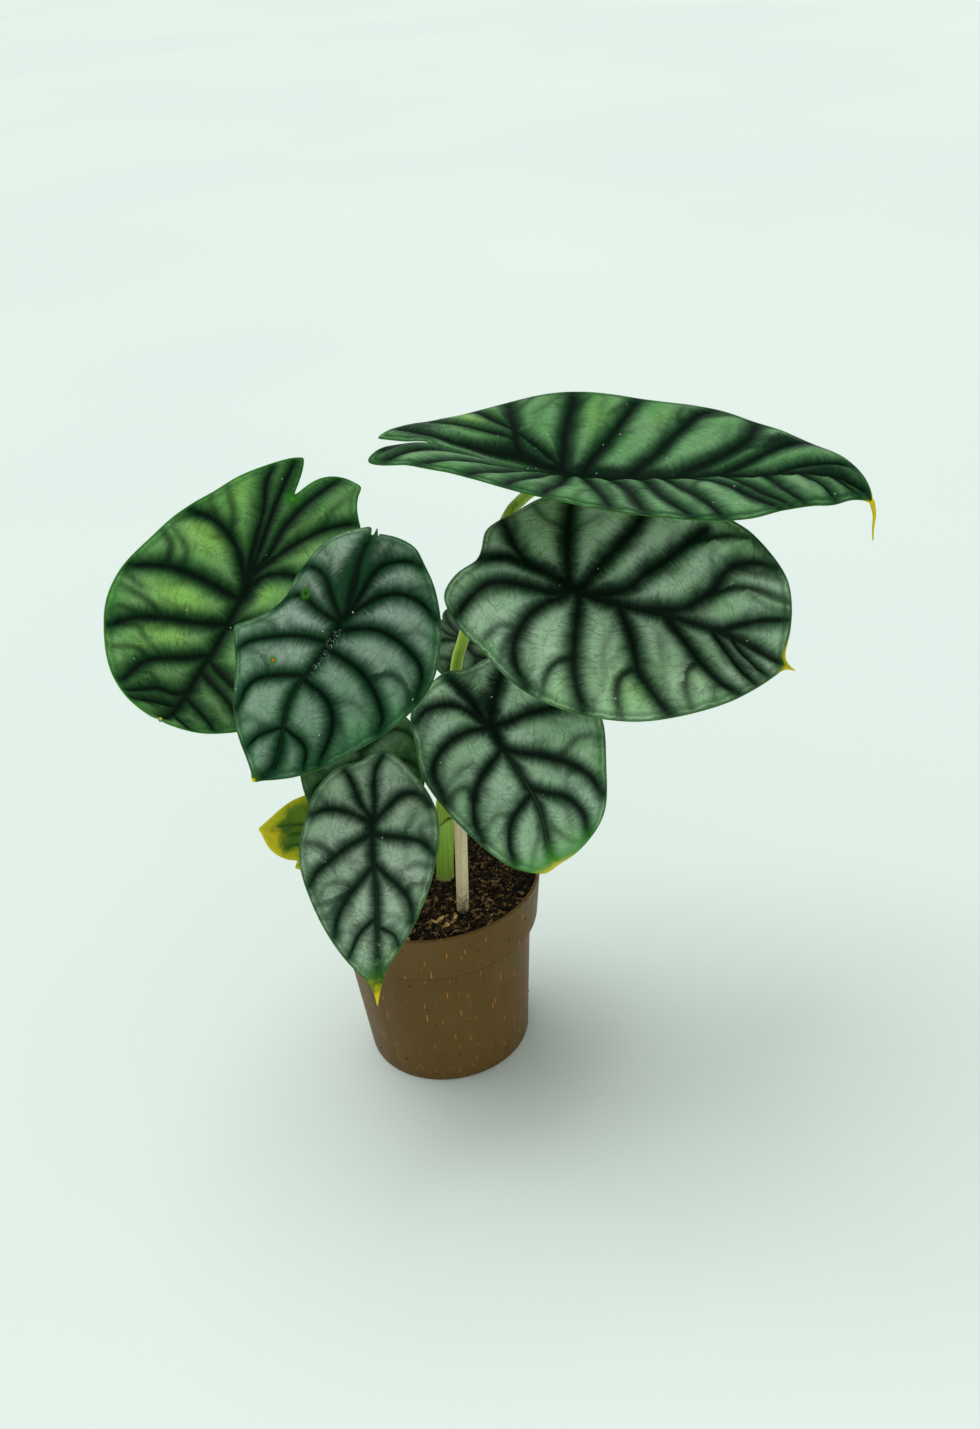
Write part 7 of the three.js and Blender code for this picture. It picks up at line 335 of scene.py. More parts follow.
# ---------------------------------------------------------------------------
# Node helpers
# ---------------------------------------------------------------------------
class Nodes:
    def __init__(self, name):
        self.mat = bpy.data.materials.new(name)
        self.mat.use_nodes = True
        self.nt = self.mat.node_tree
        self.nt.nodes.clear()
        self.out = self.nt.nodes.new("ShaderNodeOutputMaterial")
        self.bsdf = self.nt.nodes.new("ShaderNodeBsdfPrincipled")
        self.nt.links.new(self.bsdf.outputs[0], self.out.inputs[0])

    def put(self, sock, val):
        if isinstance(val, bpy.types.NodeSocket):
            self.nt.links.new(val, sock)
        else:
            sock.default_value = val

    def m(self, op, a, b=None, c=None, clamp=False):
        n = self.nt.nodes.new("ShaderNodeMath")
        n.operation = op
        n.use_clamp = clamp
        for i, v in enumerate((a, b, c)):
            if v is not None:
                self.put(n.inputs[i], v)
        return n.outputs[0]

    def ss(self, x, lo, hi, a=0.0, b=1.0):
        """Smooth step from a to b as x goes from lo to hi."""
        n = self.nt.nodes.new("ShaderNodeMapRange")
        n.interpolation_type = "SMOOTHSTEP"
        for i, v in enumerate((x, lo, hi, a, b)):
            self.put(n.inputs[i], v)
        return n.outputs[0]

    def ramp(self, x, lo, hi, a=0.0, b=1.0):
        n = self.nt.nodes.new("ShaderNodeMapRange")
        for i, v in enumerate((x, lo, hi, a, b)):
            self.put(n.inputs[i], v)
        return n.outputs[0]

    def mix(self, f, a, b, mode="MIX"):
        n = self.nt.nodes.new("ShaderNodeMix")
        n.data_type = "RGBA"
        n.blend_type = mode
        n.clamp_factor = True
        self.put(n.inputs[0], f)
        self.put(n.inputs[6], a)
        self.put(n.inputs[7], b)
        return n.outputs[2]

    def xyz(self, x, y=0.0, z=0.0):
        n = self.nt.nodes.new("ShaderNodeCombineXYZ")
        for i, v in enumerate((x, y, z)):
            self.put(n.inputs[i], v)
        return n.outputs[0]

    def sep(self, v):
        n = self.nt.nodes.new("ShaderNodeSeparateXYZ")
        self.put(n.inputs[0], v)
        return n.outputs

    def attr(self, name):
        n = self.nt.nodes.new("ShaderNodeAttribute")
        n.attribute_type = "GEOMETRY"
        n.attribute_name = name
        return n

    def noise(self, v, scale, detail=2.0, rough=0.5, dist=0.0, dims="3D"):
        n = self.nt.nodes.new("ShaderNodeTexNoise")
        n.noise_dimensions = dims
        self.put(n.inputs["Vector"], v)
        n.inputs["Scale"].default_value = scale
        n.inputs["Detail"].default_value = detail
        n.inputs["Roughness"].default_value = rough
        n.inputs["Distortion"].default_value = dist
        return n.outputs[0]

    def vor(self, v, scale, feature="F1", dims="2D", rand=1.0, out="Distance"):
        n = self.nt.nodes.new("ShaderNodeTexVoronoi")
        n.voronoi_dimensions = dims
        n.feature = feature
        self.put(n.inputs["Vector"], v)
        n.inputs["Scale"].default_value = scale
        n.inputs["Randomness"].default_value = rand
        return n.outputs[out]

    def vm(self, op, a, b):
        n = self.nt.nodes.new("ShaderNodeVectorMath")
        n.operation = op
        self.put(n.inputs[0], a)
        self.put(n.inputs[1], b)
        return n.outputs[1] if op == "DISTANCE" else n.outputs[0]

    def pos(self):
        return self.nt.nodes.new("ShaderNodeTexCoord").outputs["Object"]

    def bump(self, height, dist, strength=1.0, chain=None):
        n = self.nt.nodes.new("ShaderNodeBump")
        n.inputs["Strength"].default_value = strength
        n.inputs["Distance"].default_value = dist
        self.put(n.inputs["Height"], height)
        if chain is not None:
            self.put(n.inputs["Normal"], chain)
        return n.outputs[0]

    def done(self, colour, rough, normal=None, **consts):
        self.put(self.bsdf.inputs["Base Color"], colour)
        self.put(self.bsdf.inputs["Roughness"], rough)
        if normal is not None:
            self.put(self.bsdf.inputs["Normal"], normal)
        for k, v in consts.items():
            self.bsdf.inputs[k.replace("_", " ")].default_value = v
        return self.mat


# ---------------------------------------------------------------------------
# Leaf materials. Attributes on each blade, all in mm:
#   vein    (distance to the nearest main vein, length along it + 61 x its number, half width of its dark band there)
#   minor   (distance to the nearest side vein, length along it, how green the panel is, 0 to 1)
#   leafuv  (along the blade, across the blade, distance in from the margin)
#   extra   (distance from the tip, distance to the midrib, how strongly the side vein shows)
# ---------------------------------------------------------------------------
def leaf_top(name, p):
    n = Nodes(name)
    D, S, W = n.sep(n.attr("vein").outputs["Vector"])
    D2, S2, TONE = n.sep(n.attr("minor").outputs["Vector"])
    U, V, M = n.sep(n.attr("leafuv").outputs["Vector"])
    TIP, MID, K2 = n.sep(n.attr("extra").outputs["Vector"])
    LIME, GLOOM, _ = n.sep(n.attr("zone").outputs["Vector"])
    uv = n.xyz(U, V, p["seed"] * 31.7)
    rel = n.m("DIVIDE", D, W)

    # Feathered edge of the dark bands: streaks that run out from the vein.
    hair = n.noise(n.xyz(n.m("MULTIPLY", S, 0.9), n.m("MULTIPLY", D, 0.17), p["seed"]), 1.0, 2.5, 0.52)
    patch = n.noise(uv, 0.13, 2.0, 0.5)
    b = n.m("SUBTRACT", rel, n.m("MULTIPLY", n.m("SUBTRACT", hair, 0.5), 0.95))
    b = n.m("SUBTRACT", b, n.m("MULTIPLY", n.m("SUBTRACT", patch, 0.5), 0.9))
    dark = n.ss(b, 0.15, 1.75, 1.0, 0.0)
    # The dark-green halo round each band: partly the blade's own colour, partly painted shade standing for the sunken
    # vein valleys
    edge = n.m("ADD", n.m("SUBTRACT", D, n.m("MULTIPLY", W, 0.9)), n.m("MULTIPLY", n.m("SUBTRACT", hair, 0.5), -2.6))
    halo = n.m("MULTIPLY", n.ss(edge, 0.0, p.get("fall", 6.5), 1.0, 0.0), p["halo"])

    # Side veins inside a panel: narrower and softer.
    hair2 = n.noise(n.xyz(n.m("MULTIPLY", S2, 1.2), n.m("MULTIPLY", D2, 0.4), p["seed"] + 5.0), 1.0, 2.0, 0.6)
    b2 = n.m("SUBTRACT", D2, n.m("MULTIPLY", n.m("SUBTRACT", hair2, 0.5), 1.8))
    minor = n.m("MULTIPLY", n.ss(b2, 0.2, 2.7, p["minor"], 0.0), K2)
    halo2 = n.m("MULTIPLY", n.ss(b2, 0.4, 6.0, 0.9, 0.0), K2)

    # Fine net of the smallest veins.
    warp = n.noise(uv, 0.35, 2.0, 0.5)
    net1 = n.vor(n.xyz(n.m("ADD", n.m("DIVIDE", S, 4.2), n.m("MULTIPLY", warp, 1.2)), n.m("ADD", n.m("DIVIDE", D, 9.0), n.m("MULTIPLY", warp, 0.9))), 1.0, "DISTANCE_TO_EDGE")
    net1 = n.ss(net1, 0.008, 0.07, 1.0, 0.0)
    net2 = n.vor(n.xyz(n.m("ADD", U, n.m("MULTIPLY", warp, 3.5)), n.m("ADD", V, n.m("MULTIPLY", hair, 1.2))), 0.34, "DISTANCE_TO_EDGE")
    net2 = n.ss(net2, 0.01, 0.08, 1.0, 0.0)
    net = n.m("MAXIMUM", n.m("MULTIPLY", net1, 0.9), n.m("MULTIPLY", net2, 0.4))
    net = n.m("MULTIPLY", net, n.m("MULTIPLY", n.ss(patch, 0.30, 0.58), n.m("MULTIPLY", p["net"], 0.7)))

    # Panels: silver towards the middle, green at the sides.
    broad = n.noise(uv, 0.05, 2.0, 0.55)
    tone = n.m("ADD", TONE, n.m("MULTIPLY", n.m("SUBTRACT", broad, 0.5), 1.3), clamp=True)
    panel = n.mix(tone, p["silver"], p["green"])
    ray = n.noise(n.xyz(n.m("MULTIPLY", S, 0.55), n.m("MULTIPLY", D, 0.09), 3.0 + p["seed"]), 1.0, 3.0, 0.55)
    panel = n.mix(n.m("MULTIPLY", LIME, 0.85), panel, p.get("lime", lin(138, 190, 84)))
    panel = n.mix(n.ss(ray, 0.46, 0.76, 0.0, 0.40), panel, p["deep"])
    fleck = n.noise(uv, 0.9, 3.0, 0.6)
    panel = n.mix(n.ss(fleck, 0.48, 0.75, 0.0, 0.09), panel, (0.62, 0.74, 0.58, 1))
    panel = n.mix(n.ss(fleck, 0.46, 0.25, 0.0, 0.10), panel, p["deep"])
    # halo mixed in: partly own colour, partly painted shade towards the sunken veins
    panel = n.mix(halo, panel, p["deep"])
    panel = n.mix(halo2, panel, p["deep"])
    panel = n.mix(net, panel, p["dark"])
    col = n.mix(minor, panel, p["dark"])
    core = n.mix(n.ss(n.m("ADD", rel, n.m("SUBTRACT", patch, 0.5)), 0.15, 1.2), p["dark"], p["dark2"])
    col = n.mix(n.m("MULTIPLY", dark, 0.97), col, core)
    gl = n.m("ADD", GLOOM, n.m("MULTIPLY", n.m("SUBTRACT", hair, 0.5), 0.5))
    col = n.mix(n.ss(gl, 0.12, 0.85, 0.0, 0.93), col, core)

    # The margin: a dark line where the panels close, then a plain green rim.
    jag = n.m("MULTIPLY", n.m("SUBTRACT", n.noise(uv, 0.22, 2.0, 0.5), 0.5), 2.6)
    mj = n.m("ADD", M, jag)
    line = n.m("MULTIPLY", n.ss(mj, 1.6, 2.6), n.ss(mj, 3.0, 5.4, 1.0, 0.0))
    col = n.mix(n.m("MULTIPLY", line, p["line"]), col, p["deep"])
    rim = n.ss(mj, 0.7, 1.9, 1.0, 0.0)
    col = n.mix(n.m("MULTIPLY", rim, 0.7), col, p["rim"])
    col = n.mix(n.ss(M, 0.10, 0.5, 0.65, 0.0), col, p["edge"])

    # A thin paler line along the middle of the midrib towards the tip.
    mid = n.m("MULTIPLY", n.ss(MID, 0.15, 0.55, 1.0, 0.0), p["midline"])
    mid = n.m("MULTIPLY", mid, n.ss(U, 8.0, 40.0))
    col = n.mix(mid, col, p["midcol"])

    # Ageing at the tip: green, then yellow.
    tj = n.m("ADD", TIP, n.m("MULTIPLY", n.m("SUBTRACT", n.noise(uv, 0.2, 3.0, 0.6), 0.5), p["tipg"] * p.get("tipn", 0.5)))
    ty = n.m("ADD", tj, n.m("MULTIPLY", M, p.get("tipym", p.get("tipm", 0.0))))
    tj = n.m("ADD", tj, n.m("MULTIPLY", M, p.get("tipm", 0.0)))
    col = n.mix(n.ss(tj, p["tipg"] * 0.25, p["tipg"], 0.95, 0.0), col, p.get("tipgc", lin(48, 105, 25)))
    col = n.mix(n.ss(ty, p["tipy"] * 0.3, p["tipy"], 1.0, 0.0), col, lin(222, 205, 30))
    if p.get("old"):
        o = n.noise(uv, 0.10, 3.0, 0.55)
        age = n.m("ADD", n.m("MULTIPLY", M, 0.075), n.m("MULTIPLY", o, 0.9))
        age = n.m("ADD", age, n.m("MULTIPLY", TIP, 0.004))
        col = n.mix(n.ss(age, 0.95, 0.62, 0.0, 0.95), col, lin(196, 196, 30))
        col = n.mix(n.ss(age, 0.66, 0.50, 0.0, 0.9), col, lin(222, 204, 36))
    for u0, v0, r, tint, ring in p.get("spots", ()):
        d = n.vm("DISTANCE", n.xyz(U, V, 0.0), (u0, v0, 0.0))
        d = n.m("ADD", d, n.m("MULTIPLY", n.m("SUBTRACT", n.noise(uv, 0.9, 2.0, 0.6), 0.5), r * 0.9))
        col = n.mix(n.ss(d, r * 1.3, r * 3.4, 0.9, 0.0), col, ring)
        col = n.mix(n.ss(d, r * 0.55, r * 1.0, 1.0, 0.0), col, tint)
    # Mineral specks and dust.
    dust = n.vor(uv, 0.115, "F1", "3D")
    dust = n.m("MULTIPLY", n.ss(dust, 0.035, 0.06, 1.0, 0.0), n.ss(broad, 0.35, 0.5))
    col = n.mix(n.m("MULTIPLY", dust, 0.75), col, lin(190, 205, 190))
    for u0, v0, r in p.get("residue", ()):
        d = n.vm("DISTANCE", n.xyz(U, V, 0.0), (u0, v0, 0.0))
        w = n.m("MULTIPLY", n.ss(n.noise(uv, 0.8, 4.0, 0.75, 1.0), 0.56, 0.66), n.ss(d, r * 0.5, r, 1.0, 0.0))
        col = n.mix(n.m("MULTIPLY", w, 0.6), col, lin(176, 198, 182))

    fine = n.noise(uv, 2.2, 3.0, 0.6)
    h = n.m("ADD", n.m("MULTIPLY", fine, 0.22), n.m("MULTIPLY", n.m("SUBTRACT", 1.0, n.m("MAXIMUM", net, minor)), 0.75))
    h = n.m("ADD", h, n.m("MULTIPLY", hair, 0.35))
    nrm = n.bump(h, 0.00042, 0.75)
    rough = n.m("ADD", n.ramp(fine, 0.3, 0.7, p["rough"] - 0.04, p["rough"] + 0.09), n.m("MULTIPLY", dark, -0.03))
    return n.done(col, rough, nrm, Specular_IOR_Level=p.get("gloss", 0.10))


def leaf_under(name, p):
    n = Nodes(name)
    D, S, W = n.sep(n.attr("vein").outputs["Vector"])
    D2, S2, TONE = n.sep(n.attr("minor").outputs["Vector"])
    U, V, M = n.sep(n.attr("leafuv").outputs["Vector"])
    TIP, MID, K2 = n.sep(n.attr("extra").outputs["Vector"])
    uv = n.xyz(U, V, p["seed"] * 11.3)
    broad = n.noise(uv, 0.06, 3.0, 0.55)
    pale, mid, rib = p["under"]
    col = n.mix(n.ss(broad, 0.3, 0.7), pale, mid)
    fine = n.noise(uv, 1.3, 3.0, 0.6)
    col = n.mix(n.ss(fine, 0.4, 0.75, 0.0, 0.35), col, mid)
    warp = n.noise(uv, 0.35, 2.0, 0.5)
    net = n.vor(n.xyz(n.m("ADD", U, n.m("MULTIPLY", warp, 3.0)), n.m("ADD", V, n.m("MULTIPLY", warp, -2.0))), 0.40, "DISTANCE_TO_EDGE")
    net = n.ss(net, 0.01, 0.11, 1.0, 0.0)
    col = n.mix(n.m("MULTIPLY", net, 0.35), col, rib)
    rel = n.m("DIVIDE", D, W)
    hair = n.noise(n.xyz(n.m("MULTIPLY", S, 1.2), n.m("MULTIPLY", D, 0.25), p["seed"]), 1.0, 2.0, 0.6)
    b = n.m("ADD", rel, n.m("MULTIPLY", n.m("SUBTRACT", hair, 0.5), 0.8))
    col = n.mix(n.ss(b, 0.5, 1.7, 0.65, 0.0), col, rib)
    col = n.mix(n.ss(D, 0.25, 0.7, 0.55, 0.0), col, pale)
    col = n.mix(n.m("MULTIPLY", n.ss(D2, 0.2, 1.3, 0.55, 0.0), K2), col, rib)
    col = n.mix(n.ss(M, 0.4, 2.2, 0.7, 0.0), col, p["edge"])
    col = n.mix(n.ss(TIP, p["tipy"] * 0.5, p["tipy"] * 1.1, 1.0, 0.0), col, lin(205, 195, 50))
    if p.get("old"):
        col = n.mix(n.ss(n.noise(uv, 0.075, 4.0, 0.62), 0.44, 0.6), col, lin(185, 180, 60))
    h = n.m("ADD", n.m("MULTIPLY", fine, 0.3), n.m("MULTIPLY", net, 0.6))
    return n.done(col, n.ramp(fine, 0.3, 0.7, 0.5, 0.62), n.bump(h, 0.0004, 0.7), Specular_IOR_Level=0.4)


# ---------------------------------------------------------------------------
# Blades
# ---------------------------------------------------------------------------
def weights(f):
    return [-0.5 * f + f * f - 0.5 * f**3, 1 - 2.5 * f * f + 1.5 * f**3, 0.5 * f + 2 * f * f - 1.5 * f**3, -0.5 * f * f + 0.5 * f**3]


def surface(leaf, u, v):
    g = leaf["pts"]
    nu, nv = g.shape[:2]
    a, b = (u - leaf["u0"]) / leaf["du"], (v - leaf["v0"]) / leaf["dv"]
    i = np.clip(np.floor(a).astype(int), 1, nu - 3)
    j = np.clip(np.floor(b).astype(int), 1, nv - 3)
    wa, wb = weights(a - i), weights(b - j)
    out = np.zeros((len(u), 3))
    for m in range(4):
        for k in range(4):
            out += (wa[m] * wb[k])[:, None] * g[i + m - 1, j + k - 1]
    return out


def normals(leaf, u, v, e=0.6):
    a = surface(leaf, u + e, v) - surface(leaf, u - e, v)
    b = surface(leaf, u, v + e) - surface(leaf, u, v - e)
    n = np.cross(a, b)
    return n / np.linalg.norm(n, axis=1)[:, None]


def round_outline(poly, step):
    """The margin, smoothed, except at its sharp corners, and resampled."""
    p = np.asarray(poly, float)
    for _ in range(2):
        a, b = np.roll(p, 1, 0), np.roll(p, -1, 0)
        d0, d1 = p - a, b - p
        turn = np.abs((np.arctan2(d1[:, 1], d1[:, 0]) - np.arctan2(d0[:, 1], d0[:, 0]) + np.pi) % (2 * np.pi) - np.pi)
        near = np.minimum(np.linalg.norm(d0, axis=1), np.linalg.norm(d1, axis=1))
        keep = (turn > 0.95) & (near > 1.0)
        q = 0.25 * a + 0.5 * p + 0.25 * b
        q[keep] = p[keep]
        p = q
    q = np.vstack([p[-1:], p, p[:2]])
    out = []
    for i in range(1, len(q) - 2):
        d = np.linalg.norm(q[i + 1] - q[i])
        k = max(1, int(round(d / step)))
        t = np.linspace(0, 1, k, endpoint=False)[:, None]
        l0, l1 = np.linalg.norm(q[i] - q[i - 1]), np.linalg.norm(q[i + 2] - q[i + 1])
        m0 = (q[i + 1] - q[i - 1]) * d / max(d + l0, 1e-6)
        m1 = (q[i + 2] - q[i]) * d / max(d + l1, 1e-6)
        out.append((2 * t**3 - 3 * t**2 + 1) * q[i] + (t**3 - 2 * t**2 + t) * m0 + (-2 * t**3 + 3 * t**2) * q[i + 1] + (t**3 - t**2) * m1)
    out = np.vstack(out)
    far = np.linalg.norm(out - np.roll(out, 1, 0), axis=1) > step * 0.25
    return out[far]


def fill(poly, h):
    """Triangles over the inside of the margin, about h apart."""
    lo, hi = poly.min(0), poly.max(0)
    rows = np.arange(lo[1], hi[1], h * 0.8660254)
    pts = []
    for k, y in enumerate(rows):
        x = np.arange(lo[0] + (h / 2 if k % 2 else 0), hi[0], h)
        pts.append(np.stack([x, np.full_like(x, y)], 1))
    pts = np.vstack(pts)
    pts = pts[inside(poly, pts)]
    d = nearest([np.vstack([poly, poly[:1]])], pts)[0]
    pts = pts[d > 0.62 * h]
    allp = np.vstack([poly, pts])
    nb = len(poly)
    edges = [(i, (i + 1) % nb) for i in range(nb)]
    res = delaunay_2d_cdt([Vector((float(a), float(b))) for a, b in allp], edges, [], 1, 1e-6)
    co = np.array([tuple(v) for v in res[0]])
    tri = np.array([f for f in res[2] if len(f) == 3], int)
    a, b, c = co[tri[:, 0]], co[tri[:, 1]], co[tri[:, 2]]
    flip = (b[:, 0] - a[:, 0]) * (c[:, 1] - a[:, 1]) - (b[:, 1] - a[:, 1]) * (c[:, 0] - a[:, 0]) < 0
    tri[flip] = tri[flip][:, ::-1]
    return co, tri


def boundary(tri):
    """The boundary's directed edges, as the triangles use them."""
    e = np.vstack([tri[:, [0, 1]], tri[:, [1, 2]], tri[:, [2, 0]]])
    key = set(map(tuple, e.tolist()))
    return np.array([x for x in key if (x[1], x[0]) not in key], int)


def fields(leaf, uv):
    """Everything the relief and the materials need to know at each point."""
    D, S, I, L, _ = nearest(leaf["main"], uv)
    t = np.clip(S / np.maximum(L, 1), 0, 1)
    isrib = I == 0
    w = leaf["widths"][I.astype(int)]
    w0, w1 = w[:, 0], w[:, 1]
    W = np.where(isrib, leaf["ribband"][0] + (leaf["ribband"][1] - leaf["ribband"][0]) * np.clip(S / L, 0, 1) ** 0.8, w0 + (w1 - w0) * t)
    if leaf["side"]:
        D2, S2, I2, L2, _ = nearest(leaf["side"], uv)
        K2 = leaf["strength"][I2.astype(int)] * (1.0 - 0.4 * np.clip(S2 / np.maximum(L2, 1), 0, 1) ** 2)
    else:
        D2, S2, K2 = np.full(len(uv), 50.0), np.zeros(len(uv)), np.zeros(len(uv))
    M = nearest([leaf["rimline"]], uv)[0]
    MID = nearest([leaf["main"][0]], uv)[0]
    TIP = np.linalg.norm(uv - leaf["tip"], axis=1)
    tone = np.full(len(uv), leaf["tone"])
    for u0, v0, r, s in leaf["toneblobs"]:
        tone += s * np.exp(-(((uv[:, 0] - u0) ** 2 + (uv[:, 1] - v0) ** 2) / (r * r)))
    tone += 0.35 * smooth(12, 1, M)
    zones = []
    for key in ("limes", "glooms"):
        z = np.zeros(len(uv))
        for u0, v0, ru, rv, s in leaf.get(key, ()):
            z = np.maximum(z, s * np.exp(-(((uv[:, 0] - u0) / ru) ** 2 + ((uv[:, 1] - v0) / rv) ** 2)))
        zones.append(z)
    return dict(D=D, S=S + 61.0 * I, W=W, D2=D2, S2=S2 + 37.0, K2=K2, M=M, MID=MID, TIP=TIP, tone=np.clip(tone, 0, 1), lime=zones[0], gloom=zones[1])


def relief(leaf, uv, f):
    """Height of the quilting in mm: panels stand up between the sunken veins."""
    x = f["D"] / (f["W"] * 1.9)
    bulge = 1 - np.exp(-(x**1.35))
    near = 0.5 * (1 - np.exp(-((f["D2"] / 2.4) ** 1.5)))
    side = 1 - f["K2"] * (0.5 - near) * 0.75
    rim = smooth(0.4, 7.5, f["M"])
    h = leaf["quilt"] * (bulge * side - 0.35) * rim
    h += 0.28 * (fbm(np.c_[uv * 0.16, np.full(len(uv), leaf["seed"])], 2, 3) - 0.5) * smooth(0, 6, f["M"])
    h += 0.35 * leaf["quilt"] * (noise3(np.c_[uv * 0.06, np.full(len(uv), leaf["seed"] + 9.0)], 5) - 0.5) * 2 * smooth(2, 10, f["M"])
    h -= 0.25 * smooth(1.6, 0.0, f["M"])
    return h * smooth(1.5, 9.0, np.hypot(uv[:, 0], uv[:, 1]))


def extend(line, poly, back, reach):
    """A vein that starts on the midrib and runs on towards the margin."""
    p = [np.asarray(back, float)] + [np.asarray(q, float) for q in line]
    d = p[-1] - p[-2]
    d /= max(np.linalg.norm(d), 1e-9)
    loop = np.vstack([poly, poly[:1]])
    end = p[-1].copy()
    for _ in range(int(reach / 0.5)):
        nxt = end + d * 0.5
        if not inside(poly, nxt[None])[0] or nearest([loop], nxt[None])[0][0] < 2.2:
            break
        end = nxt
    if np.linalg.norm(end - p[-1]) > 0.8:
        p.append(end)
    return np.array(p)


def prepare(leaf):
    leaf["pts"] = np.array(leaf["surface"], float).reshape(leaf["nu"], leaf["nv"], 3)
    poly = round_outline(np.array(leaf["outline"], float).reshape(-1, 2), 0.75)
    leaf["poly"] = poly
    leaf["rimline"] = np.vstack([poly, poly[:1]])
    leaf["tip"] = poly[poly[:, 0].argmax()]
    rib = np.array(leaf["midrib"], float).reshape(-1, 2)
    rib = catmull(np.vstack([[0.0, 0.0], rib[rib[:, 0] > 1.0]]), 2.0)
    main, widths = [rib], [leaf["ribband"]]
    for line, w0, w1 in leaf["veins"]:
        widths.append((w0, w1))
        q = np.array(line, float).reshape(-1, 2)
        d, s, _, _, _ = nearest([rib], q[:1])
        if np.linalg.norm(q[0]) < 12 or q[0, 0] < 3:
            back = (0.0, 0.0)
        else:
            s = max(0.0, s[0] - 0.7 * d[0])
            acc = np.r_[0, np.cumsum(np.linalg.norm(np.diff(rib, axis=0), axis=1))]
            back = (np.interp(s, acc, rib[:, 0]), np.interp(s, acc, rib[:, 1]))
        main.append(catmull(extend(q, poly, back, 9.0), 1.6))
    leaf["main"], leaf["widths"] = main, np.array(widths)
    side, strength = [], []
    for line, s in leaf["subs"]:
        q = np.array(line, float).reshape(-1, 2)
        side.append(catmull(extend(q, poly, q[0], 4.0)[1:], 1.6))
        strength.append(s)
    extra = more_sides(leaf)
    leaf["side"] = side + extra
    leaf["strength"] = np.array(strength + [0.28] * len(extra))


def more_sides(leaf):
    """Loops between the outer ends of neighbouring main veins, where a panel closes before the rim."""
    out = []
    rng = np.random.default_rng(int(leaf["seed"] * 13) + 5)
    mains = leaf["main"][1:]
    for upper in (True, False):
        group = [m for m in mains if (m[-1][1] > 0) == upper and len(m) > 5]
        group.sort(key=lambda m: np.arctan2(abs(m[-1][1]), m[-1][0] + 15))
        for a, b in zip(group[:-1], group[1:]):
            # side veins that leave each main vein towards its neighbour and bow back to the rim
            for src, dst, fr in ((a, b, 0.45), (b, a, 0.55), (a, b, 0.74)):
                k = int(len(src) * (fr + rng.uniform(-0.06, 0.06)))
                k = min(max(k, 1), len(src) - 2)
                p0 = src[k]
                t = src[k + 1] - src[k - 1]
                t /= np.linalg.norm(t)
                to = dst[np.linalg.norm(dst - p0, axis=1).argmin()] - p0
                gap = np.linalg.norm(to)
                if gap < 7 or gap > 40:
                    continue
                to /= gap
                reach = gap * rng.uniform(0.40, 0.55)
                p1 = p0 + to * reach * 0.55 + t * reach * 0.35
                p2 = p0 + to * reach * 0.95 + t * reach * 1.15
                if inside(leaf["poly"], p2[None])[0] and nearest([leaf["rimline"]], p2[None])[0][0] > 2.0:
                    out.append(catmull([p0, p1, p2], 1.5))
    return out


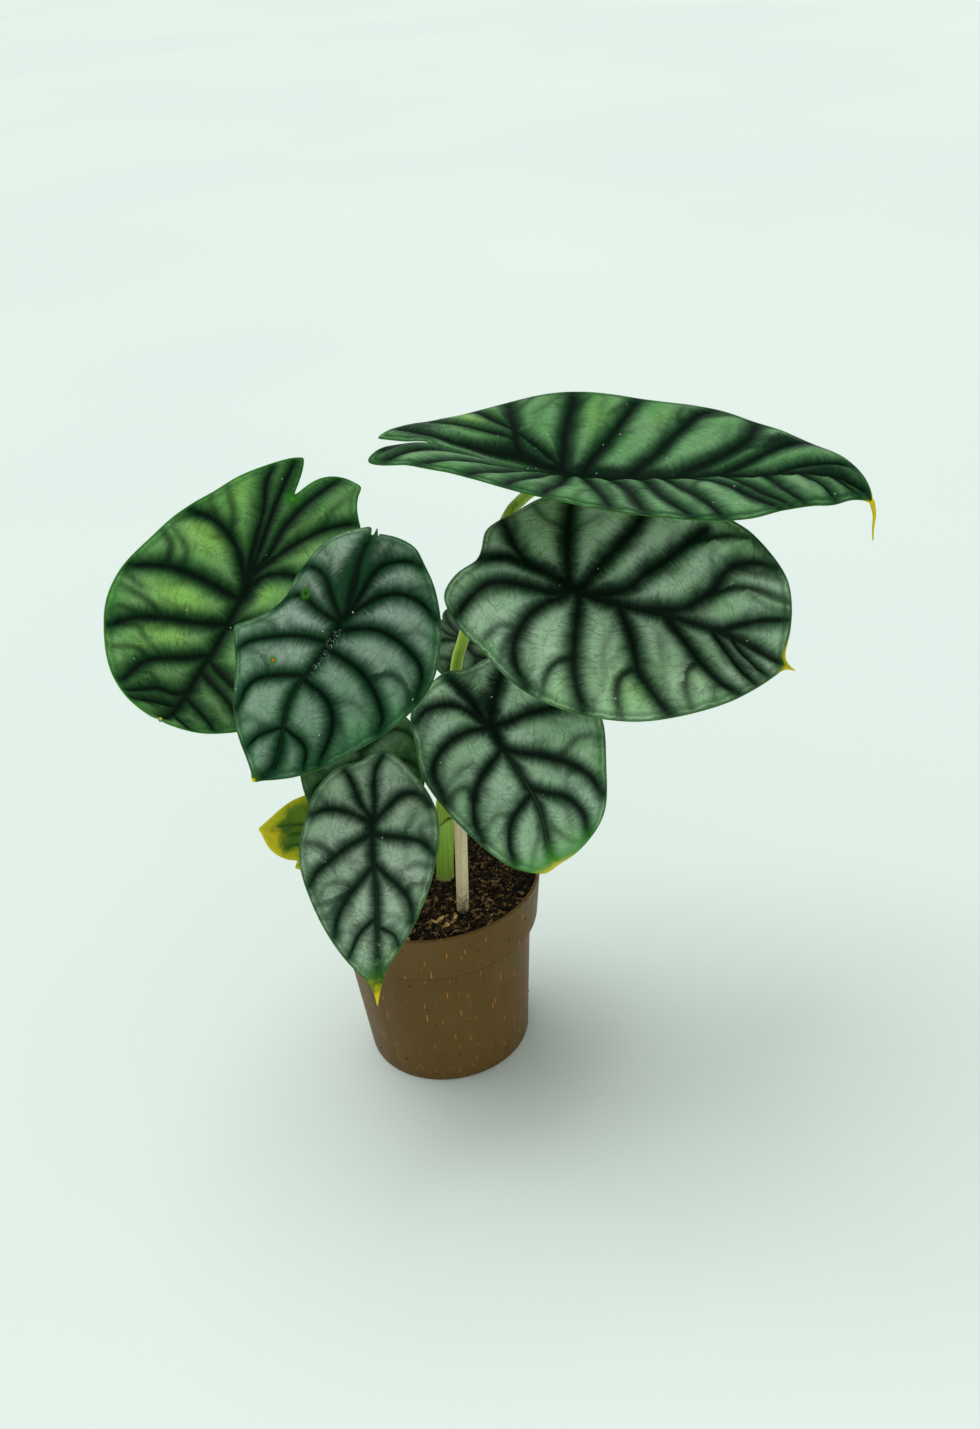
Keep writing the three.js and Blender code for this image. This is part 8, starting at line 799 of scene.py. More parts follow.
def blade(name, leaf, mats, tail=None):
    prepare(leaf)
    h = leaf["grain"] * 1.0
    tops, tri = fill(leaf["poly"], h)
    bots, btri = fill(leaf["poly"], h * 1.55)
    parts, attrs, faces, index = [], [], [], []
    base = 0
    rims = []
    for co, tr, side in ((tops, tri, 1), (bots, btri, -1)):
        f = fields(leaf, co)
        z = relief(leaf, co, f)
        thick = 0.62 - 0.30 * smooth(14, 0, f["M"])
        p = surface(leaf, co[:, 0], co[:, 1])
        nn = normals(leaf, co[:, 0], co[:, 1])
        off = z + side * thick / 2
        if side < 0:  # ribs stand out underneath
            fade = smooth(0.5, 5, f["M"]) * smooth(1.0, 7.0, np.hypot(co[:, 0], co[:, 1]))
            off -= 0.85 * leaf["ribdeep"] * np.exp(-((f["MID"] / 1.5) ** 2)) * fade * smooth(leaf["Lf"] * 1.05, 0, np.abs(co[:, 0]))
            off -= 0.5 * leaf["ribdeep"] * np.exp(-((f["D"] / 0.9) ** 2)) * fade
            off -= 0.16 * np.exp(-((f["D2"] / 0.6) ** 2)) * fade * f["K2"]
        p = p + nn * off[:, None]
        parts.append(p)
        attrs.append(f | {"uv": co})
        t = tr if side > 0 else tr[:, ::-1]
        faces.append(t + base)
        index.append(np.full(len(t), 0 if side > 0 else 1))
        e = boundary(tr)
        rims.append((co, dict(e.tolist()), base))
        base += len(co)
    # Wall round the margin: the same margin points are on both faces.
    (ct, nt, bt), (cb, nb, bb) = rims
    look = {}
    for i in nb:
        look[tuple(np.round(cb[i], 3))] = i
    quads = []
    for i, j in nt.items():
        a, b = look.get(tuple(np.round(ct[i], 3))), look.get(tuple(np.round(ct[j], 3)))
        if a is None or b is None:
            continue
        quads.append((i + bt, a + bb, b + bb, j + bt))
    tri_all = np.vstack(faces)
    quads = np.array(quads, int)
    A = {k: np.concatenate([a[k] for a in attrs]) for k in attrs[0]}
    values = {
        "vein": np.stack([A["D"], A["S"], A["W"]], 1),
        "minor": np.stack([A["D2"], A["S2"], A["tone"]], 1),
        "leafuv": np.c_[A["uv"], A["M"]],
        "extra": np.stack([A["TIP"], A["MID"], A["K2"]], 1),
        "zone": np.stack([A["lime"], A["gloom"], np.zeros(len(A["uv"]))], 1),
    }
    verts = np.vstack(parts)
    idx = np.r_[np.concatenate(index), np.zeros(len(quads), int)]
    if tail is not None:
        tv, tq, tt, _ = tail
        add = {"vein": (30, 0, 1), "minor": (50, 0, 0.5), "leafuv": (leaf["tip"][0], 0, 0.0), "extra": (0, 30, 0), "zone": (0, 0, 0)}
        for k, v in add.items():
            values[k] = np.vstack([values[k], np.tile(np.array(v, float), (len(tv), 1))])
        tq, tt = tq + len(verts), tt + len(verts)
        verts = np.vstack([verts, tv])
        quads = np.vstack([quads, tq])
        idx = np.r_[np.concatenate(index), np.zeros(len(tt), int), np.zeros(len(quads), int)]
        tri_all = np.vstack([tri_all, tt])
    print("blade", name, len(verts), "verts", len(tri_all), "tris; walls", len(quads), "of", len(nt))
    return make_mesh(name, verts, [tri_all, quads], mats, idx, values)

# ---------------------------------------------------------------------------
# Leaves: colours and relief
# ---------------------------------------------------------------------------
DARK, DARK2 = lin(4, 21, 11), lin(10, 36, 21)
LOOK = {
    "crown": dict(seed=1, gloss=0.02, band=(3.3, 2.0), ribband=(4.4, 2.4), quilt=2.1, ribdeep=1.3, grain=0.95, tone=0.45, toneblobs=[(20, 30, 45, 0.2), (-40, 20, 30, 0.2), (30, -40, 45, -0.25)],
        silver=lin(132, 174, 130), green=lin(74, 140, 68), deep=lin(24, 62, 34), dark=DARK, dark2=DARK2, rim=lin(24, 62, 34), edge=lin(70, 124, 44), fall=7.5,
        limes=[(-56, 35, 8, 12, 0.8), (5, 40, 8, 14, 0.35), (15, 45, 7, 12, 0.3), (40, 42, 6, 9, 0.3)],
        glooms=[(12, 3, 48, 6, 0.95), (-36, 10, 26, 9, 0.8), (-82, 24, 20, 18, 0.75), (-82, -22, 16, 12, 0.6), (-40, -4, 40, 5, 0.5), (98, 26, 20, 9, 0.8), (118, 4, 16, 8, 0.7), (60, 50, 20, 5, 0.45)],
        minor=0.75, halo=0.9, net=0.35, line=0.7, midline=0.0, midcol=lin(60, 100, 60), tipg=20.0, tipy=12.0, tipm=5.0, rough=0.40,
        under=(lin(150, 172, 128), lin(118, 148, 96), lin(84, 104, 66))),
    "right": dict(seed=2, gloss=0.06, band=(2.7, 1.6), ribband=(4.1, 1.9), quilt=2.0, ribdeep=1.2, grain=0.8, tone=0.18, toneblobs=[(35, -42, 26, 0.3), (-15, 30, 26, 0.25), (70, 30, 30, 0.15)],
        silver=lin(188, 220, 190), green=lin(130, 188, 118), deep=lin(32, 70, 42), dark=DARK, dark2=DARK2, rim=lin(38, 72, 42), edge=lin(76, 128, 44), fall=7.0,
        limes=[(42, -44, 9, 8, 0.6), (15, -44, 8, 9, 0.5), (64, -36, 8, 7, 0.35), (-12, 38, 7, 6, 0.35), (20, 42, 6, 7, 0.35)],
        glooms=[(0, 0, 11, 6, 0.85), (-20, 6, 24, 4, 0.7), (10, 1, 16, 4, 0.7)],
        minor=0.85, halo=0.88, net=0.6, line=0.5, midline=0.15, midcol=lin(50, 84, 60), tipg=40.0, tipy=25.0, tipm=5.0, rough=0.40,
        under=(lin(150, 172, 130), lin(120, 148, 100), lin(84, 104, 68))),
    "low_right": dict(seed=3, gloss=0.06, band=(2.1, 1.3), ribband=(2.9, 1.3), quilt=1.8, ribdeep=1.0, grain=0.7, tone=0.2, toneblobs=[(60, -10, 22, 0.15), (30, 35, 20, 0.15)],
        silver=lin(180, 212, 182), green=lin(122, 180, 114), deep=lin(32, 68, 44), dark=DARK, dark2=DARK2, rim=lin(38, 72, 42), edge=lin(74, 126, 44), fall=5.5,
        limes=[(60, -26, 9, 6, 0.5), (45, 34, 10, 7, 0.4), (66, 4, 9, 14, 0.35)], glooms=[(0, 0, 9, 6, 0.85), (-11, 4, 13, 5, 0.9), (-15, -3, 14, 4, 0.75), (-20, 12, 9, 5, 0.6), (-26, 3, 12, 10, 0.6)],
        minor=0.8, halo=0.85, net=0.6, line=0.5, midline=0.55, midcol=lin(58, 96, 58), tipg=48.0, tipy=25.0, tipm=0.6, tipym=0.7, tipn=0.16, tipgc=lin(66, 152, 36), rough=0.40,
        under=(lin(150, 172, 130), lin(120, 148, 100), lin(84, 104, 68))),
    # The silver here is greyer than on the other blades: partly the blade's own tone, partly painted sheen standing for
    # the soft grey reflection that its near-zero gloss leaves out
    "front_left": dict(seed=4, gloss=0.015, band=(2.2, 1.4), ribband=(3.2, 1.7), quilt=1.9, ribdeep=1.0, grain=0.7, tone=0.4, toneblobs=[(-25, 0, 26, -0.5), (60, 0, 26, 0.2), (8, -26, 24, -0.35), (30, 30, 24, 0.15)],
        silver=lin(144, 166, 149), green=lin(84, 138, 92), deep=lin(22, 62, 36), dark=DARK, dark2=lin(14, 52, 26), rim=lin(30, 70, 40), edge=lin(84, 120, 44), fall=6.0,
        limes=[], glooms=[(-22, -6, 27, 12, 1.0), (0, 0, 12, 7, 0.85), (-34, 2, 14, 7, 0.7), (-14, 8, 14, 5, 0.5)],
        minor=0.7, halo=0.88, net=0.5, line=0.5, midline=0.3, midcol=lin(40, 80, 46), tipg=5.0, tipy=2.2, rough=0.40,
        spots=[(30.3, -21.5, 0.9, lin(205, 110, 42), lin(60, 110, 34)), (-4.5, -25.0, 1.1, lin(40, 52, 22), lin(52, 104, 30))],
        residue=[(6, 1.5, 3.0), (12, 1.5, 3.4), (18, 1.2, 3.6), (24, 0.8, 3.0), (29, 0.8, 2.4), (35, 6, 1.8)],
        under=(lin(146, 168, 130), lin(116, 144, 100), lin(84, 104, 68))),
    "back_left": dict(seed=5, gloss=0.04, band=(2.8, 1.7), ribband=(3.8, 2.0), quilt=1.9, ribdeep=1.2, grain=0.8, tone=0.4, toneblobs=[(60, -10, 30, -0.1), (-40, -20, 25, 0.2)],
        silver=lin(132, 176, 116), green=lin(84, 154, 68), deep=lin(24, 68, 30), dark=DARK, dark2=lin(10, 42, 20), rim=lin(34, 92, 30), edge=lin(72, 140, 30), fall=8.0, lime=lin(160, 220, 98),
        limes=[(-15, -27, 10, 12, 0.9), (22, -26, 9, 15, 0.75), (42, -24, 8, 12, 0.7), (-32, 14, 12, 7, 0.6), (0, 10, 8, 5, 0.6), (-40, -24, 9, 6, 0.45), (58, -30, 8, 6, 0.35)],
        spots=[(-53.1, -0.4, 1.7, lin(56, 140, 28), lin(44, 108, 30))],
        glooms=[(84, -4, 30, 34, 0.6), (0, 0, 10, 6, 0.8), (-30, -5, 26, 4, 0.6)],
        minor=0.8, halo=0.9, net=0.5, line=0.4, midline=0.0, midcol=lin(40, 80, 46), tipg=6.0, tipy=3.0, rough=0.40,
        under=(lin(150, 176, 118), lin(118, 152, 88), lin(84, 108, 60))),
    "front": dict(seed=6, gloss=0.06, band=(2.2, 1.3), ribband=(3.0, 1.5), quilt=1.6, ribdeep=0.9, grain=0.6, tone=0.15, toneblobs=[(45, 0, 25, 0.1)],
        silver=lin(178, 204, 176), green=lin(126, 168, 122), deep=lin(36, 70, 48), dark=lin(7, 28, 15), dark2=lin(16, 48, 28), rim=lin(40, 74, 44), edge=lin(78, 132, 40), fall=5.0,
        limes=[(64, 8, 8, 8, 0.3), (40, 22, 8, 5, 0.3)], glooms=[(0, 0, 7, 5, 0.8)],
        minor=0.75, halo=0.8, net=0.6, line=0.4, midline=0.25, midcol=lin(48, 84, 54), tipg=27.0, tipy=13.0, rough=0.40,
        residue=[(62, 2, 7.0), (65, -3, 6.0), (-18, 4, 1.6), (-2, -19, 1.2), (17, -23, 1.4), (42, -1.5, 1.5)],
        under=(lin(150, 172, 130), lin(120, 148, 100), lin(84, 104, 68))),
    "old": dict(seed=7, band=(1.2, 0.8), ribband=(1.4, 0.8), quilt=0.9, ribdeep=0.6, grain=0.7, tone=0.9, toneblobs=[],
        silver=lin(126, 160, 44), green=lin(104, 140, 28), deep=lin(70, 104, 22), dark=lin(52, 84, 18), dark2=lin(64, 98, 20), rim=lin(168, 178, 24), edge=lin(186, 184, 28), fall=3.0,
        minor=0.3, halo=0.4, net=0.35, line=0.1, midline=0.0, midcol=lin(120, 140, 40), tipg=20.0, tipy=12.0, rough=0.42, old=True,
        under=(lin(158, 168, 84), lin(130, 146, 58), lin(98, 112, 40))),
    "inner": dict(seed=8, band=(1.3, 0.9), ribband=(1.5, 0.9), quilt=1.0, ribdeep=0.6, grain=0.7, tone=0.6, toneblobs=[],
        silver=lin(122, 154, 122), green=lin(88, 132, 84), deep=lin(34, 72, 36), dark=lin(20, 50, 26), dark2=lin(28, 62, 30), rim=lin(40, 82, 40), edge=lin(90, 130, 44), fall=4.0,
        minor=0.4, halo=0.6, net=0.4, line=0.3, midline=0.0, midcol=lin(80, 110, 60), tipg=6.0, tipy=3.0, rough=0.42,
        under=(lin(120, 146, 98), lin(96, 124, 72), lin(70, 92, 52))),
    # This blade sits in shadow behind the crown's stalk: its colours are darker than the others as painted shade
    "shaded": dict(seed=9, band=(1.7, 1.1), ribband=(2.0, 1.1), quilt=1.3, ribdeep=0.7, grain=0.7, tone=0.3, toneblobs=[],
        silver=lin(116, 144, 116), green=lin(76, 114, 74), deep=lin(24, 52, 32), dark=DARK, dark2=DARK2, rim=lin(36, 66, 40), edge=lin(70, 110, 40), fall=5.0,
        minor=0.6, halo=0.8, net=0.5, line=0.5, midline=0.0, midcol=lin(50, 84, 60), tipg=6.0, tipy=3.0, rough=0.42,
        under=(lin(140, 162, 120), lin(110, 138, 92), lin(80, 100, 64))),
}
SLOTS = dict(crown="blade_crown", right="blade_silver", low_right="blade_silver", front="blade_silver", front_left="blade_grey", back_left="blade_green", old="blade_old", inner="blade_plain", shaded="blade_dark")


def drip_tail(leaf):
    """The thin thread at the end of the crown blade, bending down from the midrib's end."""
    u = np.array([DRIP_START - 3.0])
    z = np.zeros(1)
    at = surface(leaf, u, z)[0]
    t = (surface(leaf, u + 3.5, z) - surface(leaf, u + 2.5, z))[0]
    t /= np.linalg.norm(t)
    path = [at.copy()]
    for i in range(20):
        k = min(i * 0.117, 1.0)
        way = t * (1 - k) + np.array([0.0, 0.0, -1.0]) * k
        side = np.array([0.2, 0.0, 0.0]) * np.sin(i * 0.42) * min(i / 8.0, 1.0)
        at = at + way / np.linalg.norm(way) + side * 0.4
        path.append(at.copy())
    path = catmull(path, 0.5)
    s = np.linspace(0, 1, len(path))
    return tube(path, 0.95 * (1 - s) ** 1.6 + 0.38, 14)


for key, leaf in LEAVES.items():
    leaf.update(LOOK[key])
    leaf["pts"] = np.array(leaf["surface"], float).reshape(leaf["nu"], leaf["nv"], 3)
    mats = [leaf_top("blade_top_" + key, leaf), leaf_under("blade_under_" + key, leaf)]
    ob = blade("leaf_look_" + key, leaf, mats, drip_tail(leaf) if key == "crown" else None)
    place(ob, SLOTS[key], "leaf_" + key)


# ---------------------------------------------------------------------------
# Petioles and the sheath
# ---------------------------------------------------------------------------
def petiole_mat(name, light, base, foot, top):
    n = Nodes(name)
    a, t, w = n.sep(n.attr("tube").outputs["Vector"])
    L = n.sep(n.attr("whole").outputs["Vector"])[0]
    g = n.m("DIVIDE", a, L)
    ca, sa = n.m("COSINE", t), n.m("SINE", t)
    streak = n.noise(n.xyz(n.m("MULTIPLY", ca, 3.2), n.m("MULTIPLY", sa, 3.2), n.m("MULTIPLY", a, 0.035)), 1.0, 3.0, 0.6)
    fine = n.noise(n.xyz(n.m("MULTIPLY", ca, 14.0), n.m("MULTIPLY", sa, 14.0), n.m("MULTIPLY", a, 0.11)), 1.0, 3.0, 0.6)
    blot = n.noise(n.xyz(n.m("MULTIPLY", ca, 2.0), n.m("MULTIPLY", sa, 2.0), n.m("MULTIPLY", a, 0.30)), 1.0, 3.0, 0.6)
    col = n.mix(n.ss(streak, 0.32, 0.66), base, light)
    col = n.mix(n.ss(fine, 0.52, 0.75, 0.0, 0.35), col, foot)
    col = n.mix(n.m("MULTIPLY", n.ss(blot, 0.56, 0.7), 0.30), col, top)
    col = n.mix(n.ss(g, 0.12, 0.0, 0.0, 0.75), col, foot)
    col = n.mix(n.ss(g, 0.90, 1.0, 0.0, 0.65), col, top)
    h = n.m("ADD", n.m("MULTIPLY", fine, 0.6), n.m("MULTIPLY", streak, 0.3))
    return n.done(col, n.ramp(fine, 0.3, 0.7, 0.36, 0.50), n.bump(h, 0.0005, 0.6), Specular_IOR_Level=0.5)


PETIOLE = petiole_mat("petiole_green", lin(172, 202, 62), lin(132, 172, 30), lin(96, 132, 28), lin(92, 134, 26))
PETIOLE_OLD = petiole_mat("petiole_yellowing", lin(196, 198, 84), lin(158, 166, 42), lin(120, 118, 40), lin(128, 146, 34))

for key, leaf in LEAVES.items():
    path = catmull(np.array(leaf["stalk"]["path"], float).reshape(-1, 3), 2.0)
    # run on into the blade's underside; the path already starts below the soil
    d = path[-1] - path[-2]
    d /= np.linalg.norm(d)
    path = np.vstack([path, path[-1] + d * 0.55])
    s = np.linspace(0, 1, len(path))
    r0, r1, r2 = leaf["stalk"]["radii"]
    r = np.where(s < 0.5, r0 + (r1 - r0) * 2 * s, r1 + (r2 - r1) * (2 * s - 1))
    r = r * (1 + 0.10 * smooth(0.10, 0.0, s)) * (1 + 0.03 * np.sin(s * 9 + leaf["seed"]))
    # a shallow channel along the upper side, and a slightly flattened section
    shape = lambda a, t, k=leaf["seed"]: 1 + 0.035 * np.cos(2 * a + k) - 0.09 * np.exp(-(((a - np.pi + 0.3 * np.sin(k)) / 0.42) ** 2)) * (t > 0.02)
    v, q, t3, at = tube(path, r, 28, True, shape)
    ob = make_mesh("petiole_look_" + key, v, [q, t3], [PETIOLE_OLD if key == "old" else PETIOLE], None, {"tube": at, "whole": np.tile([at[:, 0].max(), 0, 0], (len(v), 1))})
    place(ob, "petiole_skin", "petiole_" + key)


def sheath():
    """A papery leaf base wrapped round the foot of the tallest petiole, open down one side, with a slanting top."""
    path = catmull(np.array(LEAVES["crown"]["stalk"]["path"], float).reshape(-1, 3), 1.0)
    acc = np.r_[0, np.cumsum(np.linalg.norm(np.diff(path, axis=0), axis=1))]
    top = SHEATH_TOP * acc[-1]
    m, k = 60, 72
    t = np.gradient(path, axis=0)
    t /= np.linalg.norm(t, axis=1)[:, None]
    ang = np.linspace(0.0, 2 * np.pi * 1.06, k)
    rows = []
    for i in range(m):
        row = []
        for j, a in enumerate(ang):
            reach = top * (0.86 + 0.14 * np.cos(a - 2.2)) * (1 - 0.0 * j)
            s = reach * i / (m - 1)
            c = np.array([np.interp(s, acc, path[:, x]) for x in range(3)])
            tt = np.array([np.interp(s, acc, t[:, x]) for x in range(3)])
            tt /= np.linalg.norm(tt)
            x = np.cross(tt, [0, 1.0, 0])
            x /= np.linalg.norm(x)
            y = np.cross(tt, x)
            f = s / top
            r = 4.75 - 0.45 * f + 0.22 * np.sin(3 * a + 5 * f) * f + 0.25 * (a / (2 * np.pi)) + 0.25 * smooth(0.93, 1.0, f)
            row.append(c + r * (np.cos(a) * x + np.sin(a) * y))
        rows.append(row)
    g = np.array(rows)
    inner = g.copy()
    ctr = g.mean(1, keepdims=True)
    inner = ctr + (g - ctr) * 0.88
    v = np.vstack([g.reshape(-1, 3), inner.reshape(-1, 3)])
    n = m * k
    q = []
    for i in range(m - 1):
        for j in range(k - 1):
            a = i * k + j
            q.append((a, a + 1, a + k + 1, a + k))
            q.append((n + a, n + a + k, n + a + k + 1, n + a + 1))
    for i in range(m - 1):
        a, b = i * k, i * k + k - 1
        q.append((a, a + k, n + a + k, n + a))
        q.append((b, n + b, n + b + k, b + k))
    for j in range(k - 1):
        a, b = j, (m - 1) * k + j
        q.append((a, n + a, n + a + 1, a + 1))
        q.append((b, b + 1, n + b + 1, n + b))
    info = np.zeros((len(v), 3))
    h = np.tile(np.repeat(np.linspace(0, 1, m), k), 2)
    info[:, 0] = h
    info[:, 1] = np.tile(np.tile(ang, m), 2)
    nn = Nodes("sheath_skin")
    hh, aa, _ = nn.sep(nn.attr("wrap").outputs["Vector"])
    st = nn.noise(nn.xyz(nn.m("MULTIPLY", aa, 3.4), nn.m("MULTIPLY", hh, 0.9), 0.0), 1.0, 4.0, 0.62)
    col = nn.mix(nn.ss(st, 0.3, 0.7), lin(136, 186, 56), lin(178, 218, 92))
    col = nn.mix(nn.ss(hh, 0.25, 0.0, 0.0, 0.6), col, lin(196, 190, 140))
    col = nn.mix(nn.ss(hh, 0.962, 0.985, 0.0, 0.85), col, lin(70, 82, 34))
    col = nn.mix(nn.ss(nn.noise(nn.pos(), 420.0, 3.0, 0.6), 0.6, 0.75, 0.0, 0.4), col, lin(110, 96, 52))
    mat = nn.done(col, nn.ramp(st, 0.3, 0.7, 0.42, 0.6), nn.bump(st, 0.0006, 0.7))
    ob = make_mesh("sheath_look", v, [np.array(q)], [mat], None, {"wrap": info})
    return place(ob, "sheath_skin", "petiole_sheath")


sheath()


# ---------------------------------------------------------------------------
# Stake
# ---------------------------------------------------------------------------
def stake():
    a, b = np.array(STAKE_FOOT, float), np.array(STAKE_TOP, float)
    length = np.linalg.norm(b - a)
    d = (b - a) / length
    s = np.array([0, 2, 6, 11, 16, *np.linspace(18, length - 1.2, 90), length - 0.6, length - 0.2, length])
    r = np.interp(s, [0, 16, length - 1.0, length - 0.4, length], [1.0, STAKE_RADIUS, STAKE_RADIUS, STAKE_RADIUS - 0.2, STAKE_RADIUS - 0.55])
    path = a + d * s[:, None]
    wob = lambda ang, t: 1 + 0.022 * np.sin(5 * ang + 2.0) + 0.014 * np.sin(9 * ang + 7 * t) + 0.010 * np.sin(23 * ang)
    v, q, t3, at = tube(path, r, 48, True, wob)
    n = Nodes("stake_wood")
    al, th, _ = n.sep(n.attr("tube").outputs["Vector"])
    p = n.pos()
    x, y, z = n.sep(p)
    ca, sa = n.m("COSINE", th), n.m("SINE", th)
    ring = n.noise(n.xyz(n.m("MULTIPLY", ca, 2.6), n.m("MULTIPLY", sa, 2.6), n.m("MULTIPLY", al, 0.02)), 1.0, 3.0, 0.55)
    fib = n.noise(n.xyz(n.m("MULTIPLY", ca, 13.0), n.m("MULTIPLY", sa, 13.0), n.m("MULTIPLY", al, 0.06)), 1.0, 4.0, 0.65)
    pore = n.noise(n.xyz(n.m("MULTIPLY", ca, 26.0), n.m("MULTIPLY", sa, 26.0), n.m("MULTIPLY", al, 0.35)), 1.0, 2.0, 0.6)
    # Pale wood, its two tones raised above the wood's own colour as painted light that makes up for the leaves' shade
    # on the stake
    col = n.mix(n.ss(ring, 0.3, 0.7), lin(255, 240, 200), lin(246, 218, 168))
    col = n.mix(n.ss(fib, 0.52, 0.72, 0.0, 0.55), col, lin(176, 140, 90))
    col = n.mix(n.ss(pore, 0.62, 0.72, 0.0, 0.6), col, lin(112, 84, 52))
    dirt = n.m("MULTIPLY", n.ss(z, 0.104, 0.128, 1.0, 0.0), n.ss(n.noise(p, 420.0, 4.0, 0.7), 0.42, 0.62))
    col = n.mix(n.m("MULTIPLY", dirt, 0.85), col, lin(70, 50, 32))
    h = n.m("SUBTRACT", n.m("MULTIPLY", fib, 0.7), n.m("MULTIPLY", n.ss(pore, 0.6, 0.7), 0.8))
    mat = n.done(col, n.ramp(fib, 0.3, 0.7, 0.62, 0.82), n.bump(h, 0.0007, 0.9), Specular_IOR_Level=0.3)
    ob = make_mesh("stake_look", v, [q, t3], [mat], None, {"tube": at})
    place(ob, "stake_wood", "stake")


stake()


# ---------------------------------------------------------------------------
# Pot
# ---------------------------------------------------------------------------
def pot_mat():
    n = Nodes("pot_plastic")
    p = n.pos()
    x, y, z = n.sep(p)
    th = n.m("ARCTAN2", y, x)
    ca, sa = n.m("COSINE", th), n.m("SINE", th)
    broad = n.noise(p, 16.0, 3.0, 0.55)
    vert = n.noise(n.xyz(n.m("MULTIPLY", ca, 9.0), n.m("MULTIPLY", sa, 9.0), n.m("MULTIPLY", z, 7.0)), 1.0, 3.0, 0.6)
    hair = n.noise(n.xyz(n.m("MULTIPLY", ca, 46.0), n.m("MULTIPLY", sa, 46.0), n.m("MULTIPLY", z, 24.0)), 1.0, 2.0, 0.6)
    fine = n.noise(p, 900.0, 3.0, 0.6)
    col = n.mix(n.ss(broad, 0.3, 0.7), lin(98, 73, 33), lin(110, 84, 43))
    col = n.mix(n.ss(vert, 0.35, 0.7, 0.0, 0.18), col, lin(88, 66, 36))
    col = n.mix(n.ss(fine, 0.45, 0.75, 0.0, 0.2), col, lin(126, 100, 56))
    # recycled plastic: short upright orange-brown flecks
    fl = n.vor(n.xyz(n.m("MULTIPLY", th, 24.0), n.m("MULTIPLY", z, 58.0), 0.0), 1.0, "F1", "2D")
    keep = n.vor(n.xyz(n.m("MULTIPLY", th, 24.0), n.m("MULTIPLY", z, 58.0), 0.0), 1.0, "F1", "2D", 1.0, "Color")
    k0, k1, _ = n.sep(keep)
    some = n.ss(k0, 0.66, 0.74)
    long = n.m("SUBTRACT", n.m("ADD", fl, n.m("MULTIPLY", n.m("SUBTRACT", hair, 0.5), 0.25)), n.m("MULTIPLY", k1, 0.12))
    fleck = n.m("MULTIPLY", n.ss(long, -0.02, 0.07, 1.0, 0.0), some)
    col = n.mix(n.m("MULTIPLY", fleck, 0.85), col, lin(196, 126, 44))
    # thin darker run marks and soil dust under the rim and near the foot
    run = n.ss(hair, 0.62, 0.8)
    col = n.mix(n.m("MULTIPLY", run, 0.35), col, lin(48, 34, 26))
    dust = n.m("MULTIPLY", n.ss(n.noise(p, 260.0, 4.0, 0.72), 0.60, 0.70), n.m("MAXIMUM", n.ss(z, 0.090, 0.110), n.ss(z, 0.030, 0.004)))
    col = n.mix(n.m("MULTIPLY", dust, 0.7), col, lin(38, 26, 18))
    cf = (POT_HEIGHT - COLLAR_HEIGHT) * 0.001
    # painted shadow: a dark line just under the collar's step, where the collar shades the body below it
    under = n.m("MULTIPLY", n.ss(z, cf - 0.0030, cf - 0.0006), n.ss(z, cf + 0.0003, cf + 0.0013, 1.0, 0.0))
    col = n.mix(n.m("MULTIPLY", under, 0.85), col, lin(34, 23, 11))
    h = n.m("ADD", n.m("MULTIPLY", fine, 0.5), n.m("MULTIPLY", hair, 0.4))
    rough = n.m("ADD", n.ramp(vert, 0.3, 0.7, 0.40, 0.54), n.m("MULTIPLY", dust, 0.3))
    return n.done(col, rough, n.bump(h, 0.00018, 0.5), Specular_IOR_Level=0.12)


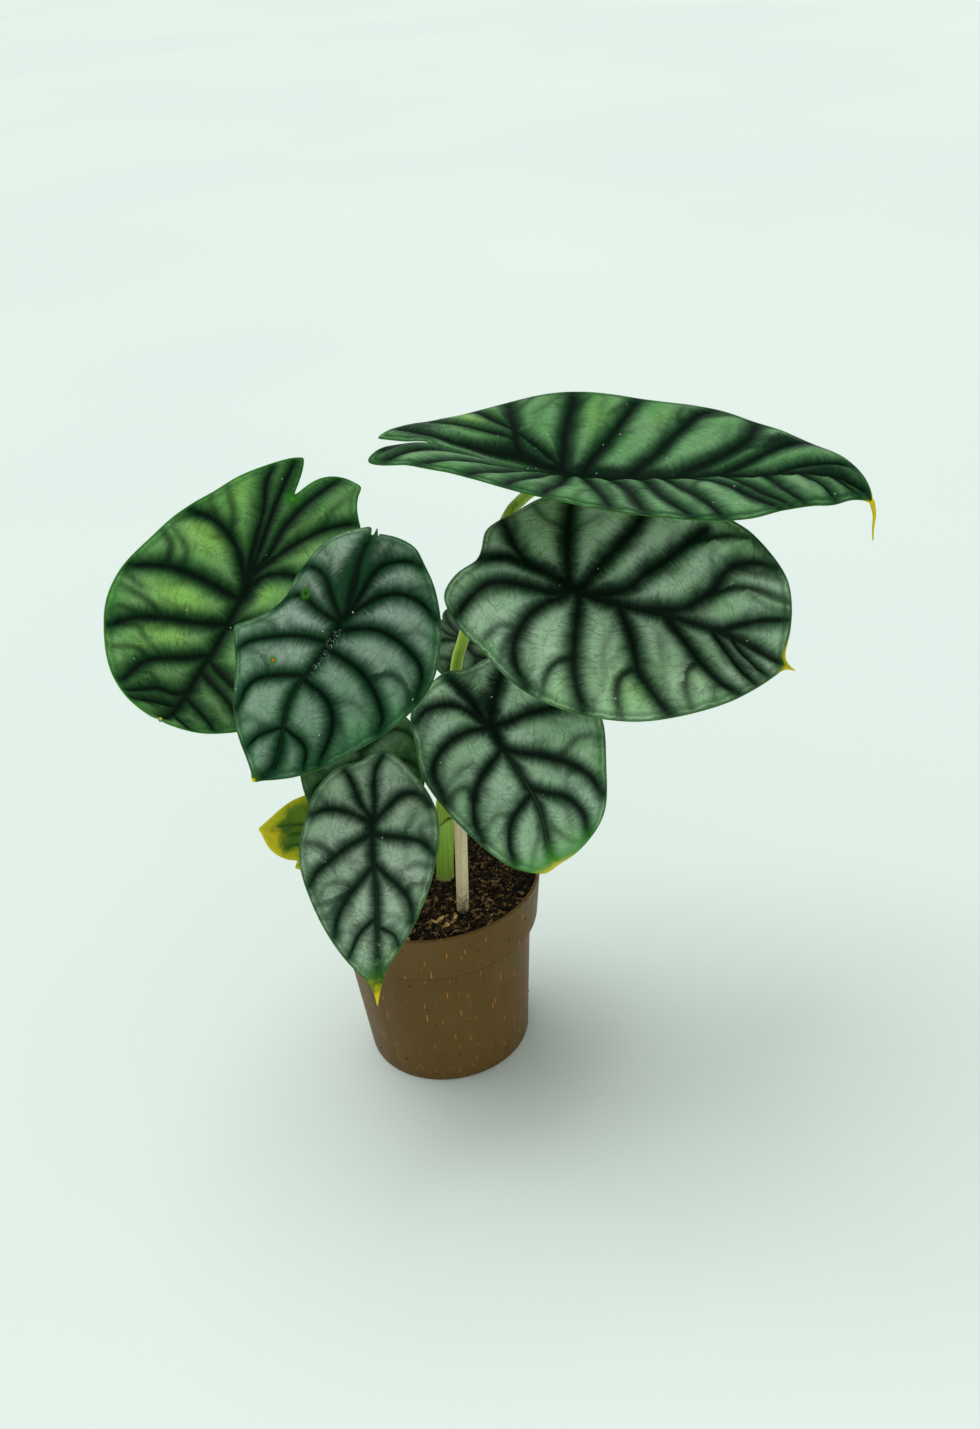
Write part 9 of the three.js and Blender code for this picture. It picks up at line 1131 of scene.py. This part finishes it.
def pot():
    k = 192
    cf = POT_HEIGHT - COLLAR_HEIGHT
    # outer side from the foot up, over the rim and down the inside, each corner rounded
    prof = [(17.0, 0.0), (17.5, 0.3), (18.5, 2.1), (19.2, 2.4), (35.3, 2.4), (36.2, 2.0), (37.1, 0.3), (37.6, 0.0), (44.2, 0.0), (44.8, 0.2), (45.15, 0.6), (45.35, 1.2)]
    for i in range(1, 14):
        f = i / 14
        prof.append((45.35 + (BODY_TOP_RADIUS - 45.35) * f, 1.2 + (cf - 1.0 - 1.2) * f))
    prof += [(BODY_TOP_RADIUS, cf - 0.6), (BODY_TOP_RADIUS + 0.25, cf - 0.15), (BODY_TOP_RADIUS + 0.7, cf), (COLLAR_FOOT_RADIUS - 0.9, cf), (COLLAR_FOOT_RADIUS - 0.35, cf + 0.15), (COLLAR_FOOT_RADIUS - 0.05, cf + 0.55), (COLLAR_FOOT_RADIUS + 0.08, cf + 1.1)]
    for i in range(1, 8):
        f = i / 8
        prof.append((COLLAR_FOOT_RADIUS + 0.1 + (RIM_RADIUS - 0.28 - COLLAR_FOOT_RADIUS - 0.1) * f, cf + 1.2 + (COLLAR_HEIGHT - 3.4) * f))
    prof += [(RIM_RADIUS - 0.22, POT_HEIGHT - 2.0), (RIM_RADIUS - 0.02, POT_HEIGHT - 1.4), (RIM_RADIUS, POT_HEIGHT - 0.9), (RIM_RADIUS - 0.14, POT_HEIGHT - 0.4), (RIM_RADIUS - 0.5, POT_HEIGHT - 0.06), (RIM_RADIUS - 0.95, POT_HEIGHT), (RIM_RADIUS - 1.4, POT_HEIGHT - 0.1), (RIM_RADIUS - 1.75, POT_HEIGHT - 0.45), (RIM_RADIUS - 1.95, POT_HEIGHT - 1.0)]
    prof += [(57.3, 104.0), (COLLAR_FOOT_RADIUS - 1.3, cf + 2.4), (BODY_TOP_RADIUS - 1.3, cf - 1.4), (BODY_TOP_RADIUS - 1.6, cf - 2.4), (BASE_RADIUS - 1.2, 5.6), (BASE_RADIUS - 1.6, 4.7), (BASE_RADIUS - 2.4, 4.4)]
    holes = [(27.0 * np.cos(2 * np.pi * (i + 0.5) / 8), 27.0 * np.sin(2 * np.pi * (i + 0.5) / 8)) for i in range(8)]
    ang = np.arange(k) * 2 * np.pi / k
    prof = np.array(prof)
    v = np.stack([prof[:, None, 0] * np.cos(ang), prof[:, None, 0] * np.sin(ang), prof[:, None, 1] * np.ones(k)], -1).reshape(-1, 3)
    q = []
    gap = None
    for i in range(len(prof) - 1):
        if prof[i][0] == 19.2:  # this ring is filled below, round the drain holes
            gap = i
            continue
        a = i * k + np.arange(k)
        b = i * k + (np.arange(k) + 1) % k
        q.append(np.stack([a, b, b + k, a + k], 1))
    q = np.vstack(q)
    verts, tris = [v], []
    base = len(v)
    # the flat pieces: the recessed ring with its holes, the centre pad, and the inner floor with the same holes
    m = 28
    ring = np.arange(m) * 2 * np.pi / m

    def plate(outer, inner, z, up):
        nonlocal base
        pts = [np.stack([outer * np.cos(ang), outer * np.sin(ang)], 1)]
        edges = [(i, (i + 1) % k) for i in range(k)]
        n0 = k
        if inner:
            pts.append(np.stack([inner * np.cos(ang), inner * np.sin(ang)], 1))
            edges += [(n0 + i, n0 + (i + 1) % k) for i in range(k)]
            n0 += k
        first = n0
        if outer > 30:
            for hx, hy in holes:
                pts.append(np.stack([hx + 3.2 * np.cos(ring), hy + 3.2 * np.sin(ring)], 1))
                edges += [(n0 + i, n0 + (i + 1) % m) for i in range(m)]
                n0 += m
        pts = np.vstack(pts)
        res = delaunay_2d_cdt([Vector((float(a), float(b))) for a, b in pts], edges, [], 0, 1e-6)
        co = np.array([tuple(c) for c in res[0]])
        tr = np.array([f for f in res[2] if len(f) == 3], int)
        c = co[tr].mean(1)
        ok = np.linalg.norm(c, axis=1) < outer
        if inner:
            ok &= np.linalg.norm(c, axis=1) > inner * 1.002
        if outer > 30:
            for hx, hy in holes:
                ok &= np.hypot(c[:, 0] - hx, c[:, 1] - hy) > 3.19
        tr = tr[ok]
        A, B, C = co[tr[:, 0]], co[tr[:, 1]], co[tr[:, 2]]
        s = (B[:, 0] - A[:, 0]) * (C[:, 1] - A[:, 1]) - (B[:, 1] - A[:, 1]) * (C[:, 0] - A[:, 0])
        flip = s < 0 if up else s > 0
        tr[flip] = tr[flip][:, ::-1]
        verts.append(np.c_[co, np.full(len(co), z)])
        tris.append(tr + base)
        base += len(co)

    plate(17.0, 0, 0.0, False)
    plate(35.3, 19.2, 2.4, False)
    plate(BASE_RADIUS - 2.4, 0, 4.4, True)
    for hx, hy in holes:  # the holes' walls
        lo = np.c_[hx + 3.2 * np.cos(ring), hy + 3.2 * np.sin(ring), np.full(m, 2.4)]
        hi = lo + [0, 0, 2.0]
        verts.append(np.vstack([lo, hi]))
        a = base + np.arange(m)
        b = base + (np.arange(m) + 1) % m
        q = np.vstack([q, np.stack([b, a, a + m, b + m], 1)])
        base += 2 * m
    verts = np.vstack(verts)
    ob = make_mesh("pot_look", verts, [np.vstack(tris), q], [pot_mat()])
    weld(ob, 0.00002)
    return place(ob, "pot_plastic", "pot")


def weld(ob, dist):
    import bmesh

    bm = bmesh.new()
    bm.from_mesh(ob.data)
    bmesh.ops.remove_doubles(bm, verts=bm.verts, dist=dist)
    bmesh.ops.recalc_face_normals(bm, faces=bm.faces)
    bm.to_mesh(ob.data)
    bm.free()
    for e in ob.data.edges:
        pass
    sharp_by_angle(ob.data, 0.9)


def sharp_by_angle(me, angle):
    if hasattr(me, "set_sharp_from_angle"):
        me.set_sharp_from_angle(angle=angle)


pot()


# ---------------------------------------------------------------------------
# Soil: a rough surface, loose chips of bark and peat, and fibres
# ---------------------------------------------------------------------------
def soil_mat(name, chips):
    n = Nodes(name)
    p = n.pos()
    n1 = n.noise(p, 190.0, 4.0, 0.65)
    n2 = n.noise(p, 620.0, 4.0, 0.7)
    n3 = n.noise(p, 60.0, 2.0, 0.5)
    if chips:
        tint = n.attr("tint").outputs["Fac"]
        c = n.mix(n.ss(tint, 0.25, 0.6), lin(24, 18, 11), lin(62, 46, 26))
        # the tan chip colours are raised above the bark's own tone as painted light that makes up for the leaves' shade
        # on the soil
        c = n.mix(n.ss(tint, 0.6, 0.85), c, lin(142, 108, 62))
        c = n.mix(n.ss(tint, 0.86, 1.0), c, lin(220, 178, 114))
        c = n.mix(n.ss(n2, 0.5, 0.72, 0.0, 0.55), c, lin(24, 16, 11))
        c = n.mix(n.ss(n1, 0.55, 0.75, 0.0, 0.3), c, lin(140, 104, 66))
    else:
        # The ground between the chips: dark peat, taken nearly black as painted shade in the gaps
        c = n.mix(n.ss(n1, 0.36, 0.66), lin(9, 7, 5), lin(34, 25, 15))
        c = n.mix(n.ss(n2, 0.55, 0.72, 0.0, 0.6), c, lin(84, 62, 34))
        c = n.mix(n.ss(n3, 0.5, 0.7, 0.0, 0.4), c, lin(30, 20, 14))
    return n.done(c, n.ramp(n2, 0.3, 0.7, 0.78, 0.96), n.bump(n.m("ADD", n.m("MULTIPLY", n1, 0.6), n2), 0.0011, 1.0), Specular_IOR_Level=0.25)


def soil_height(x, y):
    p = np.stack([x, y, np.zeros_like(x)], -1)
    r = np.hypot(x, y)
    z = 104.9 + 3.0 * (fbm(p * 0.085, 3, 4) - 0.5) + 2.6 * (fbm(p * 0.33, 3, 8) - 0.5) + 1.6 * (fbm(p * 0.9, 2, 12) - 0.5)
    z += 1.3 * smooth(20, 52, -y) * smooth(58, 50, r)
    z -= 1.0 * smooth(22, 50, x)
    return np.clip(z, 102.0, 108.4)


def soil():
    k = 420
    ang = np.arange(k) * 2 * np.pi / k
    radii = np.r_[np.linspace(0.7, 57.0, 96)]
    wall = 57.35
    ring = [np.array([[0.0, 0.0, soil_height(np.zeros(1), np.zeros(1))[0]]])]
    for r in radii:
        x, y = r * np.cos(ang), r * np.sin(ang)
        ring.append(np.stack([x, y, soil_height(x, y)], -1))
    lower = [(57.2, 102.5), (54.2, 84.0), (50.2, 79.5), (43.0, 5.6), (42.2, 4.8), (20.0, 4.8)]
    for r, z in lower:
        ring.append(np.stack([r * np.cos(ang), r * np.sin(ang), np.full(k, z)], -1))
    ring.append(np.array([[0.0, 0.0, 4.8]]))
    v = np.vstack(ring)
    rows = len(radii) + len(lower)
    a = np.arange(k)
    b = (a + 1) % k
    tris = [np.stack([np.zeros(k, int), 1 + a, 1 + b], 1)]
    q = []
    for i in range(rows - 1):
        o = 1 + i * k
        q.append(np.stack([o + a, o + k + a, o + k + b, o + b], 1))
    o = 1 + (rows - 1) * k
    tris.append(np.stack([o + a, np.full(k, len(v) - 1), o + b], 1))
    ob = make_mesh("soil_look", v, [np.vstack(tris), np.vstack(q)], [soil_mat("soil_ground", False)])
    place(ob, "soil", "potting_soil")

    # chips
    rng = np.random.default_rng(21)
    ico = np.array([(0, 0, -1), (0.72, -0.53, -0.45), (-0.28, -0.85, -0.45), (-0.89, 0, -0.45), (-0.28, 0.85, -0.45), (0.72, 0.53, -0.45), (0.28, -0.85, 0.45), (-0.72, -0.53, 0.45), (-0.72, 0.53, 0.45), (0.28, 0.85, 0.45), (0.89, 0, 0.45), (0, 0, 1)])
    itri = np.array([(0, 1, 2), (1, 0, 5), (0, 2, 3), (0, 3, 4), (0, 4, 5), (1, 5, 10), (2, 1, 6), (3, 2, 7), (4, 3, 8), (5, 4, 9), (1, 10, 6), (2, 6, 7), (3, 7, 8), (4, 8, 9), (5, 9, 10), (6, 10, 11), (7, 6, 11), (8, 7, 11), (9, 8, 11), (10, 9, 11)])
    V, T, C = [], [], []
    base = 0

    def put(x, y, z, size, tint, yaw, tilt):
        nonlocal base
        s = np.array(size) * rng.uniform(0.75, 1.25, 3)
        pts = ico * s * rng.uniform(0.72, 1.18, (12, 1))
        c, sn = np.cos(tilt), np.sin(tilt)
        pts = pts @ np.array([[c, 0, -sn], [0, 1, 0], [sn, 0, c]]).T
        c, sn = np.cos(yaw), np.sin(yaw)
        pts = pts @ np.array([[c, -sn, 0], [sn, c, 0], [0, 0, 1]]).T
        V.append(pts + [x, y, z])
        T.append(itri[:, ::-1] * 1 + base if False else itri + base)
        C.append(np.full(12, tint))
        base += 12

    for i in range(5200):
        r, a = 56.2 * np.sqrt(rng.uniform()), rng.uniform(0, 2 * np.pi)
        x, y = r * np.cos(a), r * np.sin(a)
        big = rng.uniform()
        front = y < -18
        if big > (0.93 if front else 0.965):
            size = (rng.uniform(1.8, 3.9), rng.uniform(0.8, 1.6), rng.uniform(0.4, 0.9))
            tint = rng.uniform(0.55, 1.0) if front else rng.uniform(0.3, 0.9)
        elif big > 0.7:
            size = (rng.uniform(1.0, 2.1), rng.uniform(0.6, 1.3), rng.uniform(0.4, 1.0))
            tint = rng.uniform(0.1, 0.92) ** 1.2
        else:
            size = (rng.uniform(0.5, 1.2), rng.uniform(0.4, 1.0), rng.uniform(0.35, 0.9))
            tint = rng.uniform(0.0, 0.85) ** 1.3
        if r + size[0] > 56.8:
            continue
        z = soil_height(np.array([x]), np.array([y]))[0] + size[2] * rng.uniform(-0.1, 0.7)
        put(x, y, z, size, tint, rng.uniform(0, 6.28), rng.normal(0, 0.45))
    # a little dirt stuck to the outside of the pot, under the rim and round the foot
    cf = POT_HEIGHT - COLLAR_HEIGHT
    for i in range(110):
        a = rng.uniform(0, 2 * np.pi)
        z = rng.choice([rng.uniform(cf + 3, POT_HEIGHT - 3), rng.uniform(cf - 12, cf - 1), rng.uniform(2, 20), rng.uniform(5, 75)], p=[0.4, 0.1, 0.3, 0.2])
        r = COLLAR_FOOT_RADIUS + 0.1 + (RIM_RADIUS - COLLAR_FOOT_RADIUS - 0.3) * (z - cf) / COLLAR_HEIGHT if z > cf else 45.3 + (BODY_TOP_RADIUS - 45.3) * z / cf
        s = rng.uniform(0.22, 0.85)
        put(r * np.cos(a), r * np.sin(a), z, (s * 0.6, s * 0.6, s * 0.8), rng.uniform(0, 0.35), a, rng.normal(0, 0.6))
    v, t, c = np.vstack(V), np.vstack(T), np.concatenate(C)
    ob = make_mesh("soil_chips", v, [t], [soil_mat("soil_chip", True)], None, {"tint": c}, True)
    place(ob, "soil")

    # fibres
    V, T, Q, C = [], [], [], []
    base = 0
    for i in range(420):
        r, a = 52 * np.sqrt(rng.uniform()), rng.uniform(0, 2 * np.pi)
        x, y = r * np.cos(a), r * np.sin(a)
        n, yaw, turn = 7, rng.uniform(0, 6.28), rng.normal(0, 0.28)
        step = rng.uniform(0.5, 1.5)
        pts = []
        for j in range(n):
            if np.hypot(x, y) > 55.8:
                break
            pts.append((x, y, soil_height(np.array([x]), np.array([y]))[0] + 0.45 + 0.9 * rng.uniform() * np.sin(np.pi * j / (n - 1))))
            x, y, yaw = x + step * np.cos(yaw), y + step * np.sin(yaw), yaw + turn
        if len(pts) < 4:
            continue
        rad = np.full(len(pts), rng.uniform(0.10, 0.22))
        rad[0] = rad[-1] = 0.05
        vv, qq, tt, _ = tube(np.array(pts), rad, 5)
        V.append(vv)
        Q.append(qq + base)
        T.append(tt + base)
        C.append(np.full(len(vv), rng.choice([rng.uniform(0.3, 0.6), rng.uniform(0.7, 1.0)])))
        base += len(vv)
    ob = make_mesh("soil_fibres", np.vstack(V), [np.vstack(T), np.vstack(Q)], [soil_mat("soil_fibre", True)], None, {"tint": np.concatenate(C)})
    place(ob, "soil")


soil()

# ---------------------------------------------------------------------------
# Floor, light and camera
# ---------------------------------------------------------------------------
def floor():
    me = bpy.data.meshes.new("floor")
    s = 14.0
    me.from_pydata([(-s, -s, 0), (s, -s, 0), (s, s, 0), (-s, s, 0)], [], [(0, 1, 2, 3)])
    n = Nodes("paper")
    p = n.pos()
    col = n.mix(n.ss(n.noise(p, 0.8, 2.0, 0.5), 0.3, 0.7), lin(222, 235, 230), lin(227, 239, 234))
    me.materials.append(n.done(col, n.ramp(n.noise(p, 40.0, 2.0, 0.5), 0.3, 0.7, 0.80, 0.9), None, Specular_IOR_Level=0.1))
    ob = bpy.data.objects.new("floor", me)
    bpy.context.scene.collection.objects.link(ob)


floor()


def area(name, loc, target, size, watts, colour=(1, 1, 1)):
    light = bpy.data.lights.new(name, "AREA")
    light.shape = "RECTANGLE"
    light.size, light.size_y = size
    light.energy = watts
    light.color = colour
    ob = bpy.data.objects.new(name, light)
    d = Vector(target) - Vector(loc)
    ob.matrix_world = Matrix.Translation(loc) @ d.to_track_quat("-Z", "Y").to_matrix().to_4x4()
    bpy.context.scene.collection.objects.link(ob)
    return ob


def sun(name, towards, strength, angle, colour=(1, 1, 1)):
    light = bpy.data.lights.new(name, "SUN")
    light.energy, light.angle, light.color = strength, angle, colour
    ob = bpy.data.objects.new(name, light)
    ob.matrix_world = Vector(towards).to_track_quat("-Z", "Y").to_matrix().to_4x4()
    bpy.context.scene.collection.objects.link(ob)
    return ob


sun("key", (0.30, -0.20, -1.0), 1.75, 0.85, (1.0, 0.995, 0.98))

world = bpy.data.worlds.new("studio")
world.use_nodes = True
bg = world.node_tree.nodes["Background"]
bg.inputs[0].default_value = (0.97, 1.0, 0.975, 1)
bg.inputs[1].default_value = 0.52
# paler towards the horizon, like a studio sweep
wt = world.node_tree
sky = wt.nodes.new("ShaderNodeTexCoord")
axis = wt.nodes.new("ShaderNodeSeparateXYZ")
fade = wt.nodes.new("ShaderNodeMapRange")
fade.interpolation_type = "SMOOTHSTEP"
for k, v in enumerate((0.12, 0.60, 0.76, 0.50)):
    fade.inputs[k + 1].default_value = v
wt.links.new(sky.outputs["Generated"], axis.inputs[0])
wt.links.new(axis.outputs["Z"], fade.inputs[0])
wt.links.new(fade.outputs[0], bg.inputs[1])
bpy.context.scene.world = world

cam = bpy.data.cameras.new("camera")
cam.sensor_fit = "VERTICAL"
cam.sensor_height = 36.0
cam.lens = 36.0 * 1500.0 / 1429.0
cam.clip_start, cam.clip_end = 0.05, 60.0
cam_ob = bpy.data.objects.new("camera", cam)
right, up, fwd = CAMERA["right"], CAMERA["up"], CAMERA["forward"]
cam_ob.matrix_world = Matrix(
    [[right[i], up[i], -fwd[i], CAMERA["at"][i] * MM] for i in range(3)] + [[0, 0, 0, 1]]
)
bpy.context.scene.collection.objects.link(cam_ob)
bpy.context.scene.camera = cam_ob
bpy.context.scene.view_settings.view_transform = "Standard"
bpy.context.scene.view_settings.look = "None"

bpy.context.view_layer.update()
